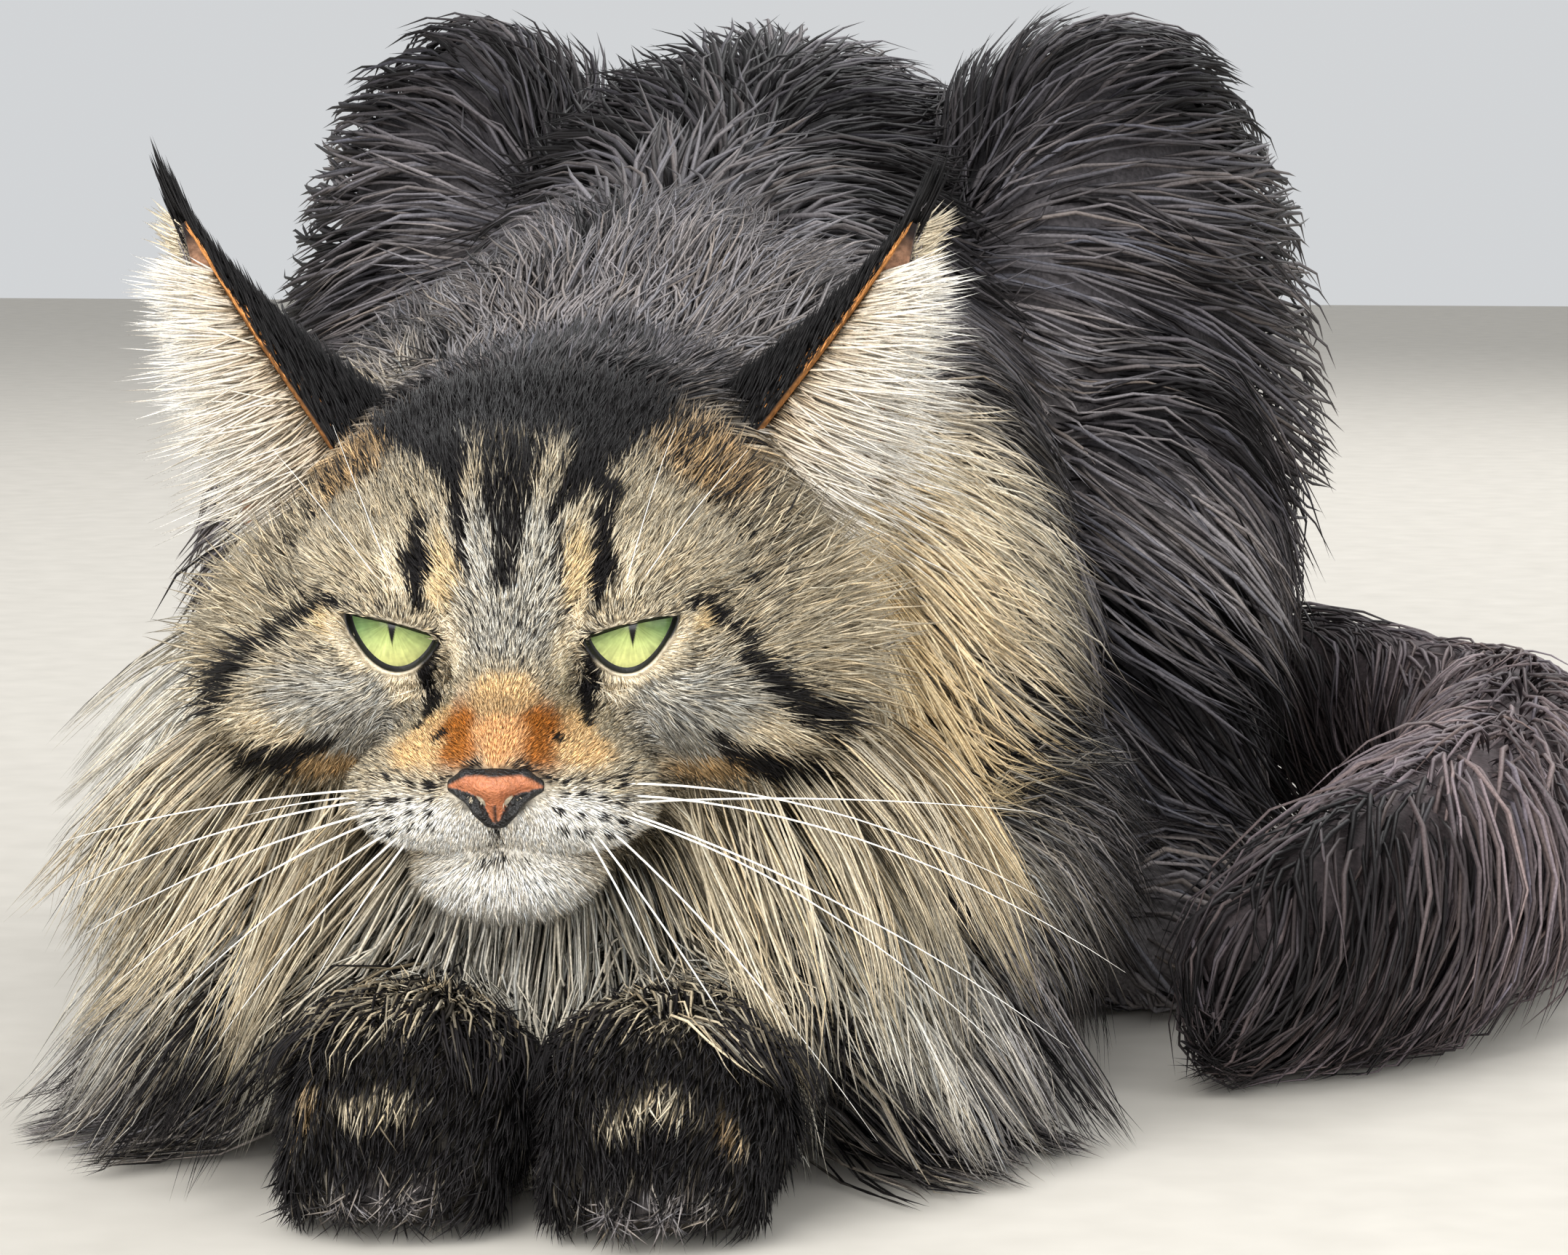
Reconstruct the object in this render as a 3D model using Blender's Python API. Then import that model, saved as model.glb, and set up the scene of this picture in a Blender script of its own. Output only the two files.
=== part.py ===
"""A Maine coon cat, life size, crouched on the floor with its forepaws side by side under its chin.

The body is one smooth solid, worked out from a table of rounded masses that melt into each other.
It is meshed once and parted into nodes with thin cuts. Long coat, ruff, ear tufts and tail plume are
flat tapered locks that grow from each node and lie along the coat.

Frame: the cat faces -Y with its left side at +X and +Z up. The floor is Z = 0, and the origin is the
middle of the flat under the belly. Tables are in hundredths of a metre for a cat of the driving sizes.
"""

import math

import bmesh
import bpy
import numpy as np
from mathutils import Matrix, Vector
from mathutils.kdtree import KDTree

# Driving dimensions, in metres
BODY_LENGTH = 0.53  # nose to rump as it crouches
EYE_SPACING = 0.042  # pupil to pupil
GAP = 0.0003  # between pieces that meet
TUBE_UP = (0.3, 0.2, 1.0)  # no tube runs this way
PINCH = 2e-6  # corners nearer than this are drawn apart
PINCH_OPENS = 3e-5

BODY_CM = BODY_LENGTH / 53.0
HEAD_CM = EYE_SPACING / 4.2

# The head's own frame: origin between the eyes, -Y out of the face, turned and tipped on the neck
HEAD_PLACE = Vector((0.0, -26.4, 10.2)) * BODY_CM
HEAD_YAW = math.radians(5.0)
HEAD_PITCH = math.radians(8.0)
HEAD_TURN = Matrix.Rotation(HEAD_YAW, 3, "Z") @ Matrix.Rotation(HEAD_PITCH, 3, "X")

# Rounded masses: name, centre, radii, turn about X Y Z in degrees, blend width.
# A name that ends in _pair is mirrored to the other side.
TRUNK_BALLS = [
    ("belly", (-0.2, 3.0, 6.6), (7.8, 12.5, 7.4), (0, 0, 0), 2.0),
    ("ribs", (0.0, -5.5, 8.8), (6.8, 10.5, 8.2), (6, 0, 0), 2.5),
    ("loins", (-0.3, 6.5, 11.6), (6.6, 11.0, 7.9), (0, 0, 0), 2.5),
    ("rump", (-0.4, 13.0, 10.6), (6.2, 6.8, 9.0), (0, 0, 0), 2.5),
    ("chest", (0.0, -15.0, 6.6), (5.4, 5.4, 6.4), (0, 0, 0), 2.5),
    ("nape", (0.0, -16.6, 10.2), (4.6, 6.0, 4.2), (0, 0, 6), 2.5),
    ("throat", (0.1, -20.4, 7.4), (3.9, 3.6, 3.4), (0, 0, 6), 2.0),
    ("shoulder_pair", (4.4, -9.5, 7.6), (2.9, 5.2, 7.2), (0, 8, 0), 2.6),
    ("haunch_pair", (7.0, 9.0, 11.0), (4.2, 8.0, 10.2), (-6, 4, -6), 1.8),
    ("knee_pair", (8.9, 1.8, 6.8), (2.6, 4.6, 6.4), (0, 8, 0), 2.2),
]

# Tapered limbs: name, start, end, start radius, end radius, blend width
TRUNK_LIMBS = [
    ("spine", (0.0, -11.0, 13.6), (-0.4, 11.0, 17.2), 2.2, 3.0, 3.0),
    ("neck", (0.0, -12.5, 10.6), (0.2, -21.0, 10.0), 4.8, 4.0, 2.5),
    ("forearm_pair", (6.3, -11.5, 3.4), (2.9, -22.5, 2.2), 2.5, 1.8, 1.4),
    ("hind_foot_pair", (9.0, 7.0, 1.7), (9.4, -4.0, 1.5), 1.9, 1.5, 1.2),
]

PAW_CENTRE = (2.32, -26.9, 1.85)  # of each forepaw, from the line between the paws
PAW_LINE_X = 0.6
PAW_RADII = (2.05, 2.6, 1.95)
TOE_RADII = (0.66, 1.35, 1.0)
TOE_AHEAD = 1.75  # of the middle of the paw, for the middle toes
TOE_BACK = 0.45  # by which the outer toes lie behind the middle ones
TOE_SPREAD = 1.2
TOE_BLEND = 0.22
TOE_COUNT = 4
HIND_TOES_AT = (9.4, -5.0, 1.25)

# Rounded masses of the head, in its own frame
HEAD_BALLS = [
    ("skull", (0.0, 4.7, 0.45), (4.1, 4.5, 3.1), (0, 0, 0), 0.0),
    ("forehead", (0.0, 1.9, 1.1), (2.5, 1.9, 1.8), (0, 0, 0), 1.0),
    ("brow_pair", (2.1, 1.45, 0.85), (1.5, 1.15, 0.7), (0, -10, 0), 0.9),
    ("cheekbone_pair", (2.9, 2.2, -1.0), (1.8, 2.1, 1.3), (0, 0, 0), 1.1),
    ("jowl_pair", (3.3, 4.4, -1.7), (2.2, 2.9, 2.2), (0, 0, 0), 1.4),
    ("muzzle", (0.0, -0.2, -2.25), (2.1, 2.6, 1.25), (0, 0, 0), 0.9),
    ("whisker_pad_pair", (1.2, -1.6, -2.4), (1.4, 1.25, 0.88), (0, 0, 0), 0.45),
    ("nose_tip", (0.0, -2.55, -1.95), (0.8, 0.6, 0.5), (0, 0, 0), 0.35),
    ("chin", (0.0, -1.2, -3.75), (1.5, 1.2, 0.78), (0, 0, 0), 0.18),
    ("jaw", (0.0, 1.8, -3.1), (2.2, 3.2, 1.3), (0, 0, 0), 0.9),
    ("lid_pair", (2.1, 1.08, 0.0), (1.27, 1.27, 1.2), (0, 0, 0), 0.3),
]
HEAD_LIMBS = [
    ("bridge", (0.0, 0.7, 0.1), (0.0, -2.1, -1.55), 0.95, 0.72, 0.5),
]

EYE_AT = (2.1, 1.03, 0.0)  # middle of the eyeball
EYE_RADIUS = 1.08

TAIL_ROUTE = [
    (-0.2, 18.2, 7.4),
    (5.0, 22.0, 5.0),
    (11.4, 22.2, 4.2),
    (16.4, 17.0, 3.9),
    (17.9, 9.0, 3.8),
    (17.6, 1.0, 3.8),
    (16.2, -6.0, 3.8),
    (14.3, -10.6, 3.5),
    (12.4, -13.8, 2.8),
]
TAIL_RADII = [2.0, 1.8, 1.8, 1.8, 1.8, 1.8, 1.7, 1.5, 1.0]

# How far the coat stands off the body: name, centre, reach, depth. Shares fall off as a bell.
COAT_BASE = 0.35
COAT_ZONES = [
    ("bib", (0.3, -20.5, 4.6), (6.0, 4.5, 4.6), 2.4),
    ("ruff_pair", (7.2, -17.8, 7.4), (4.5, 5.0, 6.0), 3.4),
    ("nape", (0.0, -14.0, 15.5), (6.0, 4.0, 3.0), 1.4),
    ("back", (0.0, 2.0, 17.0), (7.0, 14.0, 5.0), 2.0),
    ("flank_pair", (8.0, -4.0, 7.0), (4.0, 9.0, 7.0), 2.4),
    ("haunch_pair", (10.0, 10.0, 13.0), (5.0, 8.0, 9.0), 2.5),
    ("rump", (0.0, 20.0, 11.0), (7.0, 5.0, 8.0), 2.6),
    ("tail_root", (6.0, 22.0, 5.0), (6.0, 5.0, 5.0), 1.6),
    ("tail_side", (18.0, 8.0, 3.8), (4.5, 9.0, 6.0), 2.0),
    ("tail_end", (16.0, -5.0, 3.8), (5.0, 8.0, 6.0), 2.3),
]

CORE_SHARE = 0.45  # of the coat's depth, that the solid body takes in under the locks

# Which way the coat lies: name, centre, reach, direction. Elsewhere it lies back and down.
LIE_BASE = (0.0, 1.0, -0.45)
LIE_ZONES = [
    ("nape", (0.0, -15.5, 15.0), (5.0, 3.5, 3.0), (0.0, 0.9, 0.55)),
    ("ruff_pair", (6.5, -18.0, 9.0), (4.0, 5.0, 5.0), (1.0, 0.35, -0.4)),
    ("breast_pair", (5.0, -19.5, 4.0), (3.5, 3.5, 4.0), (0.5, -0.1, -1.0)),
    ("bib", (0.6, -21.5, 4.5), (3.0, 3.5, 4.0), (0.0, -0.6, -1.0)),
    ("haunch_pair", (8.5, 10.0, 19.0), (4.5, 7.0, 4.0), (0.8, 0.6, 0.35)),
    ("flank_pair", (9.0, -3.0, 7.0), (4.0, 8.0, 5.0), (0.2, 0.7, -0.8)),
    ("rump", (0.0, 19.0, 10.0), (7.0, 4.0, 7.0), (0.0, 0.5, -1.0)),
]

# Locks of the coat, in hundredths of a metre
LOCK_SEED = 31
LOCK_LENGTH = 7.6
LOCK_WIDTH = 3.6
LOCK_THICK = 0.9
LOCK_SINK = 0.55
LOCK_STEPS = np.array([0.0, 0.38, 0.76, 1.0])
LOCK_TAPER = np.array([0.75, 1.0, 0.6, 0.0])
LOCK_SPACING = [  # name, centre, reach, spacing where the coat is longest
    ("ruff", (0.5, -19.0, 6.0), (9.0, 6.0, 7.0), 3.2),
    ("tail", (17.0, 2.0, 4.0), (5.0, 16.0, 5.0), 3.9),
]
LOCK_SPACING_BASE = 4.85

# The ears, in the head's frame, each a plate rolled to a cup
EAR_BASE = (4.5, 7.0, 1.1)
EAR_TIP = (6.95, 7.9, 6.1)
EAR_OPENS = (0.83, -0.55, 0.1)
EAR_RADIUS = 2.2
EAR_WALL = 0.3
EAR_TIP_WALL = 0.13
EAR_TIP_RADIUS = 0.12
EAR_ROLL = 100  # degrees, from the back of the cup to its edge, at the foot
EAR_TIP_ROLL = 75
EAR_BOW = 0.25
EAR_COLUMNS, EAR_ROWS = 9, 8
TUFT_LENGTH = 2.6
TUFT_LEANS = [(0.0, 1.0), (0.25, 0.8)]  # of the two prongs: lean to the back and share of the length
EAR_LOCK_ROOTS = [0.41, 0.56, 0.71]  # up the cup, of the long hair inside it
EAR_LOCK_REACH = 3.4
EAR_LOCK_RISE = 0.5
EAR_LOCK_SIZE = (1.1, 0.35)
TUFT_SIZE = (0.42, 0.22)

# The opening between the lids, as (x, z) in the head's frame
FISSURE_INNER = (1.28, -0.06)
FISSURE_OUTER = (2.94, 0.34)
FISSURE_RISE = 0.08
FISSURE_DROP = 0.72
FISSURE_FROM_TO = (-3.0, 0.75)  # along Y, from before the face to the eyeball
FISSURE_STEPS = 9

# The line of the mouth and of the upper lip, as (x, z), and the nostrils
MOUTH_HALF = [(0.0, -3.12), (0.7, -3.3), (1.4, -3.32), (2.1, -3.1), (2.55, -2.75)]
MOUTH_LINE = [(-x, z) for x, z in MOUTH_HALF[:0:-1]] + MOUTH_HALF
LIP_LINE = [(0.0, -2.42), (0.0, -3.12)]
GROOVE_WIDTH = 0.09
GROOVE_FRONT = -0.5  # the blade starts this far before the skin
GROOVE_DEPTH = 0.22
GROOVE_STEPS = 4  # between two points of the line
NOSTRIL_ROUTE = [(0.28, -2.98, -2.02), (0.4, -3.35, -2.1), (0.62, -3.3, -2.06), (0.92, -3.05, -1.96)]
NOSTRIL_RADII = [0.1, 0.15, 0.09, 0.05]

# Where each node is parted off: outlines in X and Y, in hundredths of a metre
BODY_TOP = 30.0
BLOCK_BOTTOM = -5.0
FAR = 60.0  # beyond every part of the body
SLEEVE_SIDES = 14
TAIL_TIP_OUTLINE = [(13.4, 3.0), (13.4, -3.5), (11.0, -8.5), (9.9, -20.0), (28.0, -20.0), (28.0, 3.0)]
TAIL_MID_OUTLINE = [(13.4, 3.0), (28.0, 3.0), (28.0, 30.0), (13.4, 30.0)]
TAIL_BASE_OUTLINE = [(-4.0, 19.3), (13.4, 19.3), (13.4, 30.0), (-4.0, 30.0)]
TAIL_BASE_TOP = 9.4
FORELEG_ROUTE = [
    (7.0, -9.6, 3.4),
    (6.2, -12.0, 3.2),
    (4.6, -17.5, 2.6),
    (3.4, -22.0, 2.1),
    (2.9, -25.0, 1.9),
    (2.9, -31.5, 1.9),
]
FORELEG_RADII = [1.2, 2.6, 2.6, 2.5, 3.2, 3.2]
HAUNCH_EGG = ((10.2, 5.5, 8.0), (6.3, 13.2, 15.2))
HAUNCH_MIDDLE_X = -0.3
NECK_OUTLINE = [(-30.0, -40.0), (30.0, -40.0), (30.0, -12.4), (-30.0, -12.4)]
HEAD_BLOCK_HALF = 9.5
HEAD_SIDE_OUTLINE = [(-8.0, 9.0), (9.2, 9.0), (8.3, 3.0), (4.6, -3.6), (1.0, -4.75), (-8.0, -4.95)]

# Boxes that the meshes are made in, their cells in metres, and triangles before locks and cuts
BODY_BOX = ((-15, -34, -1.5), (24, 29, 27))
HEAD_BOX = ((-9, -33, 2.5), (9, -14, 20))
NOSE_BOX = ((-1.3, -3.8, -3.0), (1.3, -1.9, -1.2))
NOSE_CELL = 0.08
BODY_CELL = 0.0048
HEAD_CELL = 0.0020
BODY_TRIANGLES = 1900
HEAD_TRIANGLES = 2750
NOSE_TRIANGLES = 260

COLOURS = {
    "brown_coat": ((0.10, 0.075, 0.06), 0.85),
    "ruff_coat": ((0.42, 0.32, 0.22), 0.85),
    "face_coat": ((0.30, 0.24, 0.18), 0.8),
    "ear_coat": ((0.20, 0.15, 0.12), 0.8),
    "eye_clear": ((0.42, 0.46, 0.12), 0.1),
    "nose_leather": ((0.56, 0.25, 0.17), 0.55),
}


def flip(point):
    """The point's mirror image on the cat's other side."""
    return (-point[0], point[1], point[2])


def mirrored(table):
    """The table with each _pair row made into a left and a right row."""
    rows = []
    for name, first, *rest in table:
        if not name.endswith("_pair"):
            rows.append((name, first, *rest))
            continue
        side = name[: -len("_pair")]
        if len(rest) == 3:  # a ball: centre, radii, turn, blend
            radii, turn, blend = rest
            back = (turn[0], -turn[1], -turn[2])
            rows.append((side + "_left", first, radii, turn, blend))
            rows.append((side + "_right", flip(first), radii, back, blend))
        else:  # a limb: start, end, radii, blend
            rows.append((side + "_left", first, *rest))
            rows.append((side + "_right", flip(first), flip(rest[0]), *rest[1:]))
    return rows


def ball_distance(points, centre, radii, turn):
    """Near the surface, the distance from an ellipsoid: k0 (k0 - 1) / k1, where k0 is the length of
    the point over the radii and k1 is its length over their squares."""
    local = points - np.array(centre)
    if any(turn):
        x, y, z = (math.radians(a) for a in turn)
        spin = Matrix.Rotation(z, 3, "Z") @ Matrix.Rotation(y, 3, "Y") @ Matrix.Rotation(x, 3, "X")
        local = local @ np.array(spin)
    over = local / np.array(radii)
    k0 = np.sqrt((over * over).sum(axis=1)) + 1e-9
    k1 = np.sqrt(((over / np.array(radii)) ** 2).sum(axis=1)) + 1e-9
    return k0 * (k0 - 1.0) / k1


def limb_distance(points, start, end, first, last):
    """The distance from a tapered capsule: from its axis, less the radius at the nearest point."""
    start, end = np.array(start), np.array(end)
    axis = end - start
    along = np.clip((points - start) @ axis / (axis @ axis), 0.0, 1.0)
    away = np.linalg.norm(points - start - along[:, None] * axis, axis=1)
    return away - (first + (last - first) * along)


def melt(a, b, width):
    """The smaller of two distances, rounded over where they differ by less than width."""
    if width <= 0.0:
        return np.minimum(a, b)
    share = np.clip(0.5 + 0.5 * (b - a) / width, 0.0, 1.0)
    return b + (a - b) * share - width * share * (1.0 - share)


def masses_distance(points, balls, limbs):
    """All rounded masses of a table melted together, in hundredths of a metre."""
    total = None
    for _, centre, radii, turn, blend in mirrored(balls):
        near = ball_distance(points, centre, radii, turn)
        total = near if total is None else melt(total, near, blend)
    for _, start, end, first, last, blend in mirrored(limbs):
        near = limb_distance(points, start, end, first, last)
        total = near if total is None else melt(total, near, blend)
    return total


def smooth_route(route, radii, count):
    """A Catmull-Rom curve through the route's points, with its radius, at count even steps."""
    points = np.array(route, float)
    knots = np.vstack([2 * points[0] - points[1], points, 2 * points[-1] - points[-2]])
    size = np.array([radii[0], *radii, radii[-1]], float)
    rows = np.column_stack([knots, size])
    spans = len(points) - 1
    at = np.linspace(0.0, spans, count)
    i = np.minimum(at.astype(int), spans - 1)
    t = (at - i)[:, None]
    a, b, c, d = rows[i], rows[i + 1], rows[i + 2], rows[i + 3]
    curve = 0.5 * (2 * b + (c - a) * t + (2 * a - 5 * b + 4 * c - d) * t**2 + (3 * b - a - 3 * c + d) * t**3)
    return curve[:, :3], curve[:, 3]


def tail_distance(points):
    route, radii = smooth_route(TAIL_ROUTE, TAIL_RADII, 28)
    total = None
    for start, end, first, last in zip(route[:-1], route[1:], radii[:-1], radii[1:]):
        near = limb_distance(points, start, end, first, last)
        total = near if total is None else np.minimum(total, near)
    return total


def paws_distance(points):
    """The forepaws with four toes each, and the toes of the hind feet."""
    total = None
    for side in (1, -1):
        x = PAW_LINE_X + side * PAW_CENTRE[0]
        paw = ball_distance(points, (x, *PAW_CENTRE[1:]), PAW_RADII, (0, 0, 0))
        for toe in range(TOE_COUNT):
            off = 2.0 * toe / (TOE_COUNT - 1) - 1.0
            back = TOE_BACK * off * off
            centre = (x + off * TOE_SPREAD, PAW_CENTRE[1] - TOE_AHEAD + back, TOE_RADII[2] + 0.1)
            paw = melt(paw, ball_distance(points, centre, TOE_RADII, (0, 0, 0)), TOE_BLEND)
            hind = (side * (HIND_TOES_AT[0] + off * TOE_SPREAD), HIND_TOES_AT[1] + back, HIND_TOES_AT[2])
            paw = melt(paw, ball_distance(points, hind, TOE_RADII, (0, 0, 0)), TOE_BLEND)
        total = paw if total is None else np.minimum(total, paw)
    return total


def to_head(points):
    """World metres to the head's own frame, in hundredths of a metre."""
    return (points - np.array(HEAD_PLACE)) @ np.array(HEAD_TURN) / HEAD_CM


def from_head(points):
    return np.asarray(points, float) * HEAD_CM @ np.array(HEAD_TURN).T + np.array(HEAD_PLACE)


def head_distance(local):
    return masses_distance(local, HEAD_BALLS, HEAD_LIMBS)


def body_distance(points):
    """The whole cat but its ears and eyes: negative inside, in metres."""
    cm = points / BODY_CM
    trunk = masses_distance(cm, TRUNK_BALLS, TRUNK_LIMBS)
    trunk = melt(trunk, paws_distance(cm), 0.8)
    trunk = melt(trunk, tail_distance(cm), 1.2) * BODY_CM
    head = head_distance(to_head(points)) * HEAD_CM
    return melt(trunk, head, 0.012)


def coat_depth(points):
    """How far the coat's tips stand off the body at each point, in metres."""
    cm = points / BODY_CM
    total = np.zeros(len(cm))
    for name, centre, reach, depth in COAT_ZONES:
        sides = (1, -1) if name.endswith("_pair") else (1,)
        for side in sides:
            off = (cm - np.array(centre) * (side, 1, 1)) / np.array(reach)
            share = depth * np.exp(-0.7 * (off * off).sum(axis=1))
            total = np.maximum(total, share)
    return (COAT_BASE + total) * BODY_CM


def gradient(field, points, step=0.0005):
    sides = [np.eye(3)[k] * step for k in range(3)]
    slope = np.column_stack([field(points + s) - field(points - s) for s in sides]) / (2 * step)
    return slope / (np.linalg.norm(slope, axis=1, keepdims=True) + 1e-9)


def near_values(field, axes, cell, skip=4):
    """The field on a grid. Only points near its zero surface are worked out in full, the rest take
    the value of the nearest point of a grid that is skip times coarser."""
    shape = tuple(len(a) for a in axes)
    rough_axes = [a[0] + cell * skip * np.arange(math.ceil((n - 1) / skip) + 1) for a, n in zip(axes, shape)]
    rough = np.stack(np.meshgrid(*rough_axes, indexing="ij"), axis=-1)
    rough_value = field(rough.reshape(-1, 3)).reshape(rough.shape[:3])
    pick = [np.rint(np.arange(n) / skip).astype(int) for n in shape]
    value = rough_value[np.ix_(*pick)]
    close = np.argwhere(np.abs(value) < cell * skip * 1.8)
    points = np.column_stack([axes[k][close[:, k]] for k in range(3)])
    parts = np.array_split(points, max(1, len(points) // 200000))
    value[tuple(close.T)] = np.concatenate([field(part) for part in parts])
    return value


def cell_corners(value, offset):
    """The grid's value at one corner of every cell."""
    return value[tuple(slice(o, o + n - 1) for o, n in zip(offset, value.shape))]


def surface_of(field, low, high, cell):
    """A closed quad mesh of a field's zero surface: one vertex in each cell that the surface
    crosses, at the mean of its edge crossings, and one quad round each crossed grid edge."""
    axes = [np.arange(a, b + cell, cell) for a, b in zip(low, high)]
    shape = tuple(len(a) for a in axes)
    value = near_values(field, axes, cell)
    inside = value < 0.0
    total = np.zeros([n - 1 for n in shape] + [3])
    count = np.zeros([n - 1 for n in shape])
    for axis in range(3):
        others = [k for k in range(3) if k != axis]
        for u in (0, 1):
            for v in (0, 1):
                first = [0, 0, 0]
                first[others[0]], first[others[1]] = u, v
                second = list(first)
                second[axis] = 1
                a, b = cell_corners(value, first), cell_corners(value, second)
                cross = (a < 0.0) != (b < 0.0)
                share = np.where(cross, a / np.where(cross, a - b, 1.0), 0.0)
                for k in range(3):
                    total[..., k] += np.where(cross, share if k == axis else first[k], 0.0)
                count += cross
    cells = count > 0
    number = np.full(cells.shape, -1)
    number[cells] = np.arange(cells.sum())
    place = np.argwhere(cells) + total[cells] / count[cells][:, None]
    points = np.array([a[0] for a in axes]) + place * cell
    quads = []
    for axis in range(3):
        u, v = (axis + 1) % 3, (axis + 2) % 3
        low_side = [slice(1, n - 1) for n in shape]
        low_side[axis] = slice(0, shape[axis] - 1)
        high_side = list(low_side)
        high_side[axis] = slice(1, shape[axis])
        here, there = inside[tuple(low_side)], inside[tuple(high_side)]
        for turned in (False, True):
            at = np.argwhere(~here & there if turned else here & ~there)
            at[:, u] += 1
            at[:, v] += 1
            ring = []
            for du, dv in ((1, 1), (0, 1), (0, 0), (1, 0)):
                cell_at = at.copy()
                cell_at[:, u] -= du
                cell_at[:, v] -= dv
                ring.append(number[tuple(cell_at.T)])
            quad = np.column_stack(ring)
            quads.append(quad[:, ::-1] if turned else quad)
    quads = np.vstack(quads)
    for _ in range(2):
        slope = gradient(field, points, cell * 0.2)
        points = points - np.clip(field(points), -cell, cell)[:, None] * slope * 0.9
    return points, quads


def mesh_object(name, points, faces):
    mesh = bpy.data.meshes.new(name)
    mesh.from_pydata(np.asarray(points).tolist(), [], [list(map(int, face)) for face in faces])
    mesh.update()
    made = bpy.data.objects.new(name, mesh)
    bpy.context.scene.collection.objects.link(made)
    return made


def take_mesh(target):
    """Makes the object's mesh what its modifiers make of it, and takes them off."""
    graph = bpy.context.evaluated_depsgraph_get()
    made = bpy.data.meshes.new_from_object(target.evaluated_get(graph))
    target.modifiers.clear()
    old, target.data = target.data, made
    bpy.data.meshes.remove(old)


def boolean(target, operation, tools):
    """One Boolean of the target with all the tools at once, applied. The tools are removed."""
    group = bpy.data.collections.new("tools")
    bpy.context.scene.collection.children.link(group)
    for tool in tools:
        bpy.context.scene.collection.objects.unlink(tool)
        group.objects.link(tool)
    step = target.modifiers.new(operation.lower(), "BOOLEAN")
    step.operation = operation
    step.operand_type = "COLLECTION"
    step.collection = group
    step.solver = "MANIFOLD"
    take_mesh(target)
    for tool in tools:
        bpy.data.objects.remove(tool)
    bpy.data.collections.remove(group)


def thin_out(target, triangles):
    """Collapses edges where the surface is plainest until about this many triangles are left."""
    now = sum(len(face.vertices) - 2 for face in target.data.polygons)
    step = target.modifiers.new("thin out", "DECIMATE")
    step.ratio = min(1.0, triangles / now)
    take_mesh(target)


def closed_pieces(body):
    """The faces of each closed surface in a bmesh, found by stepping over edges, with its volume."""
    left = set(body.faces)
    pieces = []
    while left:
        found = [left.pop()]
        piece = list(found)
        while found:
            for edge in found.pop().edges:
                for face in edge.link_faces:
                    if face in left:
                        left.remove(face)
                        piece.append(face)
                        found.append(face)
        volume = sum(
            face.verts[0].co.dot(face.verts[i].co.cross(face.verts[i + 1].co))
            for face in piece
            for i in range(1, len(face.verts) - 1)
        )
        pieces.append((volume, piece))
    return pieces


def open_pinches(body):
    """Where two corners that no edge joins fall on one point, each is drawn a hair toward its own
    neighbours, so that the surface doesn't touch itself."""
    body.verts.ensure_lookup_table()
    tree = KDTree(len(body.verts))
    for corner in body.verts:
        tree.insert(corner.co, corner.index)
    tree.balance()
    moves = []
    for corner in body.verts:
        joined = {edge.other_vert(corner) for edge in corner.link_edges}
        near = [body.verts[i] for _, i, _ in tree.find_range(corner.co, PINCH)]
        if all(other is corner or other in joined for other in near):
            continue
        mean = sum((other.co for other in joined), Vector()) / len(joined)
        moves.append((corner, corner.co + (mean - corner.co).normalized() * PINCH_OPENS))
    for corner, place in moves:
        corner.co = place


def keep_largest(target):
    """Leaves only the closed surface of the largest volume, in triangles."""
    body = bmesh.new()
    body.from_mesh(target.data)
    pieces = sorted(closed_pieces(body), key=lambda pair: pair[0])
    dropped = [face for _, piece in pieces[:-1] for face in piece]
    bmesh.ops.delete(body, geom=dropped, context="FACES")
    bmesh.ops.triangulate(body, faces=body.faces)
    body.verts.index_update()
    open_pinches(body)
    body.to_mesh(target.data)
    body.free()


def copy_of(source, name):
    made = source.copy()
    made.data = source.data.copy()
    made.name = name
    bpy.context.scene.collection.objects.link(made)
    return made


def edge_normals(edges):
    """Outward normals of the edges of an outline that runs anticlockwise."""
    return np.column_stack([edges[:, 1], -edges[:, 0]]) / np.linalg.norm(edges, axis=1, keepdims=True)


def prism(outline, bottom, top, grow):
    """An upright block of an outline in X and Y, in hundredths of a metre, swollen by grow metres."""
    flat = np.array(outline, float) * BODY_CM
    mean = edge_normals(np.roll(flat, -1, axis=0) - flat) + edge_normals(flat - np.roll(flat, 1, axis=0))
    flat = flat + 2.0 * grow * mean / (mean * mean).sum(axis=1, keepdims=True)
    count = len(flat)
    low = np.column_stack([flat, np.full(count, bottom * BODY_CM - grow)])
    high = np.column_stack([flat, np.full(count, top * BODY_CM + grow)])
    sides = [[i, (i + 1) % count, count + (i + 1) % count, count + i] for i in range(count)]
    return np.vstack([low, high]), [list(range(count))[::-1], list(range(count, 2 * count)), *sides]


def egg(centre, radii, grow, around=22, up=11):
    """A closed ellipsoid, in hundredths of a metre, swollen by grow metres."""
    size = np.array(radii) * BODY_CM + grow
    turn, tip = np.meshgrid(np.arange(around) * 2 * math.pi / around, np.arange(1, up) * math.pi / up)
    ring = np.stack([np.sin(tip) * np.cos(turn), np.sin(tip) * np.sin(turn), np.cos(tip)], axis=-1)
    points = np.vstack([ring.reshape(-1, 3), [[0, 0, 1], [0, 0, -1]]]) * size + np.array(centre) * BODY_CM
    faces = []
    for j in range(up - 2):
        for i in range(around):
            k = (i + 1) % around
            faces.append([j * around + i, (j + 1) * around + i, (j + 1) * around + k, j * around + k])
    top, bottom, last = (up - 1) * around, (up - 1) * around + 1, (up - 2) * around
    faces += [[top, i, (i + 1) % around] for i in range(around)]
    faces += [[bottom, last + (i + 1) % around, last + i] for i in range(around)]
    return points, faces


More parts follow.
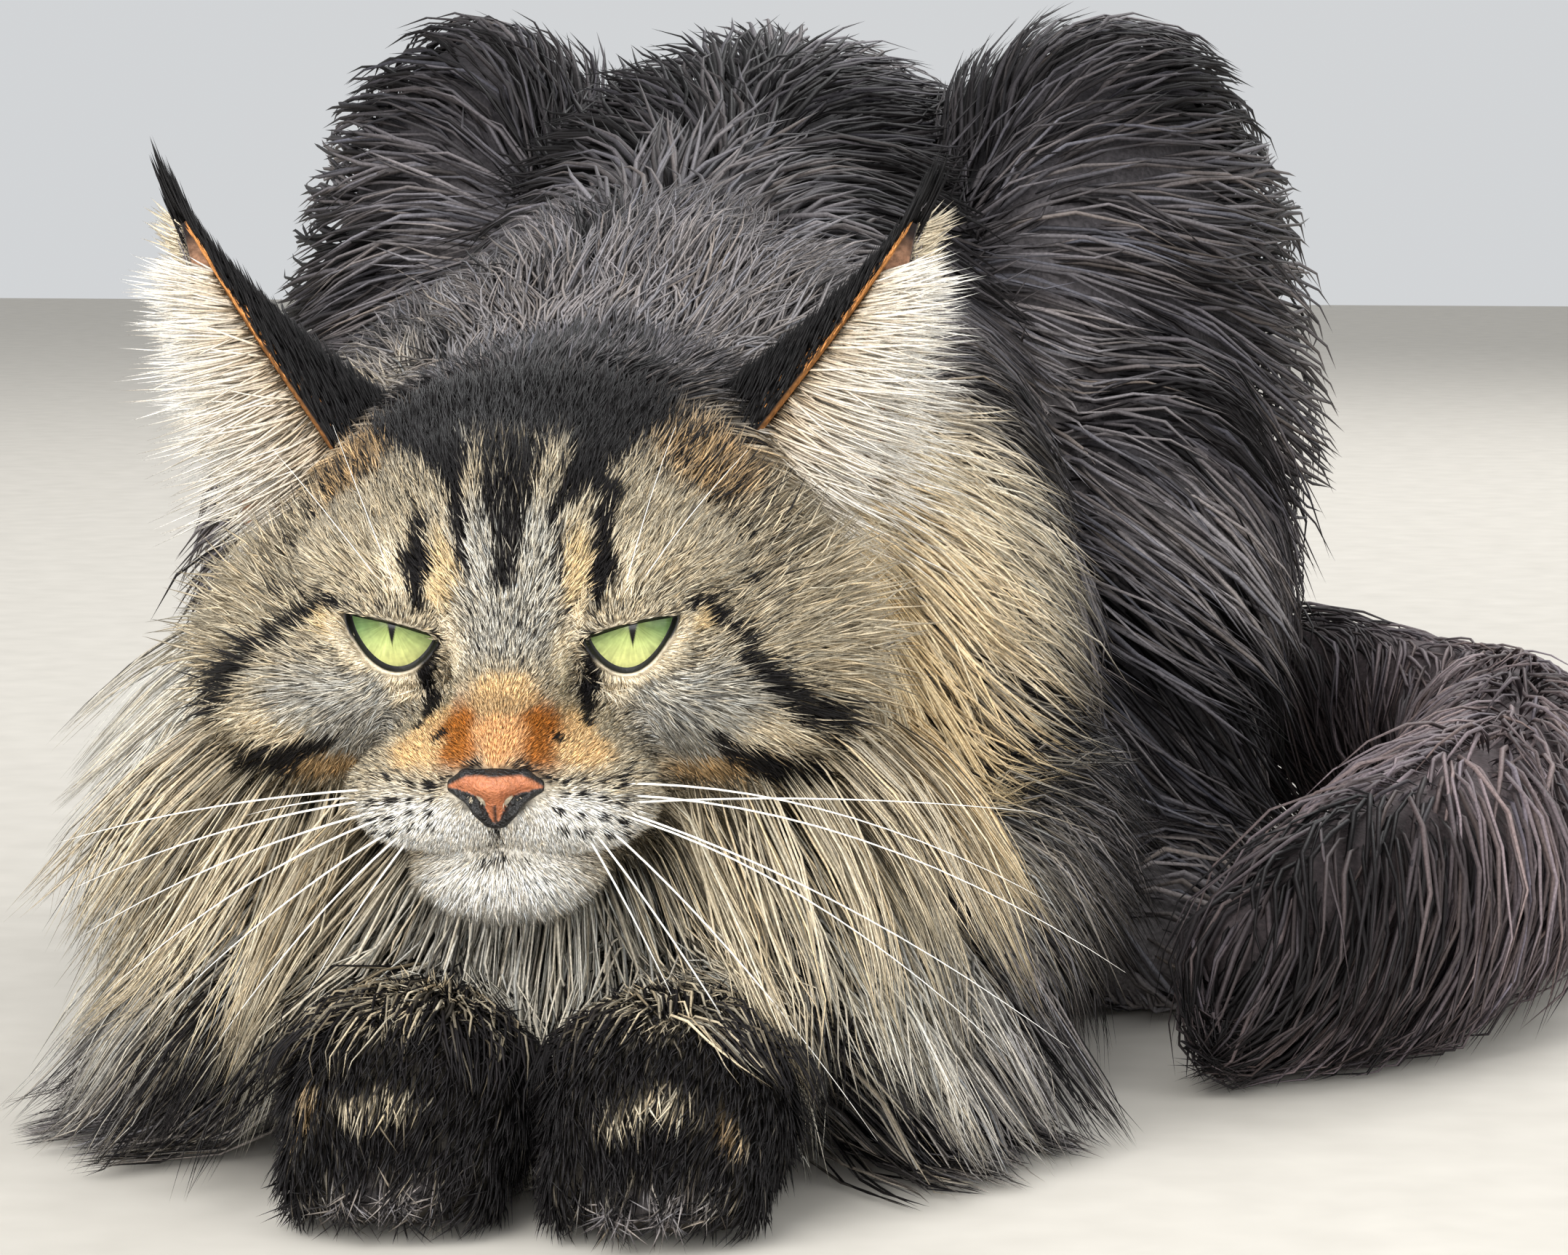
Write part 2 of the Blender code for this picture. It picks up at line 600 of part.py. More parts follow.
def ring_mesh(name, rings):
    """A closed mesh of rings of corners, one after another, with a flat cap at each end."""
    count, sides = rings.shape[:2]
    faces = [list(range(sides))[::-1], [(count - 1) * sides + i for i in range(sides)]]
    for j in range(count - 1):
        for i in range(sides):
            k = (i + 1) % sides
            faces.append([j * sides + i, j * sides + k, (j + 1) * sides + k, (j + 1) * sides + i])
    return outward(mesh_object(name, rings.reshape(-1, 3), faces))


def tube(points, radii, sides, name):
    """A closed round tube along points, with a radius at each."""
    points, radii = np.asarray(points, float), np.asarray(radii, float)
    along = np.gradient(points, axis=0)
    along /= np.linalg.norm(along, axis=1, keepdims=True)
    side = np.cross(along, np.array(TUBE_UP))
    side /= np.linalg.norm(side, axis=1, keepdims=True)
    other = np.cross(along, side)
    angle = np.arange(sides)[None, :, None] * 2 * math.pi / sides
    spokes = np.cos(angle) * side[:, None] + np.sin(angle) * other[:, None]
    return ring_mesh(name, points[:, None] + radii[:, None, None] * spokes)


def core_distance(points, share=CORE_SHARE):
    """Negative inside the core: the body and this share of the depth of its coat."""
    return body_distance(points) - share * coat_depth(points)


def zone_share(cm, centre, reach, side):
    off = (cm - np.array(centre) * (side, 1, 1)) / np.array(reach)
    return np.exp(-0.7 * (off * off).sum(axis=1))[:, None]


def on_tail(cm):
    """True where a point belongs to the tail, and the way to the tail's tip there."""
    route, _ = smooth_route(TAIL_ROUTE, TAIL_RADII, 60)
    away = np.linalg.norm(cm[:, None] - route[None], axis=2)
    near = away.argmin(axis=1)
    ahead = np.gradient(route, axis=0)[near]
    ahead /= np.linalg.norm(ahead, axis=1, keepdims=True)
    trunk = masses_distance(cm, TRUNK_BALLS, TRUNK_LIMBS)
    return away.min(axis=1) - 2.0 < trunk, ahead


def lie_of_coat(points):
    """The way the hair lies at each point, of unit length, before it is laid on the surface."""
    cm = points / BODY_CM
    total = np.tile(np.array(LIE_BASE), (len(cm), 1)) * 0.25
    for name, centre, reach, way in LIE_ZONES:
        for side in (1, -1) if name.endswith("_pair") else (1,):
            total += zone_share(cm, centre, reach, side) * (np.array(way) * (side, 1, 1))
    tail, ahead = on_tail(cm)
    total[tail] = ahead[tail] + np.array((0.0, 0.0, -0.35))
    return total / np.linalg.norm(total, axis=1, keepdims=True)


def lock_paths(roots, length, flare, rng):
    """The middle line of each lock and its outward direction: a foot runs over the body the way the
    hair lies, and the lock stands off it, from sunk below the surface to the coat's full depth."""
    foot = roots.copy()
    turn = rng.normal(0.0, 0.2, len(roots))
    height = (1.0 - CORE_SHARE) * coat_depth(roots)
    path, outward = [], []
    for k, t in enumerate(LOCK_STEPS):
        normal = gradient(core_distance, foot, 0.002)
        if k:
            way = lie_of_coat(foot)
            way -= (way * normal).sum(axis=1, keepdims=True) * normal
            way /= np.linalg.norm(way, axis=1, keepdims=True) + 1e-9
            way += np.cross(normal, way) * turn[:, None]
            step = length * (t - LOCK_STEPS[k - 1])
            foot = foot + way * step[:, None]
            for _ in range(2):
                normal = gradient(core_distance, foot, 0.002)
                foot = foot - core_distance(foot)[:, None] * normal
        rise = -LOCK_SINK * BODY_CM if k == 0 else height * (t**0.7 * (0.75 + flare * t))
        path.append(foot + normal * (rise if k == 0 else rise[:, None]))
        outward.append(normal)
    return np.stack(path, axis=1), np.stack(outward, axis=1)


def lock_object(path, outward_way, width, thick, name="lock"):
    """A closed flat lock of three sides: two edges and a ridge, tapering to a point."""
    along = np.gradient(path, axis=0)
    along /= np.linalg.norm(along, axis=1, keepdims=True)
    across = np.cross(along, outward_way)
    across /= np.linalg.norm(across, axis=1, keepdims=True)
    up = np.cross(across, along)
    half = 0.5 * width * LOCK_TAPER[:, None]
    deep = thick * LOCK_TAPER[:, None]
    under = path - up * deep * 0.25
    rings = np.stack([under - across * half, under + across * half, path + up * deep * 0.75])
    last = len(path) - 1
    points = np.vstack([rings[:, :last].transpose(1, 0, 2).reshape(-1, 3), path[last:]])
    faces = [[0, 1, 2]]
    for j in range(last - 1):
        for i in range(3):
            k = (i + 1) % 3
            faces.append([j * 3 + i, (j + 1) * 3 + i, (j + 1) * 3 + k, j * 3 + k])
    faces += [[(last - 1) * 3 + i, last * 3, (last - 1) * 3 + (i + 1) % 3] for i in range(3)]
    return outward(mesh_object(name, points, faces))


def choose_roots(points, rng):
    """Roots spread over the core no nearer to each other than the spacing there, in random order."""
    cm = points / BODY_CM
    spacing = np.full(len(cm), LOCK_SPACING_BASE)
    for _, centre, reach, least in LOCK_SPACING:
        share = np.minimum(1.0, 1.6 * zone_share(cm, centre, reach, 1)[:, 0])
        spacing = np.minimum(spacing, LOCK_SPACING_BASE + (least - LOCK_SPACING_BASE) * share)
    local = to_head(points)
    face = (local[:, 1] < 3.4 + 0.4 * local[:, 2]) & (local[:, 2] > -4.4)
    paws = (cm[:, 1] < -23.5) & (cm[:, 2] < 4.6)
    under = cm[:, 2] < 0.9
    shallow = coat_depth(points) < 0.9 * BODY_CM
    allowed = np.flatnonzero(~(face | paws | under | shallow))
    chosen = []
    for i in rng.permutation(allowed):
        if not chosen or np.min(np.linalg.norm(cm[chosen] - cm[i], axis=1)) > spacing[i]:
            chosen.append(i)
    return points[chosen]


def coat_locks(points):
    """The locks' paths, outward directions, widths and thicknesses, in metres."""
    rng = np.random.default_rng(LOCK_SEED)
    roots = choose_roots(points, rng)
    depth = coat_depth(roots) / BODY_CM
    length = LOCK_LENGTH * (0.45 + 0.22 * depth) * rng.uniform(0.85, 1.15, len(roots)) * BODY_CM
    flare = rng.uniform(0.15, 0.6, len(roots))
    path, outward = lock_paths(roots, length, flare, rng)
    least = LOCK_THICK * BODY_CM * rng.uniform(0.2, 0.45, (len(roots), 1))
    path[:, 1:, 2] = np.maximum(path[:, 1:, 2], least)
    width = LOCK_WIDTH * rng.uniform(0.85, 1.2, len(roots)) * BODY_CM
    return [lock_object(p, n, w, LOCK_THICK * BODY_CM) for p, n, w in zip(path, outward, width)]


def head_block(grow):
    """The block that the head is parted off with: an outline of its side, carried right across."""
    shape, faces = prism(HEAD_SIDE_OUTLINE[::-1], -HEAD_BLOCK_HALF, HEAD_BLOCK_HALF, grow)
    turned = np.column_stack([shape[:, 2], shape[:, 0], shape[:, 1]]) / BODY_CM
    return outward(mesh_object("head block", from_head(turned), faces))


def block(outline, bottom, top, grow):
    return mesh_object("block", *prism(outline, bottom, top, grow))


def ear_frame(side):
    """The foot and the rise of an ear's middle line, the way its cup opens, and the way across it."""
    base, tip = np.array(EAR_BASE), np.array(EAR_TIP)
    rise = tip - base
    ahead = np.array(EAR_OPENS, float)
    ahead -= rise * (ahead @ rise) / (rise @ rise)
    ahead /= np.linalg.norm(ahead)
    across = np.cross(rise, ahead)
    across /= np.linalg.norm(across)
    turn = np.array((side, 1, 1))
    return base * turn, rise * turn, ahead * turn, across * turn


def ear_radius(v):
    """The radius of the cup, from its foot at v = 0 to its tip at v = 1."""
    return EAR_RADIUS * (1 - v) ** 1.15 + EAR_TIP_RADIUS


def pinna(side):
    """A plate rolled to an open cup. Across it runs an arc round the ear's middle line, and the arc's
    radius falls from the base to the tip."""
    base, rise, ahead, across = ear_frame(side)
    u, v = np.meshgrid(np.linspace(-1, 1, EAR_COLUMNS), np.linspace(0, 1, EAR_ROWS))
    bend = np.radians(EAR_ROLL - (EAR_ROLL - EAR_TIP_ROLL) * v) * u
    radius = ear_radius(v)
    wall = (EAR_WALL + (EAR_TIP_WALL - EAR_WALL) * v) / 2
    middle = base + rise * v[..., None] + ahead * (EAR_BOW * np.sin(math.pi * v))[..., None]
    spoke = -np.cos(bend)[..., None] * ahead + np.sin(bend)[..., None] * across
    outer = middle + spoke * (radius + wall)[..., None]
    inner = middle + spoke * (radius - wall)[..., None]
    rows, cols = u.shape
    half = rows * cols
    faces = []
    for j in range(rows - 1):
        for i in range(cols - 1):
            ring = [j * cols + i, j * cols + i + 1, (j + 1) * cols + i + 1, (j + 1) * cols + i]
            faces += [ring, [half + k for k in ring[::-1]]]
    edge = [(0, i) for i in range(cols)] + [(j, cols - 1) for j in range(1, rows)]
    edge += [(rows - 1, i) for i in range(cols - 2, -1, -1)] + [(j, 0) for j in range(rows - 2, 0, -1)]
    rim = [j * cols + i for j, i in edge]
    for a, b in zip(rim, rim[1:] + rim[:1]):
        faces.append([b, a, half + a, half + b])
    points = from_head(np.vstack([outer.reshape(-1, 3), inner.reshape(-1, 3)]))
    return outward(mesh_object("pinna", points, faces))


def swollen(target, grow):
    """The object with each corner moved out along its normal, by a little more than grow at edges."""
    moved = [corner.co + corner.normal * grow * 1.4 for corner in target.data.vertices]
    for corner, place in zip(target.data.vertices, moved):
        corner.co = place
    target.data.update()
    return target


def ear_slot(side):
    """What is cut away for an ear: the pinna, and the gap all round it."""
    return swollen(pinna(side), GAP)


def signed_volume(target):
    body = bmesh.new()
    body.from_mesh(target.data)
    volume = body.calc_volume(signed=True)
    body.free()
    return volume


def outward(target):
    """The object, with its faces turned to point out."""
    if signed_volume(target) < 0:
        target.data.flip_normals()
    return target


def foreleg_shape(side, grow):
    """A round sleeve from the elbow to beyond the toes, kept to its own side of the line between the paws."""
    middle = PAW_LINE_X * BODY_CM
    route = np.array(FORELEG_ROUTE) * BODY_CM
    route[:, 0] = middle + side * (route[:, 0] - middle)
    sleeve = tube(route, np.array(FORELEG_RADII) * BODY_CM + grow, SLEEVE_SIDES, "sleeve")
    edge = PAW_LINE_X + side * (0.02 - grow / BODY_CM)
    near, far = sorted((edge, edge + side * FAR))
    keep = block([(near, -FAR), (far, -FAR), (far, 0), (near, 0)], BLOCK_BOTTOM, BODY_TOP, 0.0)
    boolean(sleeve, "INTERSECT", [keep])
    return sleeve


def ball(centre, radius, name, around=18, up=10):
    """A closed round ball in the head's frame."""
    points, faces = egg((0, 0, 0), (1, 1, 1), 0.0, around, up)
    points = points / BODY_CM * radius
    turned = np.column_stack([points[:, 0], -points[:, 2], points[:, 1]])
    return mesh_object(name, from_head(turned + np.array(centre)), faces)


def fissure(side):
    """The opening between the lids: a slanting upper edge that is nearly straight over a round lower
    one, carried back from the front of the face to the eyeball's sides."""
    t = np.linspace(0.0, 1.0, FISSURE_STEPS)
    inner, outer = np.array(FISSURE_INNER), np.array(FISSURE_OUTER)
    chord = inner + (outer - inner) * t[:, None]
    arch = np.sin(math.pi * t)
    upper = chord + np.column_stack([0.0 * t, FISSURE_RISE * arch])
    lower = chord - np.column_stack([0.0 * t, FISSURE_DROP * arch**0.75])
    loop = np.vstack([lower, upper[-2:0:-1]]) * (side, 1)
    rings = [np.column_stack([loop[:, 0], np.full(len(loop), y), loop[:, 1]]) for y in FISSURE_FROM_TO]
    return ring_mesh("fissure", np.stack([from_head(ring) for ring in rings]))


def front_of_head(flat):
    """Where lines along the head's Y axis through points (x, z) first meet it, in short steps."""
    reach = np.arange(-4.0, 2.0, 0.05)
    x, y = np.meshgrid(flat[:, 0], reach, indexing="ij")
    z = np.broadcast_to(flat[:, 1:], x.shape)
    depth = head_distance(np.column_stack([x.ravel(), y.ravel(), z.ravel()])).reshape(x.shape)
    return reach[(depth < 0).argmax(axis=1)]


def groove(line):
    """A thin blade that cuts a line into the face: it follows (x, z) points and the skin behind them."""
    points = np.array(line, float)
    knots = np.linspace(0, len(points) - 1, GROOVE_STEPS * (len(points) - 1) + 1)
    flat = np.column_stack([np.interp(knots, np.arange(len(points)), points[:, k]) for k in (0, 1)])
    skin = front_of_head(flat)
    along = np.gradient(flat, axis=0)
    along /= np.linalg.norm(along, axis=1, keepdims=True)
    across = np.column_stack([-along[:, 1], along[:, 0]]) * GROOVE_WIDTH / 2
    corners = []
    for share, depth in zip((1.0, -1.0, -0.3, 0.3), (GROOVE_FRONT, GROOVE_FRONT, GROOVE_DEPTH, GROOVE_DEPTH)):
        side = flat + across * share
        corners.append(from_head(np.column_stack([side[:, 0], skin + depth, side[:, 1]])))
    return ring_mesh("groove", np.stack(corners, axis=1))


def nose_distance(local):
    """The nose leather: a pad that is wide above and narrow below."""
    pad = ball_distance(local, (0.0, -2.85, -1.85), (0.92, 0.5, 0.32), (0, 0, 0))
    return melt(pad, limb_distance(local, (0.0, -2.92, -1.95), (0.0, -2.8, -2.42), 0.42, 0.2), 0.2)


def nose_pad(grow, triangles):
    low, high = (np.array(corner) for corner in NOSE_BOX)
    points, faces = surface_of(lambda p: nose_distance(p) - grow / HEAD_CM, low, high, NOSE_CELL)
    made = mesh_object("nose", from_head(points), faces)
    thin_out(made, triangles)
    return made


def nostril(side):
    """A comma-shaped opening: round near the middle, with a tail that runs back to the nose's side."""
    route = [(side * x, y, z) for x, y, z in NOSTRIL_ROUTE]
    return tube(from_head(route), np.array(NOSTRIL_RADII) * HEAD_CM, 7, "nostril")


def nose_object():
    made = nose_pad(0.0, NOSE_TRIANGLES)
    boolean(made, "DIFFERENCE", [nostril(1), nostril(-1)])
    keep_largest(made)
    return made


def core_object(box, cell, triangles, name, share=CORE_SHARE):
    """The core between two corners, given in hundredths of a metre, closed off at their box."""
    low, high = (np.array(corner) * BODY_CM for corner in box)
    middle, half = (low + high) / 2, (high - low) / 2 - 2 * cell

    def boxed(points):
        return np.maximum(core_distance(points, share), (np.abs(points - middle) - half).max(axis=1))

    points, faces = surface_of(boxed, low, high, cell)
    made = mesh_object(name, points, faces)
    thin_out(made, triangles)
    return made, points


def material(node, name):
    colour, rough = COLOURS[name]
    made = bpy.data.materials.new(node + "_" + name)
    made.use_nodes = True
    shader = made.node_tree.nodes["Principled BSDF"]
    shader.inputs["Base Color"].default_value = (*colour, 1.0)
    shader.inputs["Roughness"].default_value = rough
    return made


def part_off(whole, name, shape):
    """Cuts a node off the whole: what is inside the shape, with a thin gap left all round it."""
    piece = copy_of(whole, name)
    boolean(piece, "INTERSECT", [shape(0.0)])
    keep_largest(piece)
    boolean(whole, "DIFFERENCE", [shape(GAP)])
    return piece


def finish(made, name, colour):
    """Gives a node its name, its own material and smooth shading."""
    made.name = name
    made.data.name = name
    made.data.materials.clear()
    made.data.materials.append(material(name, colour))
    made.data.shade_smooth()
    made.data.set_sharp_from_angle(angle=math.radians(40))
    return made


def ear_lock(path, facing, size):
    """A lock of the ear, from a path and the way that its flat side faces, in the head's frame."""
    width, thick = size
    normal = np.tile(np.array(HEAD_TURN) @ facing, (len(path), 1))
    return lock_object(from_head(np.array(path)), normal, width * HEAD_CM, thick * HEAD_CM)


def ear_locks(side):
    """The two-pronged tuft at an ear's tip, and the long hair that sweeps out of its cup."""
    base, rise, ahead, across = ear_frame(side)
    up = rise / np.linalg.norm(rise)
    made = []
    for lean, share in TUFT_LEANS:
        start = base + rise * 0.9 - ahead * EAR_TIP_RADIUS
        way = up + np.array((0.08 * side, lean, 0.0))
        path = [start + way * TUFT_LENGTH * share * t - ahead * 0.35 * t * t for t in LOCK_STEPS]
        made.append(ear_lock(path, ahead, TUFT_SIZE))
    for foot in EAR_LOCK_ROOTS:
        start = base + rise * foot - ahead * ear_radius(foot)
        reach = EAR_LOCK_REACH * (1.0 - 0.5 * foot)
        path = [start + ahead * reach * t + up * EAR_LOCK_RISE * reach * t * t for t in LOCK_STEPS]
        made.append(ear_lock(path, across, EAR_LOCK_SIZE))
    return made


def floor_block():
    """All that is above the floor."""
    return block([(-FAR, -FAR), (FAR, -FAR), (FAR, FAR), (-FAR, FAR)], 0.0, BODY_TOP, 0.0)


def make_eye(side, word):
    finish(ball((side * EYE_AT[0], *EYE_AT[1:]), EYE_RADIUS, "eye"), "eye_" + word, "eye_clear")


def make_ear(side, word):
    ear = pinna(side)
    boolean(ear, "UNION", ear_locks(side))
    keep_largest(ear)
    finish(ear, "ear_" + word, "ear_coat")


def make_head():
    head, _ = core_object(HEAD_BOX, HEAD_CELL, HEAD_TRIANGLES, "head")
    boolean(head, "INTERSECT", [head_block(0.0)])
    cuts = [nose_pad(GAP, NOSE_TRIANGLES), groove(MOUTH_LINE), groove(LIP_LINE)]
    for side, word in ((1, "left"), (-1, "right")):
        socket = (side * EYE_AT[0], *EYE_AT[1:])
        cuts += [ball(socket, EYE_RADIUS + GAP / HEAD_CM, "socket"), fissure(side), ear_slot(side)]
        make_eye(side, word)
        make_ear(side, word)
    boolean(head, "DIFFERENCE", cuts)
    keep_largest(head)
    finish(head, "head", "face_coat")
    finish(nose_object(), "nose", "nose_leather")


def haunch_shape(side, grow):
    """The egg that a hind leg is parted off with."""
    centre, radii = HAUNCH_EGG
    middle = HAUNCH_MIDDLE_X
    return mesh_object("egg", *egg((middle + side * centre[0], *centre[1:]), radii, grow))


def make_body(with_locks):
    """The body behind the head: one core with its locks, parted into nodes one after another."""
    share = CORE_SHARE if with_locks else 1.0
    body, points = core_object(BODY_BOX, BODY_CELL, BODY_TRIANGLES, "torso", share)
    if with_locks:
        boolean(body, "UNION", coat_locks(points))
    boolean(body, "INTERSECT", [floor_block()])
    boolean(body, "DIFFERENCE", [head_block(GAP), ear_slot(1), ear_slot(-1)])
    shapes = [
        ("tail_tip", "brown_coat", lambda grow: block(TAIL_TIP_OUTLINE, BLOCK_BOTTOM, BODY_TOP, grow)),
        ("tail_mid", "brown_coat", lambda grow: block(TAIL_MID_OUTLINE, BLOCK_BOTTOM, BODY_TOP, grow)),
        ("tail_base", "brown_coat", lambda grow: block(TAIL_BASE_OUTLINE, BLOCK_BOTTOM, TAIL_BASE_TOP, grow)),
        ("foreleg_left", "brown_coat", lambda grow: foreleg_shape(1, grow)),
        ("foreleg_right", "brown_coat", lambda grow: foreleg_shape(-1, grow)),
        ("hindleg_left", "brown_coat", lambda grow: haunch_shape(1, grow)),
        ("hindleg_right", "brown_coat", lambda grow: haunch_shape(-1, grow)),
        ("neck", "ruff_coat", lambda grow: block(NECK_OUTLINE, BLOCK_BOTTOM, BODY_TOP, grow)),
    ]
    for name, colour, shape in shapes:
        finish(part_off(body, name, shape), name, colour)
    keep_largest(body)
    finish(body, "torso", "brown_coat")


def main():
    for old in list(bpy.data.objects):
        bpy.data.objects.remove(old)
    make_head()
    make_body(True)


if __name__ == "__main__":
    main()
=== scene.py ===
import math
from collections import namedtuple

import bpy
import numpy as np
from mathutils import Matrix, Vector
from mathutils.kdtree import KDTree


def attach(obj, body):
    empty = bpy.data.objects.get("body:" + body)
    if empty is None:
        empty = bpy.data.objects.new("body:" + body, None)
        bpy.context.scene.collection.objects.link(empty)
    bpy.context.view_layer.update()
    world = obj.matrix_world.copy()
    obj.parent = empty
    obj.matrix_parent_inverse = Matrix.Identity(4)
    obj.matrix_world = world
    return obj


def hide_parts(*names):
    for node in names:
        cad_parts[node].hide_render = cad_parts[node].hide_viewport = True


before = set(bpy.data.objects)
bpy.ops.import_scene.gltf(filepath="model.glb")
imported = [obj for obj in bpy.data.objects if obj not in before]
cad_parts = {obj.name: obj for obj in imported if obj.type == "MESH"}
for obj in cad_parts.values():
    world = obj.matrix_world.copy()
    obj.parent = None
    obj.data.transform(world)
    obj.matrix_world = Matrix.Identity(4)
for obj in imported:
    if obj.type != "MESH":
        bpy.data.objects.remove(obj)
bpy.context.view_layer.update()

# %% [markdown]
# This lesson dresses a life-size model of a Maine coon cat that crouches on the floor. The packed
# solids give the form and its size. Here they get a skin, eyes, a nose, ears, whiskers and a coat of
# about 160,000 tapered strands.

BODY_LENGTH = 0.53  # metres, nose to rump as it crouches
EYE_SPACING = 0.042  # pupil to pupil
BODY_CM = BODY_LENGTH / 53.0  # tables are in hundredths of a metre for these sizes
HEAD_CM = EYE_SPACING / 4.2

# The head's own frame: origin between the eyes, -Y out of the face, turned and tipped on the neck
HEAD_PLACE = Vector((0.0, -26.4, 10.2)) * BODY_CM
HEAD_TURN = Matrix.Rotation(math.radians(5.0), 3, "Z") @ Matrix.Rotation(math.radians(8.0), 3, "X")
HEAD_AXES = np.array(HEAD_TURN)
SIDES = ((1, "left"), (-1, "right"))  # the sign of X on each side of the cat


def placed(name, data):
    """An object of the data, at the origin and in the scene."""
    made = bpy.data.objects.new(name, data)
    bpy.context.scene.collection.objects.link(made)
    return made


def aimed(way):
    """The rotation that points a camera or a lamp along a way."""
    return way.to_track_quat("-Z", "Y").to_euler()


print("nodes in the frame:", len(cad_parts))

# %% [markdown]
# The camera comes early, so that every test picture has the framing of the photograph: low, a little
# to the cat's left, and near enough for the face to fill the left half of the picture.

# %% The camera
CAMERA_TURN = math.radians(8.0)
CAMERA_RISE = math.radians(5.8)
CAMERA_DISTANCE = 0.90
CAMERA_SIDE, CAMERA_UP = 0.0483, 0.0017  # from the head to the point it looks at
CAMERA_LENS = 116.9  # millimetres
CAMERA_NEAR = 0.01


def add_camera():
    """A camera that looks along its own -Z at a point beside the head. Back is the way from that
    point to the camera: sin and cos of the turn across, times cos of the rise, and sin of the rise up."""
    across, flat = math.sin(CAMERA_TURN), math.cos(CAMERA_TURN)
    right = Vector((flat, across, 0.0))
    back = Vector((across * math.cos(CAMERA_RISE), -flat * math.cos(CAMERA_RISE), math.sin(CAMERA_RISE)))
    target = HEAD_PLACE + right * CAMERA_SIDE + back.cross(right) * CAMERA_UP
    data = bpy.data.cameras.new("camera")
    data.lens = CAMERA_LENS
    data.clip_start = CAMERA_NEAR
    made = placed("camera", data)
    made.location = target + back * CAMERA_DISTANCE
    made.rotation_euler = aimed(-back)
    return made


bpy.context.scene.camera = add_camera()
bpy.context.scene.view_settings.view_transform = "Standard"
print("camera at", tuple(round(v, 3) for v in bpy.context.scene.camera.location))

# %% [markdown]
# Under the fur a cat is a set of rounded masses that run into each other: ribs, belly, haunches, skull
# and jaw. Each mass is an ellipsoid or a tapered limb with a formula for the distance from it, and a
# soft minimum melts them together. One function then says how far any point is from the cat.

# %% The masses of the body
TRUNK_BALLS = [  # name, centre, radii, turn about X Y Z in degrees, blend width
    ("belly", (-0.2, 3.0, 6.6), (7.8, 12.5, 7.4), (0, 0, 0), 2.0),
    ("ribs", (0.0, -5.5, 8.8), (6.8, 10.5, 8.2), (6, 0, 0), 2.5),
    ("loins", (-0.3, 6.5, 11.6), (6.6, 11.0, 7.9), (0, 0, 0), 2.5),
    ("rump", (-0.4, 13.0, 10.6), (6.2, 6.8, 9.0), (0, 0, 0), 2.5),
    ("chest", (0.0, -15.0, 6.6), (5.4, 5.4, 6.4), (0, 0, 0), 2.5),
    ("nape", (0.0, -16.6, 10.2), (4.6, 6.0, 4.2), (0, 0, 6), 2.5),
    ("throat", (0.1, -20.4, 7.4), (3.9, 3.6, 3.4), (0, 0, 6), 2.0),
    ("shoulder_pair", (4.4, -9.5, 7.6), (2.9, 5.2, 7.2), (0, 8, 0), 2.6),
    ("haunch_pair", (7.0, 9.0, 11.0), (4.2, 8.0, 10.2), (-6, 4, -6), 1.8),
    ("knee_pair", (8.9, 1.8, 6.8), (2.6, 4.6, 6.4), (0, 8, 0), 2.2),
]
TRUNK_LIMBS = [  # name, start, end, start radius, end radius, blend width
    ("spine", (0.0, -11.0, 13.6), (-0.4, 11.0, 17.2), 2.2, 3.0, 3.0),
    ("neck", (0.0, -12.5, 10.6), (0.2, -21.0, 10.0), 4.8, 4.0, 2.5),
    ("forearm_pair", (6.3, -11.5, 3.4), (2.9, -22.5, 2.2), 2.5, 1.8, 1.4),
    ("hind_foot_pair", (9.0, 7.0, 1.7), (9.4, -4.0, 1.5), 1.9, 1.5, 1.2),
]
PAW_CENTRE = (2.32, -26.9, 1.85)  # of each forepaw, from the line between the paws
PAW_LINE_X = 0.6
PAW_RADII = (2.05, 2.6, 1.95)
TOE_RADII = (0.66, 1.35, 1.0)
TOE_AHEAD, TOE_BACK, TOE_SPREAD, TOE_BLEND, TOE_COUNT = 1.75, 0.45, 1.2, 0.22, 4
HIND_TOES_AT = (9.4, -5.0, 1.25)
HEAD_BALLS = [  # in the head's own frame
    ("skull", (0.0, 4.7, 0.45), (4.1, 4.5, 3.1), (0, 0, 0), 0.0),
    ("forehead", (0.0, 1.9, 1.1), (2.5, 1.9, 1.8), (0, 0, 0), 1.0),
    ("brow_pair", (2.1, 1.45, 0.85), (1.5, 1.15, 0.7), (0, -10, 0), 0.9),
    ("cheekbone_pair", (2.9, 2.2, -1.0), (1.8, 2.1, 1.3), (0, 0, 0), 1.1),
    ("jowl_pair", (3.3, 4.4, -1.7), (2.2, 2.9, 2.2), (0, 0, 0), 1.4),
    ("muzzle", (0.0, -0.2, -2.25), (2.1, 2.6, 1.25), (0, 0, 0), 0.9),
    ("whisker_pad_pair", (1.2, -1.6, -2.4), (1.4, 1.25, 0.88), (0, 0, 0), 0.45),
    ("nose_tip", (0.0, -2.55, -1.95), (0.8, 0.6, 0.5), (0, 0, 0), 0.35),
    ("chin", (0.0, -1.2, -3.75), (1.5, 1.2, 0.78), (0, 0, 0), 0.18),
    ("jaw", (0.0, 1.8, -3.1), (2.2, 3.2, 1.3), (0, 0, 0), 0.9),
    ("lid_pair", (2.1, 1.08, 0.0), (1.27, 1.27, 1.2), (0, 0, 0), 0.3),
]
HEAD_LIMBS = [("bridge", (0.0, 0.7, 0.1), (0.0, -2.1, -1.55), 0.95, 0.72, 0.5)]
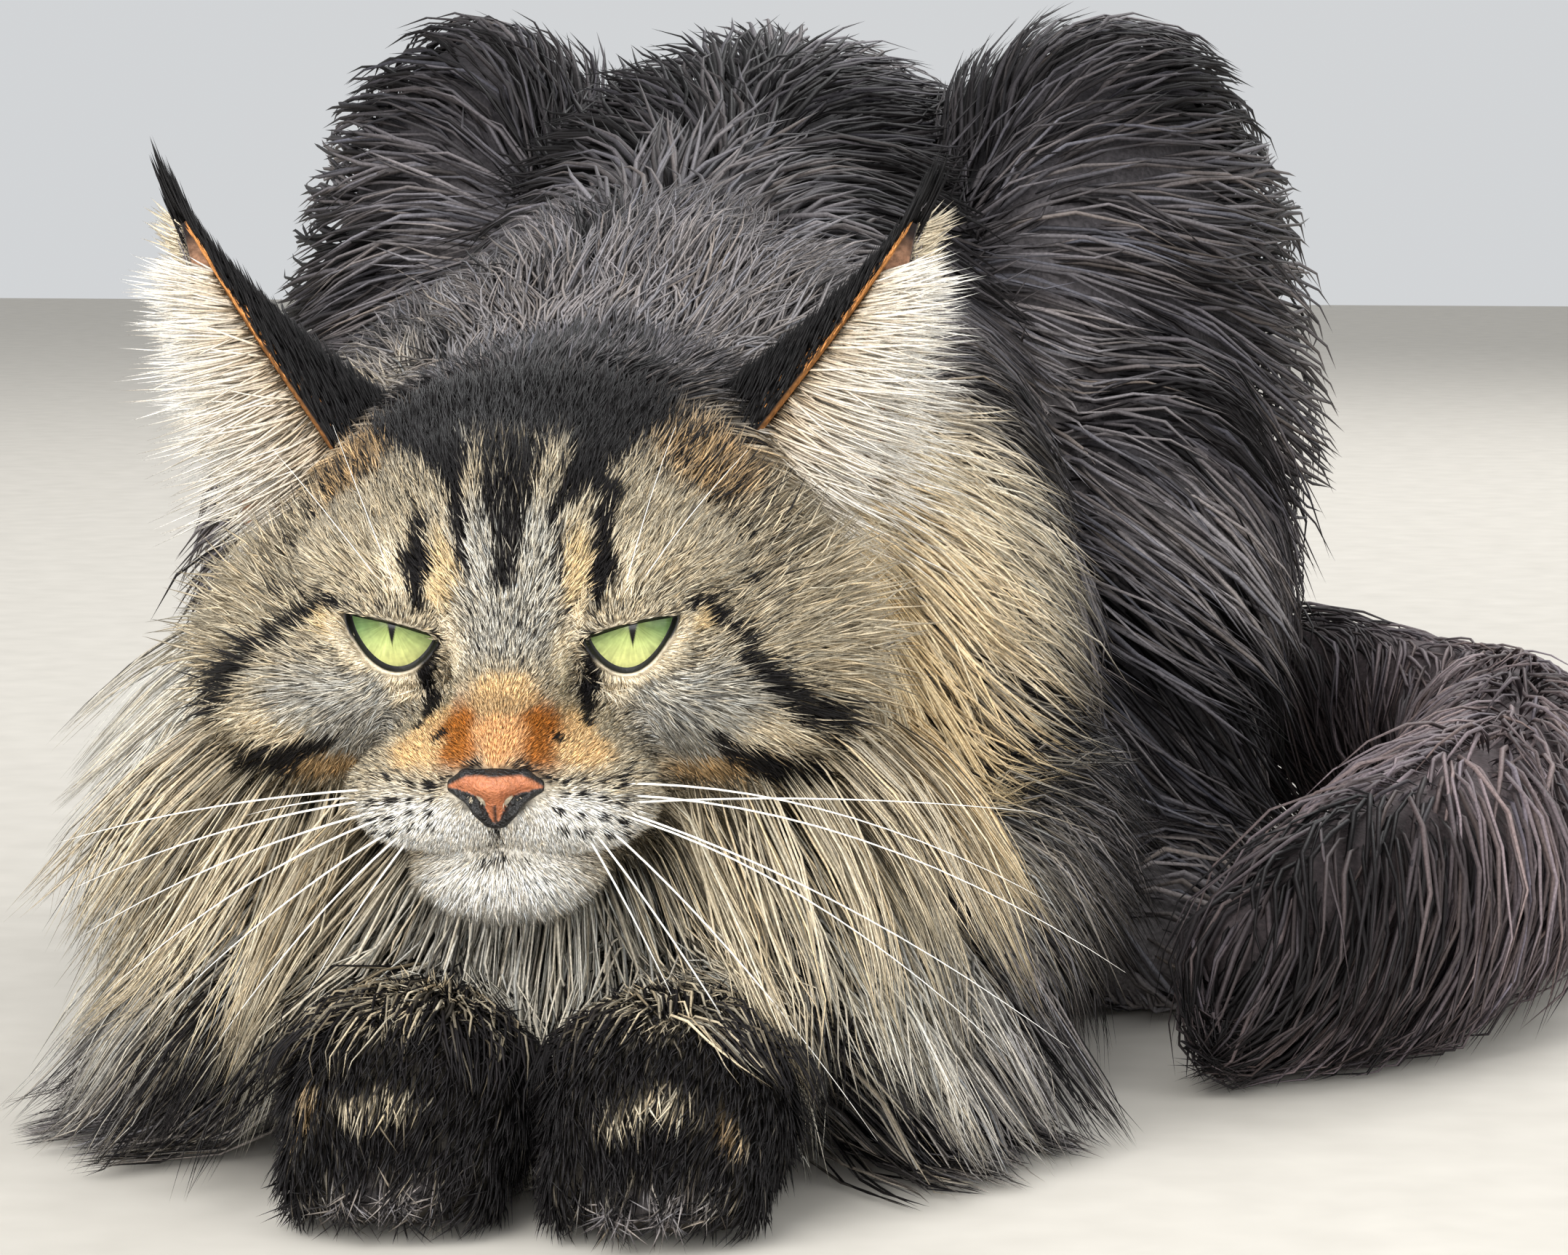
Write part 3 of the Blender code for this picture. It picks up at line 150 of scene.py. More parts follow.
TAIL_ROUTE = [
    (-0.2, 18.2, 7.4), (5.0, 22.0, 5.0), (11.4, 22.2, 4.2), (16.4, 17.0, 3.9), (17.9, 9.0, 3.8),
    (17.6, 1.0, 3.8), (16.2, -6.0, 3.8), (14.3, -10.6, 3.5), (12.4, -13.8, 2.8),
]
TAIL_RADII = [2.0, 1.8, 1.8, 1.8, 1.8, 1.8, 1.7, 1.5, 1.0]
print("masses:", len(TRUNK_BALLS) + len(TRUNK_LIMBS), "of the trunk and", len(HEAD_BALLS), "of the head")

# %% [markdown]
# Two formulas make every mass. An ellipsoid's distance is only true near its surface, which is enough
# here, and a limb's is true everywhere. A row whose name ends in _pair stands for both sides of the cat.

# %% The distance from a mass


def doubled(table):
    """The rows without their names, and before each its side: both in turn where the name ends in _pair."""
    for name, *row in table:
        for side in (1, -1) if name.endswith("_pair") else (1,):
            yield side, *row


def on_side(point, side):
    """The point, or for side -1 its mirror image on the cat's other side."""
    return np.array(point) * (side, 1, 1)


def ball_distance(points, centre, radii, turn):
    """Near the surface, the distance from an ellipsoid: k0 (k0 - 1) / k1, where k0 is the length of
    the point over the radii and k1 is its length over their squares."""
    local = points - centre
    if any(turn):
        x, y, z = (math.radians(a) for a in turn)
        spin = Matrix.Rotation(z, 3, "Z") @ Matrix.Rotation(y, 3, "Y") @ Matrix.Rotation(x, 3, "X")
        local = local @ np.array(spin)
    over = local / radii
    k0 = np.sqrt((over * over).sum(axis=1)) + 1e-9
    k1 = np.sqrt(((over / radii) ** 2).sum(axis=1)) + 1e-9
    return k0 * (k0 - 1.0) / k1


def limb_distance(points, start, end, first, last):
    """The distance from a tapered limb: from its axis, less the radius at the nearest point."""
    start, end = np.array(start), np.array(end)
    axis = end - start
    along = np.clip((points - start) @ axis / (axis @ axis), 0.0, 1.0)
    away = np.linalg.norm(points - start - along[:, None] * axis, axis=1)
    return away - (first + (last - first) * along)


def rise(value, start, width):
    """0 up to the start, 1 from a width beyond it, and a straight line between them."""
    return np.clip((value - start) / width, 0, 1)


def melt(a, b, width):
    """The smaller of two distances, rounded over where they differ by less than width."""
    if width <= 0.0:
        return np.minimum(a, b)
    share = np.clip(0.5 + 0.5 * (b - a) / width, 0.0, 1.0)
    return b + (a - b) * share - width * share * (1.0 - share)


def masses_distance(points, balls, limbs):
    """All rounded masses of a table melted together. A mirrored mass turns the other way about Y and Z."""
    total = None
    for side, centre, radii, turn, blend in doubled(balls):
        spin = np.array(turn) * (1, side, side)
        near = ball_distance(points, on_side(centre, side), radii, spin)
        total = near if total is None else melt(total, near, blend)
    for side, start, end, first, last, blend in doubled(limbs):
        near = limb_distance(points, on_side(start, side), on_side(end, side), first, last)
        total = melt(total, near, blend)
    return total


print("limb from 0 to 9, at 3 across:", limb_distance(np.array([(3.0, 0, 4)]), (0, 0, 0), (0, 0, 9), 1, 2))

# %% [markdown]
# The tail is a chain of limbs along a smooth curve through a few points. The paws are ellipsoids with
# four toes each. The head is worked out in its own frame, which makes its tables the same on each side.

# %% The whole cat
PAW_MELT, TAIL_MELT, HEAD_MELT = 0.8, 1.2, 0.012  # how softly each runs into the trunk, the last in metres
TAIL_STEPS = 28


def smooth_route(route, radii, count):
    """A Catmull-Rom curve through the route's points, with its radius, at count even steps."""
    points = np.array(route, float)
    knots = np.vstack([2 * points[0] - points[1], points, 2 * points[-1] - points[-2]])
    rows = np.column_stack([knots, [radii[0], *radii, radii[-1]]])
    spans = len(points) - 1
    at = np.linspace(0.0, spans, count)
    i = np.minimum(at.astype(int), spans - 1)
    t = (at - i)[:, None]
    a, b, c, d = rows[i], rows[i + 1], rows[i + 2], rows[i + 3]
    curve = 0.5 * (2 * b + (c - a) * t + (2 * a - 5 * b + 4 * c - d) * t**2 + (3 * b - a - 3 * c + d) * t**3)
    return curve[:, :3], curve[:, 3]


def chain_distance(points, route, radii):
    """The distance from a chain of tapered limbs."""
    pairs = zip(route[:-1], route[1:], radii[:-1], radii[1:])
    return np.minimum.reduce([limb_distance(points, *pair) for pair in pairs])


def paws_distance(points):
    """The forepaws with four toes each, and the toes of the hind feet."""
    sides = []
    for side in (1, -1):
        x = PAW_LINE_X + side * PAW_CENTRE[0]
        paw = ball_distance(points, (x, *PAW_CENTRE[1:]), PAW_RADII, (0, 0, 0))
        for toe in range(TOE_COUNT):
            off = 2.0 * toe / (TOE_COUNT - 1) - 1.0
            back = TOE_BACK * off * off
            centre = (x + off * TOE_SPREAD, PAW_CENTRE[1] - TOE_AHEAD + back, TOE_RADII[2] + 0.1)
            paw = melt(paw, ball_distance(points, centre, TOE_RADII, (0, 0, 0)), TOE_BLEND)
            hind = (side * (HIND_TOES_AT[0] + off * TOE_SPREAD), HIND_TOES_AT[1] + back, HIND_TOES_AT[2])
            paw = melt(paw, ball_distance(points, hind, TOE_RADII, (0, 0, 0)), TOE_BLEND)
        sides.append(paw)
    return np.minimum(*sides)


def to_head(points):
    """World metres to the head's own frame, in hundredths of a metre."""
    return (points - np.array(HEAD_PLACE)) @ HEAD_AXES / HEAD_CM


def from_head(points):
    """The head's own frame to world metres."""
    return np.asarray(points, float) * HEAD_CM @ HEAD_AXES.T + np.array(HEAD_PLACE)


def folded(local):
    """Both sides of the head taken as one: every X positive."""
    return np.column_stack([np.abs(local[:, 0]), local[:, 1:]])


def head_distance(local):
    """The distance from the head, in its own frame and units."""
    return masses_distance(local, HEAD_BALLS, HEAD_LIMBS)


def body_distance(points):
    """The whole cat but its ears and eyes: negative inside, in metres."""
    cm = points / BODY_CM
    trunk = masses_distance(cm, TRUNK_BALLS, TRUNK_LIMBS)
    trunk = melt(trunk, paws_distance(cm), PAW_MELT)
    tail = chain_distance(cm, *smooth_route(TAIL_ROUTE, TAIL_RADII, TAIL_STEPS))
    trunk = melt(trunk, tail, TAIL_MELT) * BODY_CM
    return melt(trunk, head_distance(to_head(points)) * HEAD_CM, HEAD_MELT)


print("distance from the cat's surface at its heart:", body_distance(np.zeros((1, 3)) + 0.08).round(3))

# %% [markdown]
# The coat isn't equally deep. It is short on the face and paws and long on the ruff, flanks, haunches
# and tail. A table of soft zones gives its depth, and another gives the way it lies: back and down over
# most of the body, out and down on the ruff, straight down on the breast and along the tail.

# %% The depth and the lie of the coat
COAT_BASE = 0.35
COAT_ZONES = [  # name, centre, reach, depth
    ("bib", (0.3, -20.5, 4.6), (6.0, 4.5, 4.6), 2.4),
    ("ruff_pair", (7.2, -17.8, 7.4), (4.5, 5.0, 6.0), 3.4),
    ("nape", (0.0, -14.0, 15.5), (6.0, 4.0, 3.0), 1.4),
    ("back", (0.0, 2.0, 17.0), (7.0, 14.0, 5.0), 2.0),
    ("flank_pair", (8.0, -4.0, 7.0), (4.0, 9.0, 7.0), 2.4),
    ("haunch_pair", (10.0, 10.0, 13.0), (5.0, 8.0, 9.0), 2.5),
    ("rump", (0.0, 20.0, 11.0), (7.0, 5.0, 8.0), 2.6),
    ("tail_root", (6.0, 22.0, 5.0), (6.0, 5.0, 5.0), 1.6),
    ("tail_side", (18.0, 8.0, 3.8), (4.5, 9.0, 6.0), 2.0),
    ("tail_end", (16.0, -5.0, 3.8), (5.0, 8.0, 6.0), 2.3),
]
LIE_BASE, LIE_BASE_SHARE = (0.0, 1.0, -0.45), 0.25
TAIL_LIE, TAIL_DOWN = 0.8, (0.0, 0.0, -0.7)  # on the tail: toward its tip, and down
TAIL_REACH = 2.0
LIE_ZONES = [  # name, centre, reach, direction
    ("nape", (0.0, -15.5, 15.0), (5.0, 3.5, 3.0), (0.0, 0.9, 0.55)),
    ("ruff_pair", (6.5, -18.0, 9.0), (4.0, 5.0, 5.0), (1.0, 0.35, -0.4)),
    ("breast_pair", (5.0, -19.5, 4.0), (3.5, 3.5, 4.0), (0.5, -0.1, -1.0)),
    ("bib", (0.6, -21.5, 4.5), (3.0, 3.5, 4.0), (0.0, -0.6, -1.0)),
    ("haunch_pair", (8.5, 10.0, 19.0), (4.5, 7.0, 4.0), (0.8, 0.6, 0.35)),
    ("flank_pair", (8.5, -8.0, 7.0), (3.5, 5.0, 5.0), (0.2, 0.7, -0.8)),
    ("knee_pair", (9.5, -1.0, 8.0), (4.0, 4.5, 8.0), (1.4, 0.2, -1.3)),
    ("rump", (0.0, 19.0, 10.0), (7.0, 4.0, 7.0), (0.0, 0.5, -1.0)),
]


def bell(cm, centre, reach, side=1):
    """A share that is 1 at the centre and falls off as a bell, to about 0.5 at the reach."""
    off = (cm - on_side(centre, side)) / reach
    return np.exp(-0.7 * (off * off).sum(axis=1))


def coat_depth(points):
    """How far the coat's tips stand off the body at each point, in hundredths of a metre."""
    cm = points / BODY_CM
    rows = [depth * bell(cm, centre, reach, side) for side, centre, reach, depth in doubled(COAT_ZONES)]
    return COAT_BASE + np.maximum.reduce(rows)


def on_tail(cm):
    """True where a point belongs to the tail, and the way to the tail's tip there."""
    route, _ = smooth_route(TAIL_ROUTE, TAIL_RADII, 60)
    away = np.linalg.norm(cm[:, None] - route[None], axis=2)
    near = away.argmin(axis=1)
    ahead = np.gradient(route, axis=0)[near]
    ahead /= np.linalg.norm(ahead, axis=1, keepdims=True)
    trunk = masses_distance(cm, TRUNK_BALLS, TRUNK_LIMBS)
    return away.min(axis=1) - TAIL_REACH < trunk, ahead


def unit(vectors):
    """The vectors with a length of 1."""
    return vectors / (np.linalg.norm(vectors, axis=-1, keepdims=True) + 1e-9)


def lie_of_coat(points):
    """The way the hair lies at each point, of unit length, before it is laid on the surface."""
    cm = points / BODY_CM
    total = np.tile(LIE_BASE, (len(cm), 1)) * LIE_BASE_SHARE
    for side, centre, reach, way in doubled(LIE_ZONES):
        total += bell(cm, centre, reach, side)[:, None] * on_side(way, side)
    tail, ahead = on_tail(cm)
    total[tail] = TAIL_LIE * ahead[tail] + TAIL_DOWN
    return unit(total)


print("coat zones:", len(COAT_ZONES), "and lie zones:", len(LIE_ZONES))

# %% [markdown]
# A distance formula becomes a mesh by a surface net: the formula is worked out on a grid, each cell that
# the surface crosses gets one vertex, and each crossed grid edge gets one face. The grid's steps are
# fine round the head and coarse elsewhere, so the skin stays one closed mesh without wasting faces.

# %% Surface nets on a graded grid
NET_SKIP = 4  # grid lines to each step of the rough pass
NET_BAND = 1.8  # how many rough steps from the surface the field is worked out in full
NET_BATCH = 150000


def graded_axis(low, fine_from, fine_to, high, coarse, fine):
    """Grid lines from low to high, a fine step apart between two places and a coarse step elsewhere."""
    before = np.arange(low, fine_from, coarse)
    middle = np.arange(fine_from, fine_to, fine)
    return np.concatenate([before, middle, np.arange(fine_to, high + coarse, coarse)])


def near_values(field, axes):
    """The field on the grid, worked out in full only near its surface."""
    shape = tuple(len(a) for a in axes)
    rough_axes = [np.append(a[::NET_SKIP], a[-1]) for a in axes]
    rough = np.stack(np.meshgrid(*rough_axes, indexing="ij"), axis=-1)
    rough_value = field(rough.reshape(-1, 3)).reshape(rough.shape[:3])
    pick = [np.rint(np.arange(n) / NET_SKIP).astype(int) for n in shape]
    value = rough_value[np.ix_(*pick)]
    widest = max(np.diff(a).max() for a in axes)
    close = np.argwhere(np.abs(value) < widest * NET_SKIP * NET_BAND)
    points = np.column_stack([axes[k][close[:, k]] for k in range(3)])
    parts = np.array_split(points, max(1, len(points) // NET_BATCH))
    value[tuple(close.T)] = np.concatenate([field(part) for part in parts])
    return value


def gradient(field, points, step):
    """The way that the field grows at each point, of unit length."""
    sides = [np.eye(3)[k] * step for k in range(3)]
    return unit(np.column_stack([field(points + s) - field(points - s) for s in sides]))


def corner_values(value, offset):
    """The grid's value at one corner of every cell."""
    return value[tuple(slice(o, o + n - 1) for o, n in zip(offset, value.shape))]


def net_vertices(value):
    """For each cell that the surface crosses, the mean of the crossings on its edges, counted in
    cells, and the number of every cell's vertex."""
    total = np.zeros([n - 1 for n in value.shape] + [3])
    count = np.zeros([n - 1 for n in value.shape])
    for axis in range(3):
        for u, v in ((0, 0), (0, 1), (1, 0), (1, 1)):
            first = [u, v]
            first.insert(axis, 0)
            second = [u, v]
            second.insert(axis, 1)
            a, b = corner_values(value, first), corner_values(value, second)
            cross = (a < 0.0) != (b < 0.0)
            share = np.where(cross, a / np.where(cross, a - b, 1.0), 0.0)
            for k in range(3):
                total[..., k] += np.where(cross, share if k == axis else first[k], 0.0)
            count += cross
    cells = count > 0
    number = np.full(cells.shape, -1)
    number[cells] = np.arange(cells.sum())
    return np.argwhere(cells) + total[cells] / count[cells][:, None], number


def net_quads(value, number):
    """One quad round each crossed grid edge, turned to face out."""
    shape, inside = value.shape, value < 0.0
    quads = []
    for axis in range(3):
        low_side = [slice(1, n - 1) for n in shape]
        low_side[axis] = slice(0, shape[axis] - 1)
        high_side = list(low_side)
        high_side[axis] = slice(1, shape[axis])
        here, there = inside[tuple(low_side)], inside[tuple(high_side)]
        for turned in (False, True):
            at = np.argwhere(~here & there if turned else here & ~there)
            others = [k for k in range(3) if k != axis]
            at[:, others] += 1
            ring = []
            for du, dv in ((1, 1), (0, 1), (0, 0), (1, 0)):
                cell = at.copy()
                cell[:, (axis + 1) % 3] -= du
                cell[:, (axis + 2) % 3] -= dv
                ring.append(number[tuple(cell.T)])
            quad = np.column_stack(ring)
            quads.append(quad[:, ::-1] if turned else quad)
    return np.vstack(quads)


def surface_net(field, axes, rounds=2):
    """The closed quad mesh of a field's zero surface, its vertices then stepped onto the surface by
    the field's own value along its slope."""
    value = near_values(field, axes)
    place, number = net_vertices(value)
    quads = net_quads(value, number)
    points = np.column_stack([np.interp(place[:, k], np.arange(len(axes[k])), axes[k]) for k in range(3)])
    fine = min(np.diff(a).min() for a in axes)
    for _ in range(rounds):
        slope = gradient(field, points, fine * 0.2)
        points = points - np.clip(field(points), -fine, fine)[:, None] * slope * 0.9
    return points, quads


def new_object(name, points, faces, smooth=True):
    """An object at the origin from an array of corners and an array or list of faces."""
    mesh = bpy.data.meshes.new(name)
    if isinstance(faces, np.ndarray):
        faces = faces.astype(int).tolist()
    mesh.from_pydata(np.asarray(points, float).tolist(), [], faces)
    if smooth:
        mesh.shade_smooth()
    mesh.update()
    return placed(name, mesh)


print("a graded axis:", graded_axis(0.0, 1.0, 2.0, 3.0, 0.5, 0.25))

# %% [markdown]
# The skin is the surface at the root of the hairs. It is one closed mesh in place of all the solids of
# flesh, so no seam shows. Two pits are carved for the eyes by taking the larger of two distances, where
# a piece with finer faces, the lids, covers the edge of each pit later.

# %% The skin
SKIN_COARSE, SKIN_FINE = 0.0045, 0.0017
SKIN_AXES = [(-0.15, -0.070, 0.076, 0.24), (-0.34, -0.315, -0.185, 0.29), (-0.015, 0.030, 0.160, 0.27)]
EYE_AT = (2.1, 1.03, 0.0)  # middle of the eyeball
EYE_RADIUS = 1.08
FISSURE_INNER = (1.37, -0.04)  # corners of the opening between the lids, as (x, z)
FISSURE_OUTER = (2.88, 0.33)
FISSURE_RISE, FISSURE_DROP = 0.08, 0.72
PIT_GROWS, PIT_BACK = 0.10, 0.75
PIT_MELT = 0.0004
PITS_WITHIN = 5.0  # of the head's origin
SKIN_LOWEST = 0.0015
LOWER_EDGE_POWER = 0.75  # below 1 makes the lower lid's arch fuller


def opening(t):
    """Once round the opening as t runs from 0 to 1: from the inner corner along the round lower edge
    to the outer corner, and back along the upper edge, which is nearly straight."""
    lower = t < 0.5
    s = np.where(lower, 2.0 * t, 2.0 - 2.0 * t)
    arch = np.sin(math.pi * np.clip(s, 0, 1))
    drop = np.where(lower, -FISSURE_DROP * arch**LOWER_EDGE_POWER, FISSURE_RISE * arch)
    edge = FISSURE_INNER + (np.array(FISSURE_OUTER) - FISSURE_INNER) * s[:, None]
    edge[:, 1] += drop
    return edge


def pit_distance(local):
    """The distance from a block behind each opening: between its edges in X and Z, grown by a little,
    and from in front of the face back to the middle of the eyeball."""
    x, y, z = folded(local).T
    chord = np.array(FISSURE_OUTER) - FISSURE_INNER
    s = rise(x, FISSURE_INNER[0], chord[0])
    arch = np.sin(math.pi * s)
    middle = FISSURE_INNER[1] + chord[1] * s
    top = middle + FISSURE_RISE * arch + PIT_GROWS
    bottom = middle - FISSURE_DROP * arch**LOWER_EDGE_POWER - PIT_GROWS
    ends = np.maximum(FISSURE_INNER[0] - PIT_GROWS - x, x - FISSURE_OUTER[0] - PIT_GROWS)
    return np.maximum.reduce([z - top, bottom - z, ends, y - PIT_BACK])


def skin_distance(points):
    """The body with a pit for each eye."""
    body = body_distance(points)
    local = to_head(points)
    near = np.abs(local).max(axis=1) < PITS_WITHIN
    body[near] = -melt(-body[near], pit_distance(local[near]) * HEAD_CM, PIT_MELT)
    return body


def make_skin():
    """The surface net of the skin on a grid that is fine round the head, kept just off the floor."""
    axes = [graded_axis(*row, SKIN_COARSE, SKIN_FINE) for row in SKIN_AXES]
    points, quads = surface_net(skin_distance, axes)
    points[:, 2] = np.maximum(points[:, 2], SKIN_LOWEST)
    return new_object("skin", points, quads)


skin = make_skin()
print("skin faces:", len(skin.data.polygons))

# %% [markdown]
# Every hair later needs the place of its root on a flat map of the skin. Smart UV Project cuts the skin
# into charts by the way its faces point, which is an unwrap of the skin's own shape.

# %% The map of the skin
BAKE_MAP = "OFBake"
CHART_ANGLE, CHART_MARGIN = math.radians(66.0), 0.001


def unwrap(piece):
    """Smart UV Project of the whole piece into the bake map."""
    piece.data.uv_layers.new(name=BAKE_MAP)
    bpy.context.view_layer.objects.active = piece
    piece.select_set(True)
    bpy.ops.object.mode_set(mode="EDIT")
    bpy.ops.mesh.select_all(action="SELECT")
    bpy.ops.uv.smart_project(angle_limit=CHART_ANGLE, island_margin=CHART_MARGIN)
    bpy.ops.object.mode_set(mode="OBJECT")
    piece.select_set(False)


Surface = namedtuple("Surface", "points normals faces uv middles areas")


def read_back(items, what, width, kind=float):
    """One property of many items of a mesh, as rows of this width."""
    values = np.empty(len(items) * width, kind)
    items.foreach_get(what, values)
    return values.reshape(-1, width)


def corners_and_triangles(piece):
    """The places of a piece's corners, and its triangles as rows of three corners."""
    piece.data.calc_loop_triangles()
    points = read_back(piece.data.vertices, "co", 3)
    return points, read_back(piece.data.loop_triangles, "vertices", 3, int)


def mesh_arrays(piece):
    """A piece as arrays: places and normals of its corners, its triangles, and for each triangle the
    places of its corners on the map, its middle and its area."""
    points, faces = corners_and_triangles(piece)
    normals = read_back(piece.data.vertex_normals, "vector", 3)
    loops = read_back(piece.data.loop_triangles, "loops", 3, int)
    uv = read_back(piece.data.uv_layers[BAKE_MAP].data, "uv", 2)[loops]
    a, b, c = (points[faces[:, k]] for k in range(3))
    areas = 0.5 * np.linalg.norm(np.cross(b - a, c - a), axis=1)
    return Surface(points, normals, faces, uv, (a + b + c) / 3, areas)


def triangle_normals(surface):
    """The mean of the normals at each triangle's corners."""
    return unit(surface.normals[surface.faces].mean(axis=1))


unwrap(skin)
SKIN = mesh_arrays(skin)
print("skin triangles:", len(SKIN.faces))

# %% [markdown]
# A tabby's markings are made hair by hair: in a pale patch few hairs are black, in a stripe nearly all
# are, and in the ticked coat between them about a third. So the markings give two things at each
# point, the colour of its pale hairs and the share of dark ones. Both come from tables of soft patches
# and of stripes drawn as tapered strokes, roughened by smooth noise.

# %% Colours and noise


def linear(red, green, blue):
    """Display values from 0 to 255 as the linear values that a shader takes."""
    value = np.array((red, green, blue)) / 255.0
    return np.where(value <= 0.04045, value / 12.92, ((value + 0.055) / 1.055) ** 2.4)


BLACK = linear(17, 14, 15)
SOOT = linear(44, 37, 37)
SLATE = linear(110, 105, 112)
GREY = linear(186, 181, 170)
ASH = linear(205, 199, 185)
FAWN = linear(206, 191, 163)
TAN = linear(200, 166, 120)
GOLD = linear(230, 204, 158)
HONEY = linear(238, 200, 146)
RUST = linear(180, 108, 34)
PEACH = linear(234, 178, 122)
CREAM = linear(246, 230, 200)
WHITE = linear(252, 249, 242)
SMOKE = linear(134, 128, 128)


def tinted(colour, other, share):
    """Colours drawn toward another by a share for each row."""
    return colour + (other - colour) * share[:, None]


def lattice_noise(points, size, seed):
    """A random number on each corner of a lattice of cubes, blended smoothly between the corners."""
    at = points / size
    base = np.floor(at).astype(np.int64)
    part = at - base
    part = part * part * (3.0 - 2.0 * part)
    total = np.zeros(len(points))
    for corner in np.ndindex(2, 2, 2):
        i, j, k = (base + corner).T
        mixed = (i * 73856093) ^ (j * 19349663) ^ (k * 83492791) ^ (seed * 2654435761)
        mixed = (mixed ^ (mixed >> 13)) * 1274126177
        value = ((mixed ^ (mixed >> 16)) & 0xFFFFF) / 0xFFFFF
        weight = np.prod(np.where(corner, part, 1.0 - part), axis=1)
        total += value * weight
    return total


def soft_mask(points, centre, reach):
    """A patch that is 1 inside an ellipsoid and fades quickly across its edge."""
    off = (((points - centre) / reach) ** 2).sum(axis=1)
    return 1.0 / (1.0 + off**4)


def stroke_mask(points, route, widths, edge):
    """A stripe that is 1 within a chain of tapered limbs and fades over a soft edge."""
    return np.clip(0.5 - chain_distance(points, route, widths) / edge, 0.0, 1.0)


print("noise from", lattice_noise(np.random.default_rng(1).uniform(-9, 9, (999, 3)), 1.0, 3).min().round(3))

# %% [markdown]
# The face is painted in three layers: soft patches of pale colour, thin pale lines round the eyes, and
# the black stripes and whisker spots over them. The two sides of a real face differ a little, so each
# stripe has a route of its own. All routes are laid on the head, to mark its surface and not the air.

# %% The markings of the head
HEAD_PATCHES = [  # name, centre, reach, pale colour, share of dark hairs
    ("crown", (0.0, 4.6, 3.1), (3.4, 3.0, 1.3), SOOT, 0.98),
    ("temple_pair", (4.3, 2.6, 1.3), (1.7, 1.9, 1.4), FAWN, 0.3),
    ("ear_foot_pair", (3.5, 3.4, 2.7), (1.2, 1.3, 0.75), TAN, 0.45),
    ("brow_pair", (2.9, 0.9, 1.5), (1.1, 1.1, 0.8), FAWN, 0.2),
    ("forehead", (0.0, 0.0, 1.4), (1.3, 0.9, 1.2), ASH, 0.27),
    ("bar_side_pair", (2.12, 0.1, 1.3), (0.15, 0.5, 0.55), CREAM, 0.05),
    ("over_eye_pair", (1.95, -0.25, 0.8), (0.4, 0.4, 0.15), CREAM, 0.12),
    ("bar_gap_pair", (1.2, -0.1, 1.25), (0.24, 0.5, 0.8), GOLD, 0.2),
    ("lid_pair", (2.4, -0.1, 0.62), (1.0, 0.5, 0.2), FAWN, 0.3),
    ("cheek_pair", (3.3, 0.6, -1.4), (1.4, 1.5, 1.0), GREY, 0.23),
    ("under_eye_pair", (2.5, 0.0, -0.95), (1.0, 0.6, 0.22), ASH, 0.2),
    ("side_pair", (5.3, 3.6, -0.6), (1.0, 2.2, 1.6), FAWN, 0.14),
    ("bridge_top", (0.0, -0.7, 0.35), (0.85, 0.8, 0.75), ASH, 0.3),
    ("bridge", (0.05, -1.9, -0.62), (0.6, 0.7, 0.36), HONEY, 0.1),
    ("bridge_side_pair", (1.1, -1.5, -1.45), (0.42, 0.9, 0.5), HONEY, 0.08),
    ("rust_pair", (0.84, -2.3, -1.08), (0.5, 0.95, 0.58), RUST, 0.1),
    ("rust_middle", (0.05, -2.6, -1.15), (0.4, 0.7, 0.6), PEACH, 0.02),
    ("rust_top", (0.02, -2.0, -0.92), (0.7, 0.6, 0.14), TAN, 0.08),
    ("muzzle_pair", (1.3, -2.3, -2.6), (1.35, 1.3, 0.75), WHITE, 0.03),
    ("muzzle_top_pair", (1.4, -1.9, -1.8), (0.5, 0.6, 0.32), HONEY, 0.06),
    ("chin", (0.0, -1.9, -4.0), (1.7, 1.5, 0.85), WHITE, 0.01),
    ("inner_eye_pair", (1.06, -0.6, -0.14), (0.15, 0.5, 0.4), CREAM, 0.02),
    ("outer_eye_pair", (3.25, 0.55, 0.15), (0.28, 0.5, 0.22), GOLD, 0.06),
    ("cheek_spot_pair", (4.65, 1.2, -2.0), (0.7, 1.4, 0.4), CREAM, 0.02),
    ("cheek_light_pair", (3.95, 0.3, -1.6), (0.35, 0.5, 0.28), ASH, 0.12),
    ("lower_cheek_pair", (3.6, 1.2, -2.95), (1.2, 1.3, 0.3), TAN, 0.12),
    ("crown_spot_pair", (1.15, 2.0, 2.95), (0.28, 0.55, 0.4), ASH, 0.2),
]
STRIPE_SHARE, CENTRE_SHARE, SPOT_SHARE = 0.985, 0.85, 0.97  # of dark hairs in a stripe
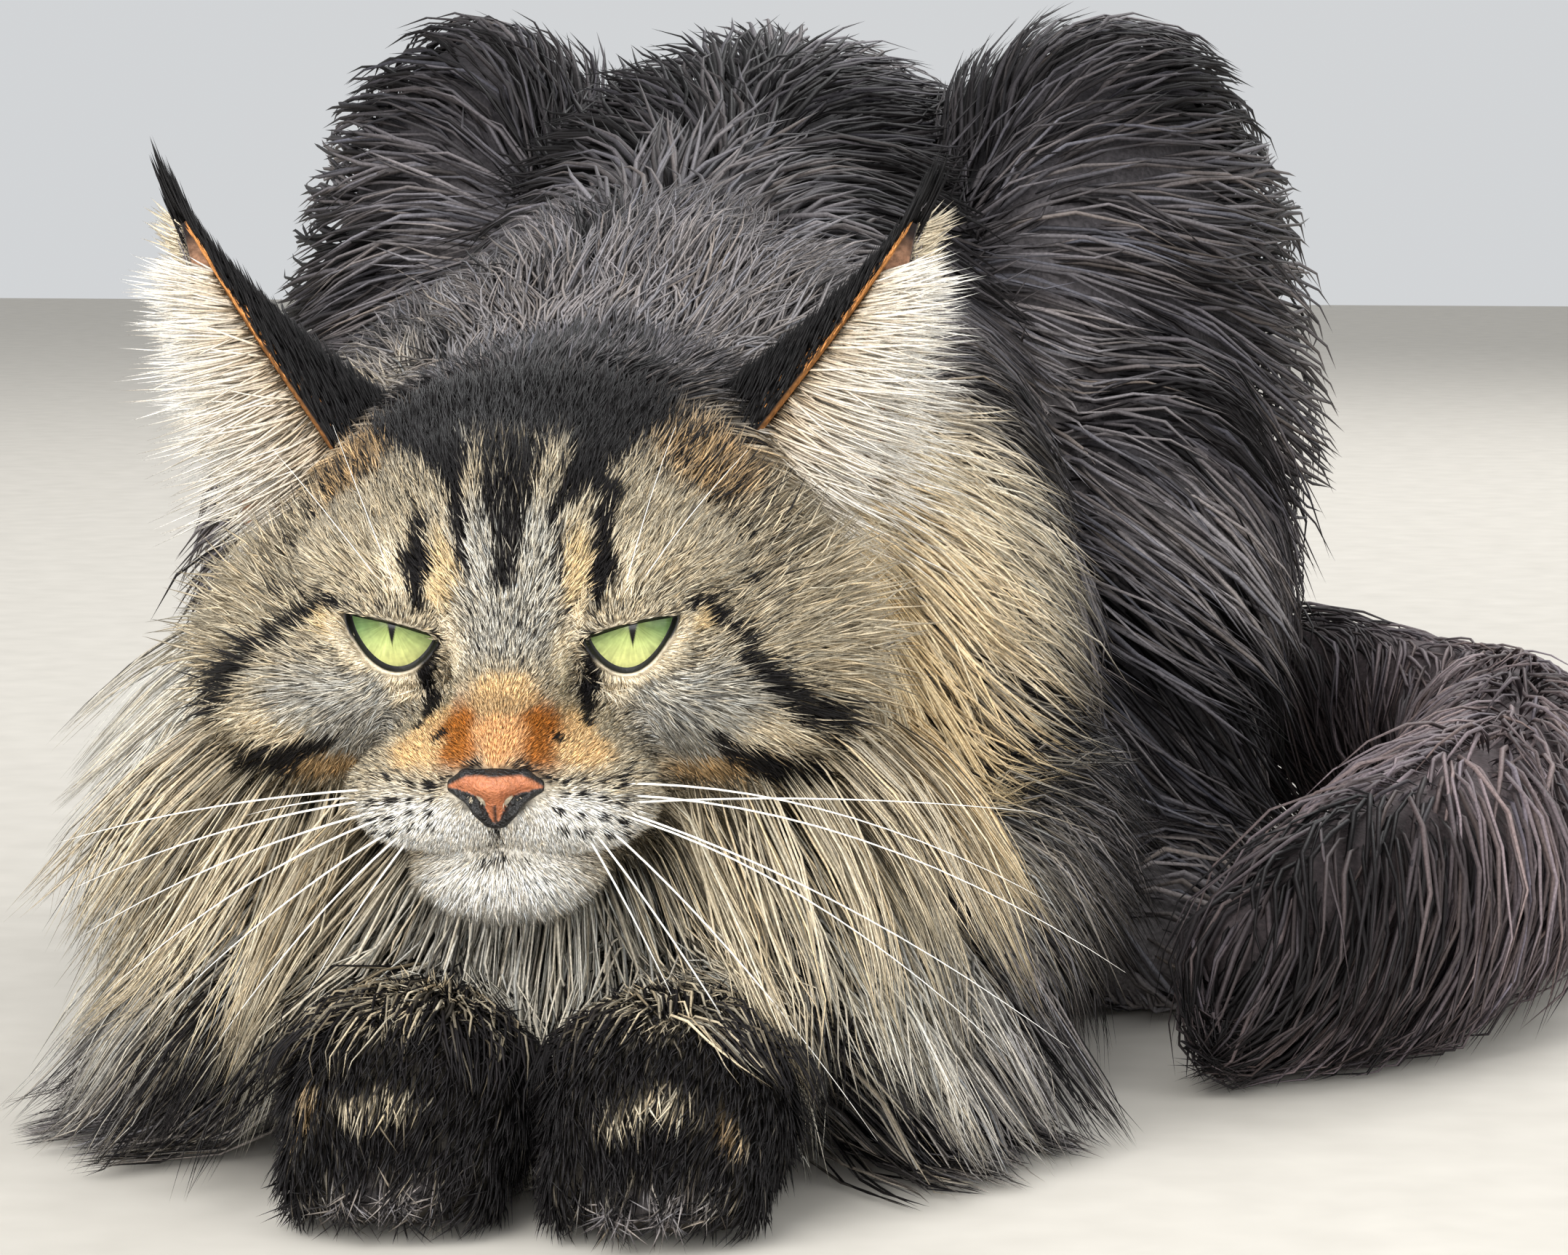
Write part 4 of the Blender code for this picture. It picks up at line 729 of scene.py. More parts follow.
HEAD_STROKES = [  # name, route, half widths, and the share of dark hairs where it isn't the usual one
    ("bar", [(-1.66, 0.42, 2.05), (-1.69, -0.05, 1.25), (-1.6, -0.13, 0.6)], (0.12, 0.23, 0.07)),
    ("bar", [(1.52, 0.42, 2.05), (1.62, -0.03, 1.25), (1.52, -0.14, 0.52)], (0.12, 0.24, 0.07)),
    ("thin", [(-1.11, 1.11, 2.86), (-0.87, 0.23, 2.19), (-0.85, -0.16, 1.15)], (0.26, 0.13, 0.06)),
    ("thin", [(1.28, 1.0, 2.75), (0.83, 0.21, 2.15), (0.81, -0.19, 1.08)], (0.26, 0.13, 0.06)),
    ("arch", [(1.28, 1.0, 2.75), (1.75, 0.75, 2.45), (1.57, 0.36, 1.96)], (0.26, 0.2, 0.14)),
    ("centre", [(-0.12, 1.3, 3.05), (-0.03, 0.04, 2.04), (-0.06, -0.31, 1.06)], (0.55, 0.3, 0.16),
     CENTRE_SHARE),
    ("mass", [(-2.33, 4.58, 3.21), (-1.6, 2.38, 3.12), (-1.11, 1.11, 2.86)], (0.8, 0.55, 0.3)),
    ("mass", [(1.9, 4.0, 3.43), (1.5, 2.3, 3.15), (1.28, 1.0, 2.75)], (0.8, 0.55, 0.3)),
    ("mascara", [(-3.0, 0.05, 0.5), (-3.58, 0.75, 0.46), (-4.56, 1.14, -0.45), (-5.26, 2.25, -1.45),
                 (-5.6, 3.2, -1.9)], (0.06, 0.13, 0.21, 0.24, 0.28)),
    ("mascara", [(3.1, 0.1, 0.46), (3.46, 0.57, 0.5), (3.93, 0.82, -0.02), (4.32, 0.68, -0.69),
                 (4.95, 1.59, -1.53), (5.5, 3.0, -2.1)], (0.06, 0.12, 0.18, 0.2, 0.25, 0.28)),
    ("cheek band", [(-3.23, 0.4, -2.1), (-4.2, 0.9, -2.7), (-5.4, 2.6, -3.0)], (0.1, 0.25, 0.32)),
    ("cheek band", [(3.56, 0.3, -1.95), (4.3, 1.3, -2.78), (5.5, 3.6, -3.3)], (0.1, 0.26, 0.34)),
    ("tear", [(-1.42, -0.15, -0.1), (-1.44, -0.1, -0.4), (-1.5, -0.06, -0.96), (-1.53, -1.22, -1.26)],
     (0.1, 0.15, 0.18, 0.1)),
    ("tear", [(1.4, -0.15, -0.1), (1.37, -0.12, -0.41), (1.38, -0.12, -0.97), (1.43, -1.1, -1.2)],
     (0.1, 0.14, 0.17, 0.1)),
    ("nose rim", [(-0.98, -2.8, -1.8), (-0.5, -3.0, -1.53), (0.0, -3.1, -1.66), (0.5, -3.0, -1.53),
                  (0.98, -2.8, -1.8)], (0.05, 0.1, 0.05, 0.1, 0.05)),
    # Painted shade: dark skin behind each nostril
    ("nostril", [(-0.52, -2.9, -2.08), (-0.3, -2.95, -2.3)], (0.14, 0.14)),
    ("nostril", [(0.52, -2.9, -2.08), (0.3, -2.95, -2.3)], (0.14, 0.14)),
    ("mouth", [(-0.6, -2.37, -3.47), (0.0, -2.44, -3.38), (0.55, -2.41, -3.45)], (0.04, 0.1, 0.04), 0.7),
    ("lip fold", [(0.0, -2.84, -2.6), (0.0, -2.75, -2.9), (0.0, -2.5, -3.25)], (0.05, 0.035, 0.06)),
    ("spot", [(-1.09, -1.84, -1.17), (-1.12, -1.9, -1.3)], (0.12, 0.1)),
    ("spot", [(1.11, -1.94, -1.21), (1.16, -2.0, -1.34)], (0.11, 0.1)),
]
PALE_STROKES = [  # name, route, half widths
    ("lid line", [(3.21, 0.21, 0.38), (3.06, 0.0, -0.06), (2.68, -0.12, -0.5), (2.22, -0.15, -0.7),
                  (1.82, -0.03, -0.98)], (0.1, 0.13, 0.14, 0.18, 0.3)),
    ("lid line", [(-3.3, 0.28, 0.17), (-3.05, 0.0, -0.16), (-2.65, -0.15, -0.5), (-2.11, -0.18, -0.7),
                  (-1.9, -0.03, -1.02)], (0.1, 0.13, 0.14, 0.18, 0.3)),
    ("beside the eye", [(1.2, -0.1, 0.3), (1.12, -0.2, 0.0), (1.0, -0.4, -0.22), (0.97, -0.73, -0.5)],
     (0.08, 0.14, 0.15, 0.1)),
    ("beside the eye", [(-1.24, -0.1, 0.3), (-1.14, -0.2, 0.0), (-1.07, -0.27, -0.26), (-1.1, -0.3, -0.65)],
     (0.08, 0.14, 0.15, 0.1)),
]
STRIPE_EDGE, PALE_EDGE = 0.12, 0.2
print("patches:", len(HEAD_PATCHES), "stripes:", len(HEAD_STROKES), "pale lines:", len(PALE_STROKES))

# %% [markdown]
# The whiskers leave the pads in rows that slant and sag a little, and each root has a dark spot.

# %% The spots on the whisker pads
WHISKER_ROWS = [(-1.95, 0.1), (-2.2, 0.0), (-2.45, -0.04), (-2.7, -0.05)]  # height and slant of each row
WHISKER_COLUMNS = [1.15, 1.5, 1.85, 2.15]
ROWS_START, ROWS_SAG = 1.1, 0.1
DOT_WIDE, DOT_HIGH, DOT_EDGE = 0.10, 0.055, 0.35
PAD_ENDS = -0.6  # the spots are only in front of this


def whisker_dots():
    """The dark spots as (x, z): each row's height, plus its slant times the way along it, less the sag
    times the square of that."""
    x, row = np.meshgrid(WHISKER_COLUMNS, range(len(WHISKER_ROWS)))
    z, slant = np.array(WHISKER_ROWS)[row].transpose(2, 0, 1)
    along = x - ROWS_START
    return np.column_stack([x.ravel(), (z + slant * along - ROWS_SAG * along**2).ravel()])


def laid(points, rounds=4):
    """Points of the head's frame moved onto the head, each by its own distance from it."""
    points = np.array(points, float)
    for _ in range(rounds):
        points -= head_distance(points)[:, None] * gradient(head_distance, points, 0.02)
    return points


def laid_patches():
    """The patches as (centre, reach, colour, share), the pairs doubled and the centres on the head."""
    return [(laid([on_side(centre, side)])[0], *row) for side, centre, *row in doubled(HEAD_PATCHES)]


def laid_strokes(table):
    """The stripes as (route, half widths, share), each route a smooth line on the head."""
    rows = []
    for _, route, widths, *rest in table:
        fine, radii = smooth_route(route, widths, 4 * len(route))
        rows.append((laid(fine), radii, rest[0] if rest else STRIPE_SHARE))
    return rows


LAID_PATCHES = laid_patches()
LAID_STROKES, LAID_PALE = laid_strokes(HEAD_STROKES), laid_strokes(PALE_STROKES)
print("whisker spots on each pad:", len(whisker_dots()))

# %% [markdown]
# The tables are painted over each other in order. The places are shaken by fine noise first, so that no
# edge is a clean curve.

# %% The head's markings painted
HEAD_SHARE = 0.26  # of dark hairs where no patch lies
ROUGH_SIZE, ROUGH_BY = 0.35, 0.2


def painted(pale, dark, mask, share, colour=None):
    """The dark share, and the pale colour where one is given, drawn toward new values by a mask."""
    if colour is not None:
        pale += (colour - pale) * mask[:, None]
    dark += (share - dark) * mask


def head_markings(local):
    """The head's pale colour and dark share: its patches, pale lines, stripes and whisker spots."""
    pale, dark = np.tile(FAWN, (len(local), 1)), np.full(len(local), HEAD_SHARE)
    rough = np.column_stack([lattice_noise(local, ROUGH_SIZE, seed) for seed in (11, 12, 13)]) - 0.5
    moved = local + rough * ROUGH_BY
    for centre, reach, colour, share in LAID_PATCHES:
        painted(pale, dark, soft_mask(moved, centre, reach), share, colour)
    for route, radii, _ in LAID_PALE:
        painted(pale, dark, stroke_mask(moved, route, radii, PALE_EDGE), 0.0, CREAM)
    for route, radii, share in LAID_STROKES:
        painted(pale, dark, stroke_mask(moved, route, radii, STRIPE_EDGE), share)
    front = local[:, 1] < PAD_ENDS
    across, _, up = folded(moved).T
    for x, z in whisker_dots():
        away = np.hypot((across - x) / DOT_WIDE, (up - z) / DOT_HIGH)
        painted(pale, dark, np.clip((1.0 - away) / DOT_EDGE + 0.5, 0.0, 1.0) * front, SPOT_SHARE)
    return pale, dark


print("dark share between the eyes:", head_markings(laid([(0.0, -0.6, 0.0)]))[1].round(2))

# %% [markdown]
# The body is smoky grey and black in broad clouds that run along it, with paler patches on the ruff and
# breast. The forepaws are nearly black with a few pale bars. The same function serves the skin, the lids
# and every strand, so skin and coat always agree.

# %% The markings of the body
BODY_PATCHES = [  # name, centre, reach, pale colour, share of dark hairs
    ("nape", (0.0, -15.5, 14.5), (6.5, 3.5, 3.5), SMOKE, 0.3),
    ("ruff_pair", (9.0, -16.0, 8.0), (5.5, 6.0, 7.0), ASH, 0.24),
    ("ruff_top_pair", (6.2, -18.0, 11.6), (3.0, 4.5, 3.2), CREAM, 0.08),
    ("gold_left", (6.6, -19.8, 9.0), (2.6, 3.2, 3.6), GOLD, 0.02),
    ("pale_right", (-6.8, -19.0, 9.2), (2.8, 3.6, 3.8), ASH, 0.28),
    ("bib", (0.4, -22.5, 5.0), (7.0, 5.5, 4.0), ASH, 0.2),
    ("low_breast_pair", (6.8, -16.5, 1.6), (4.0, 4.5, 1.9), SMOKE, 0.5),
    ("shoulder_left", (8.4, -12.4, 5.2), (3.4, 5.0, 5.2), SMOKE, 0.58),
    # Painted shade: a smoky patch with more dark hairs on the left of the ruff, beside the shoulder
    ("ruff_side_left", (7.5, -18.2, 5.2), (1.8, 3.4, 2.2), SMOKE, 0.5),
]
PAW_BARS = [  # centre from the line between the paws, reach, pale colour, share of dark hairs
    ((2.2, -27.0, 4.3), (2.6, 2.6, 0.8), FAWN, 0.6), ((2.4, -29.3, 2.3), (0.75, 0.7, 0.34), FAWN, 0.5),
    ((3.8, -28.8, 2.0), (0.3, 0.6, 0.5), TAN, 0.5), ((2.3, -29.9, 0.7), (1.3, 0.7, 0.45), SMOKE, 0.55),
]
COLOUR_LAYER, SKIN_SHADE = "coat", 0.85
TAIL_PALE = linear(132, 118, 120)
CLOUDS = ((0.8, 0.45, 1.0), 2.6, 21)  # stretch of the places, size and seed of each noise
FLECKS = ((1.0, 1.0, 1.0), 1.1, 22)
LOCKS = ((1.0, 0.7, 0.5), 0.8, 23)
PATCH_SHAKE, BAR_SHAKE = 1.5, 0.6  # how far the flecks move an edge
PAWS_FROM, PAWS_SHARP, PAWS_BELOW, PAW_SHARE = -23.6, 4.0, 4.3, 0.97
# Where the head's markings give way to the body's, and how sharply: behind it, below it and beside it
HEAD_BACK, HEAD_BELOW, HEAD_BESIDE = (5.2, 2.5), (4.9, 5.0), (6.6, 4.0)
FACE_FROM = 0.01


def clouded(cm, stretch, size, seed):
    """Lattice noise on stretched places."""
    return lattice_noise(cm * stretch, size, seed)


def step_down(value, edge, sharp):
    """1 well below the edge and 0 well above it: 1 / (1 + e^(sharp (value - edge)))."""
    return 1.0 / (1.0 + np.exp(np.clip((value - edge) * sharp, -30, 30)))


def trunk_markings(cm, flecks):
    """Clouds of smoke on slate, then the patches, roughened by clouds and locks, then the tail."""
    clouds, locks = clouded(cm, *CLOUDS), clouded(cm, *LOCKS)
    pale = SLATE + (SMOKE - SLATE) * np.clip(1.6 * clouds - 0.3, 0, 1)[:, None]
    dark = np.clip(1.11 - 1.1 * clouds + 0.25 * (flecks - 0.5), 0.2, 0.95)
    shaken = cm + (flecks[:, None] - 0.5) * PATCH_SHAKE
    for side, centre, reach, colour, share in doubled(BODY_PATCHES):
        rough_share = np.clip(share + 0.5 * (clouds - 0.5) + 0.9 * (locks - 0.5), 0, 1)
        painted(pale, dark, soft_mask(shaken, on_side(centre, side), reach), rough_share, colour)
    tail, _ = on_tail(cm)
    pale[tail] = TAIL_PALE
    dark[tail] = np.clip(0.42 + 0.7 * (clouds[tail] - 0.3), 0.32, 0.95)
    return pale, dark


def markings(points):
    """At each point in metres, the colour of the pale hairs and the share of dark ones."""
    cm, local = points / BODY_CM, to_head(points)
    flecks = clouded(cm, *FLECKS)
    pale, dark = trunk_markings(cm, flecks)
    paw = step_down(cm[:, 1], PAWS_FROM, PAWS_SHARP) * (cm[:, 2] < PAWS_BELOW)
    painted(pale, dark, paw, PAW_SHARE, FAWN)
    shaken = cm + (flecks[:, None] - 0.5) * BAR_SHAKE
    for (x, y, z), reach, colour, share in PAW_BARS:
        for side in (1, -1):
            painted(pale, dark, soft_mask(shaken, (PAW_LINE_X + side * x, y, z), reach) * paw, share, colour)
    x, y, z = folded(local).T
    near = step_down(y, *HEAD_BACK) * step_down(-z, *HEAD_BELOW) * step_down(x, *HEAD_BESIDE)
    face = near > FACE_FROM
    head_pale, head_dark = head_markings(local[face])
    pale[face] += (head_pale - pale[face]) * near[face][:, None]
    dark[face] += (head_dark - dark[face]) * near[face]
    return pale, np.clip(dark, 0.0, 1.0)


def set_colours(piece, colours):
    """Puts a colour on each corner of a piece, for its material to read."""
    layer = piece.data.color_attributes.new(COLOUR_LAYER, "FLOAT_COLOR", "POINT")
    values = np.column_stack([colours, np.ones(len(colours))])
    layer.data.foreach_set("color", values.astype(np.float32).ravel())


def skin_colours(points):
    """The skin is the mean of the hairs that grow on it, and a little duskier."""
    pale, dark = markings(points)
    return (pale + (BLACK - pale) * dark[:, None]) * SKIN_SHADE


set_colours(skin, skin_colours(SKIN.points))
print("mean colour of the skin:", skin_colours(SKIN.points[::50]).mean(axis=0).round(3))

# %% [markdown]
# Skin and hair share one effect: fine streaks and grains that a light shows as gloss and shade. It is a
# node group with named inputs, used in each material with its own values. It puts out a colour, a
# roughness and a height, and the Principled shader and the Bump node stay in the material itself.

# %% The grain of skin and hair
GRAIN_SOCKETS = [  # name, kind of value, side
    ("Colour", "Color", "INPUT"), ("Scale", "Float", "INPUT"), ("Strength", "Float", "INPUT"),
    ("Roughness", "Float", "INPUT"),
    ("Colour", "Color", "OUTPUT"), ("Roughness", "Float", "OUTPUT"), ("Height", "Float", "OUTPUT"),
]
GRAIN_DETAIL = 3.0
GRAIN_LOW, GRAIN_HIGH, GRAIN_BRIGHT = 0.3, 0.7, 1.15
ROUGHER = 0.25  # added to the roughness at the noise's highest


def set_inputs(node, **values):
    """The node with its inputs set by name, with _ in place of each space."""
    for name, value in values.items():
        node.inputs[name.replace("_", " ")].default_value = value
    return node


def add_node(tree, kind, operation=None, **values):
    """A new node of a kind, with its operation and the values of its inputs."""
    node = tree.nodes.new("ShaderNode" + kind)
    if operation:
        node.operation = operation
    return set_inputs(node, **values)


def wire(tree, rows):
    """Links nodes: each row is a node and its output, then a node and its input."""
    for source, output, target, name in rows:
        tree.links.new(source.outputs[output], target.inputs[name])


def hair_group():
    """Noise over the piece's own coordinates darkens the colour, changes the roughness and gives a
    height. The colour is scaled from 1 less the strength, where the noise is low, to a little over 1."""
    group = bpy.data.node_groups.new("hair grain", "ShaderNodeTree")
    for name, kind, side in GRAIN_SOCKETS:
        group.interface.new_socket(name, in_out=side, socket_type="NodeSocket" + kind)
    came, left = group.nodes.new("NodeGroupInput"), group.nodes.new("NodeGroupOutput")
    place = add_node(group, "TexCoord")
    noise = add_node(group, "TexNoise", Detail=GRAIN_DETAIL)
    shade = add_node(group, "MapRange", From_Min=GRAIN_LOW, From_Max=GRAIN_HIGH, To_Max=GRAIN_BRIGHT)
    least = add_node(group, "Math", "SUBTRACT")
    least.inputs[0].default_value = 1.0
    scaled = add_node(group, "VectorMath", "SCALE")
    rough = add_node(group, "Math", "MULTIPLY_ADD")
    rough.inputs[1].default_value = ROUGHER
    wire(group, [
        (place, "Object", noise, "Vector"), (came, "Scale", noise, "Scale"),
        (came, "Strength", least, 1), (noise, "Fac", shade, "Value"), (least, 0, shade, "To Min"),
        (came, "Colour", scaled, 0), (shade, "Result", scaled, "Scale"),
        (noise, "Fac", rough, 0), (came, "Roughness", rough, 2),
        (scaled, "Vector", left, "Colour"), (rough, 0, left, "Roughness"), (noise, "Fac", left, "Height"),
    ])
    return group


HAIR_GROUP = hair_group()
print("nodes in the grain:", len(HAIR_GROUP.nodes))

# %% [markdown]
# Each finish reads the colours on its piece and gives the grain its own scale, strength and height. A
# piece is then finished in one place: its material, its body, and the solids it stands for, which are hidden.

# %% Materials of skin and hair
def hair_material(name, scale, strength, roughness, bump, gloss=0.5, coat=0.0):
    """A material that reads the piece's colours through the shared grain."""
    made = bpy.data.materials.new(name)
    made.use_nodes = True
    tree = made.node_tree
    shader = set_inputs(tree.nodes["Principled BSDF"], Specular_IOR_Level=gloss, Coat_Weight=coat)
    colour = add_node(tree, "Attribute")
    colour.attribute_name = COLOUR_LAYER
    grain = add_node(tree, "Group")
    grain.node_tree = HAIR_GROUP
    set_inputs(grain, Scale=scale, Strength=strength, Roughness=roughness)
    bumped = add_node(tree, "Bump", Distance=bump)
    wire(tree, [
        (colour, "Color", grain, "Colour"), (grain, "Colour", shader, "Base Color"),
        (grain, "Roughness", shader, "Roughness"), (grain, "Height", bumped, "Height"),
        (bumped, "Normal", shader, "Normal"),
    ])
    return made


SKIN_LOOK = hair_material("cat skin", 900.0, 0.5, 0.65, 0.0004, gloss=0.2)
COAT_LOOK = hair_material("cat coat", 1400.0, 0.35, 0.5, 0.0001, gloss=0.2)
FACE_LOOK = hair_material("face fur", 1900.0, 0.3, 0.45, 0.0001, gloss=0.25)


def finish_piece(piece, look, slot, *nodes):
    """Gives a piece its material and its body, and hides the nodes that it stands for. The slot is not used.
    """
    piece.data.materials.append(look)
    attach(piece, "root")
    if nodes:
        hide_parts(*nodes)
    return piece


finish_piece(
    skin, SKIN_LOOK, "brown_coat", "head", "neck", "torso", "foreleg_left", "foreleg_right",
    "hindleg_left", "hindleg_right", "tail_base", "tail_mid", "tail_tip",
)
print("materials:", [m.name for m in (SKIN_LOOK, COAT_LOOK, FACE_LOOK)])

# %% [markdown]
# A cat's iris fills the whole opening. It is yellow-green, paler and yellower below and greener above,
# where painted shade of the upper lid also darkens it, with fine fibres that run out from a slit pupil, a
# dark rim and a clear, wet cornea that bulges a little. The eyeball is a grid of rings round the line of
# sight, so that the pattern can be worked out in rings and spokes.

# %% The eyes
EYE_LOOKS, GAZE_TURN = (0.03, -0.965, 0.26), (0.03, 0, 0)  # the line of sight, and both turned left
EYE_RINGS, EYE_SPOKES = 90, 160
IRIS_LOW = linear(208, 210, 138)
# Greener and darker at the top: the iris's own green with painted shade of the upper lid
IRIS_HIGH_SHADED = linear(116, 146, 92)
IRIS_INNER = linear(176, 188, 98)
IRIS_RIM = linear(52, 64, 42)
SLIT_HALF_WIDTH, SLIT_HALF_HEIGHT, SLIT_EDGE = 0.08, 0.42, 0.016
INNER_RADIUS, INNER_SHARE = 0.35, 0.4
RIM_BAND = (0.76, 0.16)  # start and width, as shares of the eyeball
LID_SHADE, LID_SHADE_BAND = 0.5, (-0.35, 0.3)  # the upper lid's shadow
EYE_WHITE = linear(120, 100, 90)  # behind, where none of it is seen


def grid_faces(rows, columns, closed_rows=False, closed_columns=False):
    """Quads between neighbours of a grid of corners, which may join up round either way."""
    across = np.arange(columns if closed_columns else columns - 1)
    i, j = np.meshgrid(np.arange(rows if closed_rows else rows - 1), across, indexing="ij")
    k, m = (i + 1) % rows, (j + 1) % columns
    ring = [i * columns + j, i * columns + m, k * columns + m, k * columns + j]
    return np.stack(ring, axis=-1).reshape(-1, 4)


def faces_out(points, faces):
    """True where a closed mesh's volume is positive, so that its faces point out."""
    a, b, c = (points[faces[:, k]] - points[0] for k in range(3))
    return np.einsum("ij,ij->", a, np.cross(b, c)) > 0


def outward(piece):
    """The piece with its faces turned to point out, by the sign of its volume."""
    if not faces_out(*corners_and_triangles(piece)):
        piece.data.flip_normals()
    return piece


def eye_axes(side):
    """The line of sight, the way across it and the way up, in the head's frame."""
    sight = unit(on_side(EYE_LOOKS, side) + GAZE_TURN)
    across = unit(np.cross(sight, (0.0, 0.0, 1.0)) * -1.0)
    return sight, across, np.cross(across, sight) * -1.0


def eye_colours(flat_x, flat_z):
    """The iris by rings and spokes: noise that is fine round the circle and long along it makes the
    fibres, painted shade of the upper lid darkens the top, the rim darkens outwards, and the slit is a
    lens shape, narrow and pointed."""
    radius = np.hypot(flat_x, flat_z)
    angle = np.arctan2(flat_z, flat_x)
    spokes = np.column_stack([np.cos(angle) * 9.0, np.sin(angle) * 9.0, radius * 1.2])
    fibre = lattice_noise(spokes, 0.32, 40) * 0.6 + lattice_noise(spokes, 0.13, 41) * 0.4
    colour = tinted(IRIS_LOW, IRIS_HIGH_SHADED, np.clip(1.0 + 1.7 * flat_z + 0.35 * np.abs(flat_x), 0, 1))
    colour = tinted(colour, IRIS_INNER, np.exp(-((radius / INNER_RADIUS) ** 2)) * INNER_SHARE)
    colour = colour * (0.62 + 0.6 * fibre)[:, None]
    # Painted shadow of the upper lid across the top of the iris
    colour = colour * (1.0 - LID_SHADE * rise(flat_z, *LID_SHADE_BAND))[:, None]
    colour = tinted(colour, IRIS_RIM, rise(radius, *RIM_BAND))
    lens = 1.0 - np.clip(np.abs(flat_z) / SLIT_HALF_HEIGHT, 0, 1) ** 1.3
    slit = np.clip((SLIT_HALF_WIDTH * lens - np.abs(flat_x)) / SLIT_EDGE, 0, 1)[:, None]
    return colour * (1.0 - slit) + BLACK * 0.15 * slit


def make_eye(side, word):
    """Rings of corners at even angles from the line of sight, on a ball that bulges by a twentieth in
    front, with a pole at each end."""
    sight, across, up = eye_axes(side)
    tilt, spin = np.meshgrid(
        np.linspace(0.0, math.pi, EYE_RINGS), np.arange(EYE_SPOKES) * 2 * math.pi / EYE_SPOKES, indexing="ij"
    )
    swell = EYE_RADIUS * (1.0 + 0.05 * np.exp(-((tilt / 0.7) ** 2)))
    flat_x, flat_z = np.sin(tilt) * np.cos(spin), np.sin(tilt) * np.sin(spin)
    local = np.cos(tilt)[..., None] * sight + flat_x[..., None] * across + flat_z[..., None] * up
    local = local * swell[..., None] + on_side(EYE_AT, side)
    inner = local[1:-1].reshape(-1, 3)
    points = np.vstack([inner, local[0, :1], local[-1, :1]])
    rows = EYE_RINGS - 2
    faces = grid_faces(rows, EYE_SPOKES, closed_columns=True).tolist()
    front, rear = rows * EYE_SPOKES, rows * EYE_SPOKES + 1
    last = (rows - 1) * EYE_SPOKES
    turn = np.arange(EYE_SPOKES)
    after = (turn + 1) % EYE_SPOKES
    faces += np.column_stack([np.full(EYE_SPOKES, front), after, turn]).tolist()
    faces += np.column_stack([np.full(EYE_SPOKES, rear), last + turn, last + after]).tolist()
    made = outward(new_object("eye_" + word, from_head(points), faces))
    share = np.append(flat_x[1:-1].ravel(), (0.0, 0.0)), np.append(flat_z[1:-1].ravel(), (0.0, 0.0))
    colours = eye_colours(*share)
    back = np.append(np.cos(tilt)[1:-1].ravel(), (1.0, -1.0)) < 0.0
    colours[back] = EYE_WHITE
    set_colours(made, colours)
    return made


EYE_LOOK = hair_material("eye", 700.0, 0.12, 0.05, 0.00002, gloss=0.12, coat=0.2)
for side, word in SIDES:
    finish_piece(make_eye(side, word), EYE_LOOK, "eye_clear", "eye_" + word)
print("eyes made, each", EYE_RINGS * EYE_SPOKES, "corners")

# %% [markdown]
# The lids are a closed band round each opening. Its inner edge rests on the eyeball, its margin is
# black and moist, and its outer edge runs over the skin and dips into it. It is a profile carried round
# the opening, so it can be far finer than the skin.

# %% The lids
LID_ROUND = 144
LID_STEPS = np.array([-0.10, -0.05, 0.0, 0.03, 0.06, 0.09, 0.12, 0.16, 0.21, 0.27, 0.33, 0.38])
MARGIN_WIDTH, CORNER_WIDTH = 0.11, 0.12
LID_DEEP = (0.0, 0.12, 0.0)
LID_UP, LID_OUT, LID_IN = (0.0, 0.10), (0.12, 0.09), (0.27, 0.11)  # where each part starts, and its width
LID_PROUD, LID_OVER = 0.05, 0.02  # how far the margin and the outer part stand before the face
LID_TUCK, LID_SINKS, LID_SWELL = 0.06, 0.12, 0.04
FACE_SEARCH, HALVINGS = (-5.0, 3.0, 50), 14  # from in front of the face to behind it, in steps


def face_front(flat):
    """Where lines along the head's Y axis through points (x, z) first meet the head, by halving."""
    steps = np.linspace(*FACE_SEARCH)
    x, y = np.meshgrid(flat[:, 0], steps, indexing="ij")
    z = np.broadcast_to(flat[:, 1:], x.shape)
    inside = head_distance(np.column_stack([x.ravel(), y.ravel(), z.ravel()])).reshape(x.shape) < 0
    first = np.maximum(inside.argmax(axis=1), 1)
    near, far = steps[first - 1], steps[first]
    for _ in range(HALVINGS):
        middle = (near + far) / 2
        solid = head_distance(np.column_stack([flat[:, 0], middle, flat[:, 1]])) < 0
        far, near = np.where(solid, middle, far), np.where(solid, near, middle)
    return far


def ball_front(flat, side, grow):
    """Where the same lines meet the eyeball, grown by a little."""
    off = flat - (EYE_AT[0] * side, EYE_AT[2])
    return EYE_AT[1] - np.sqrt(np.maximum((EYE_RADIUS * 1.02 + grow) ** 2 - (off**2).sum(axis=1), 0.0))


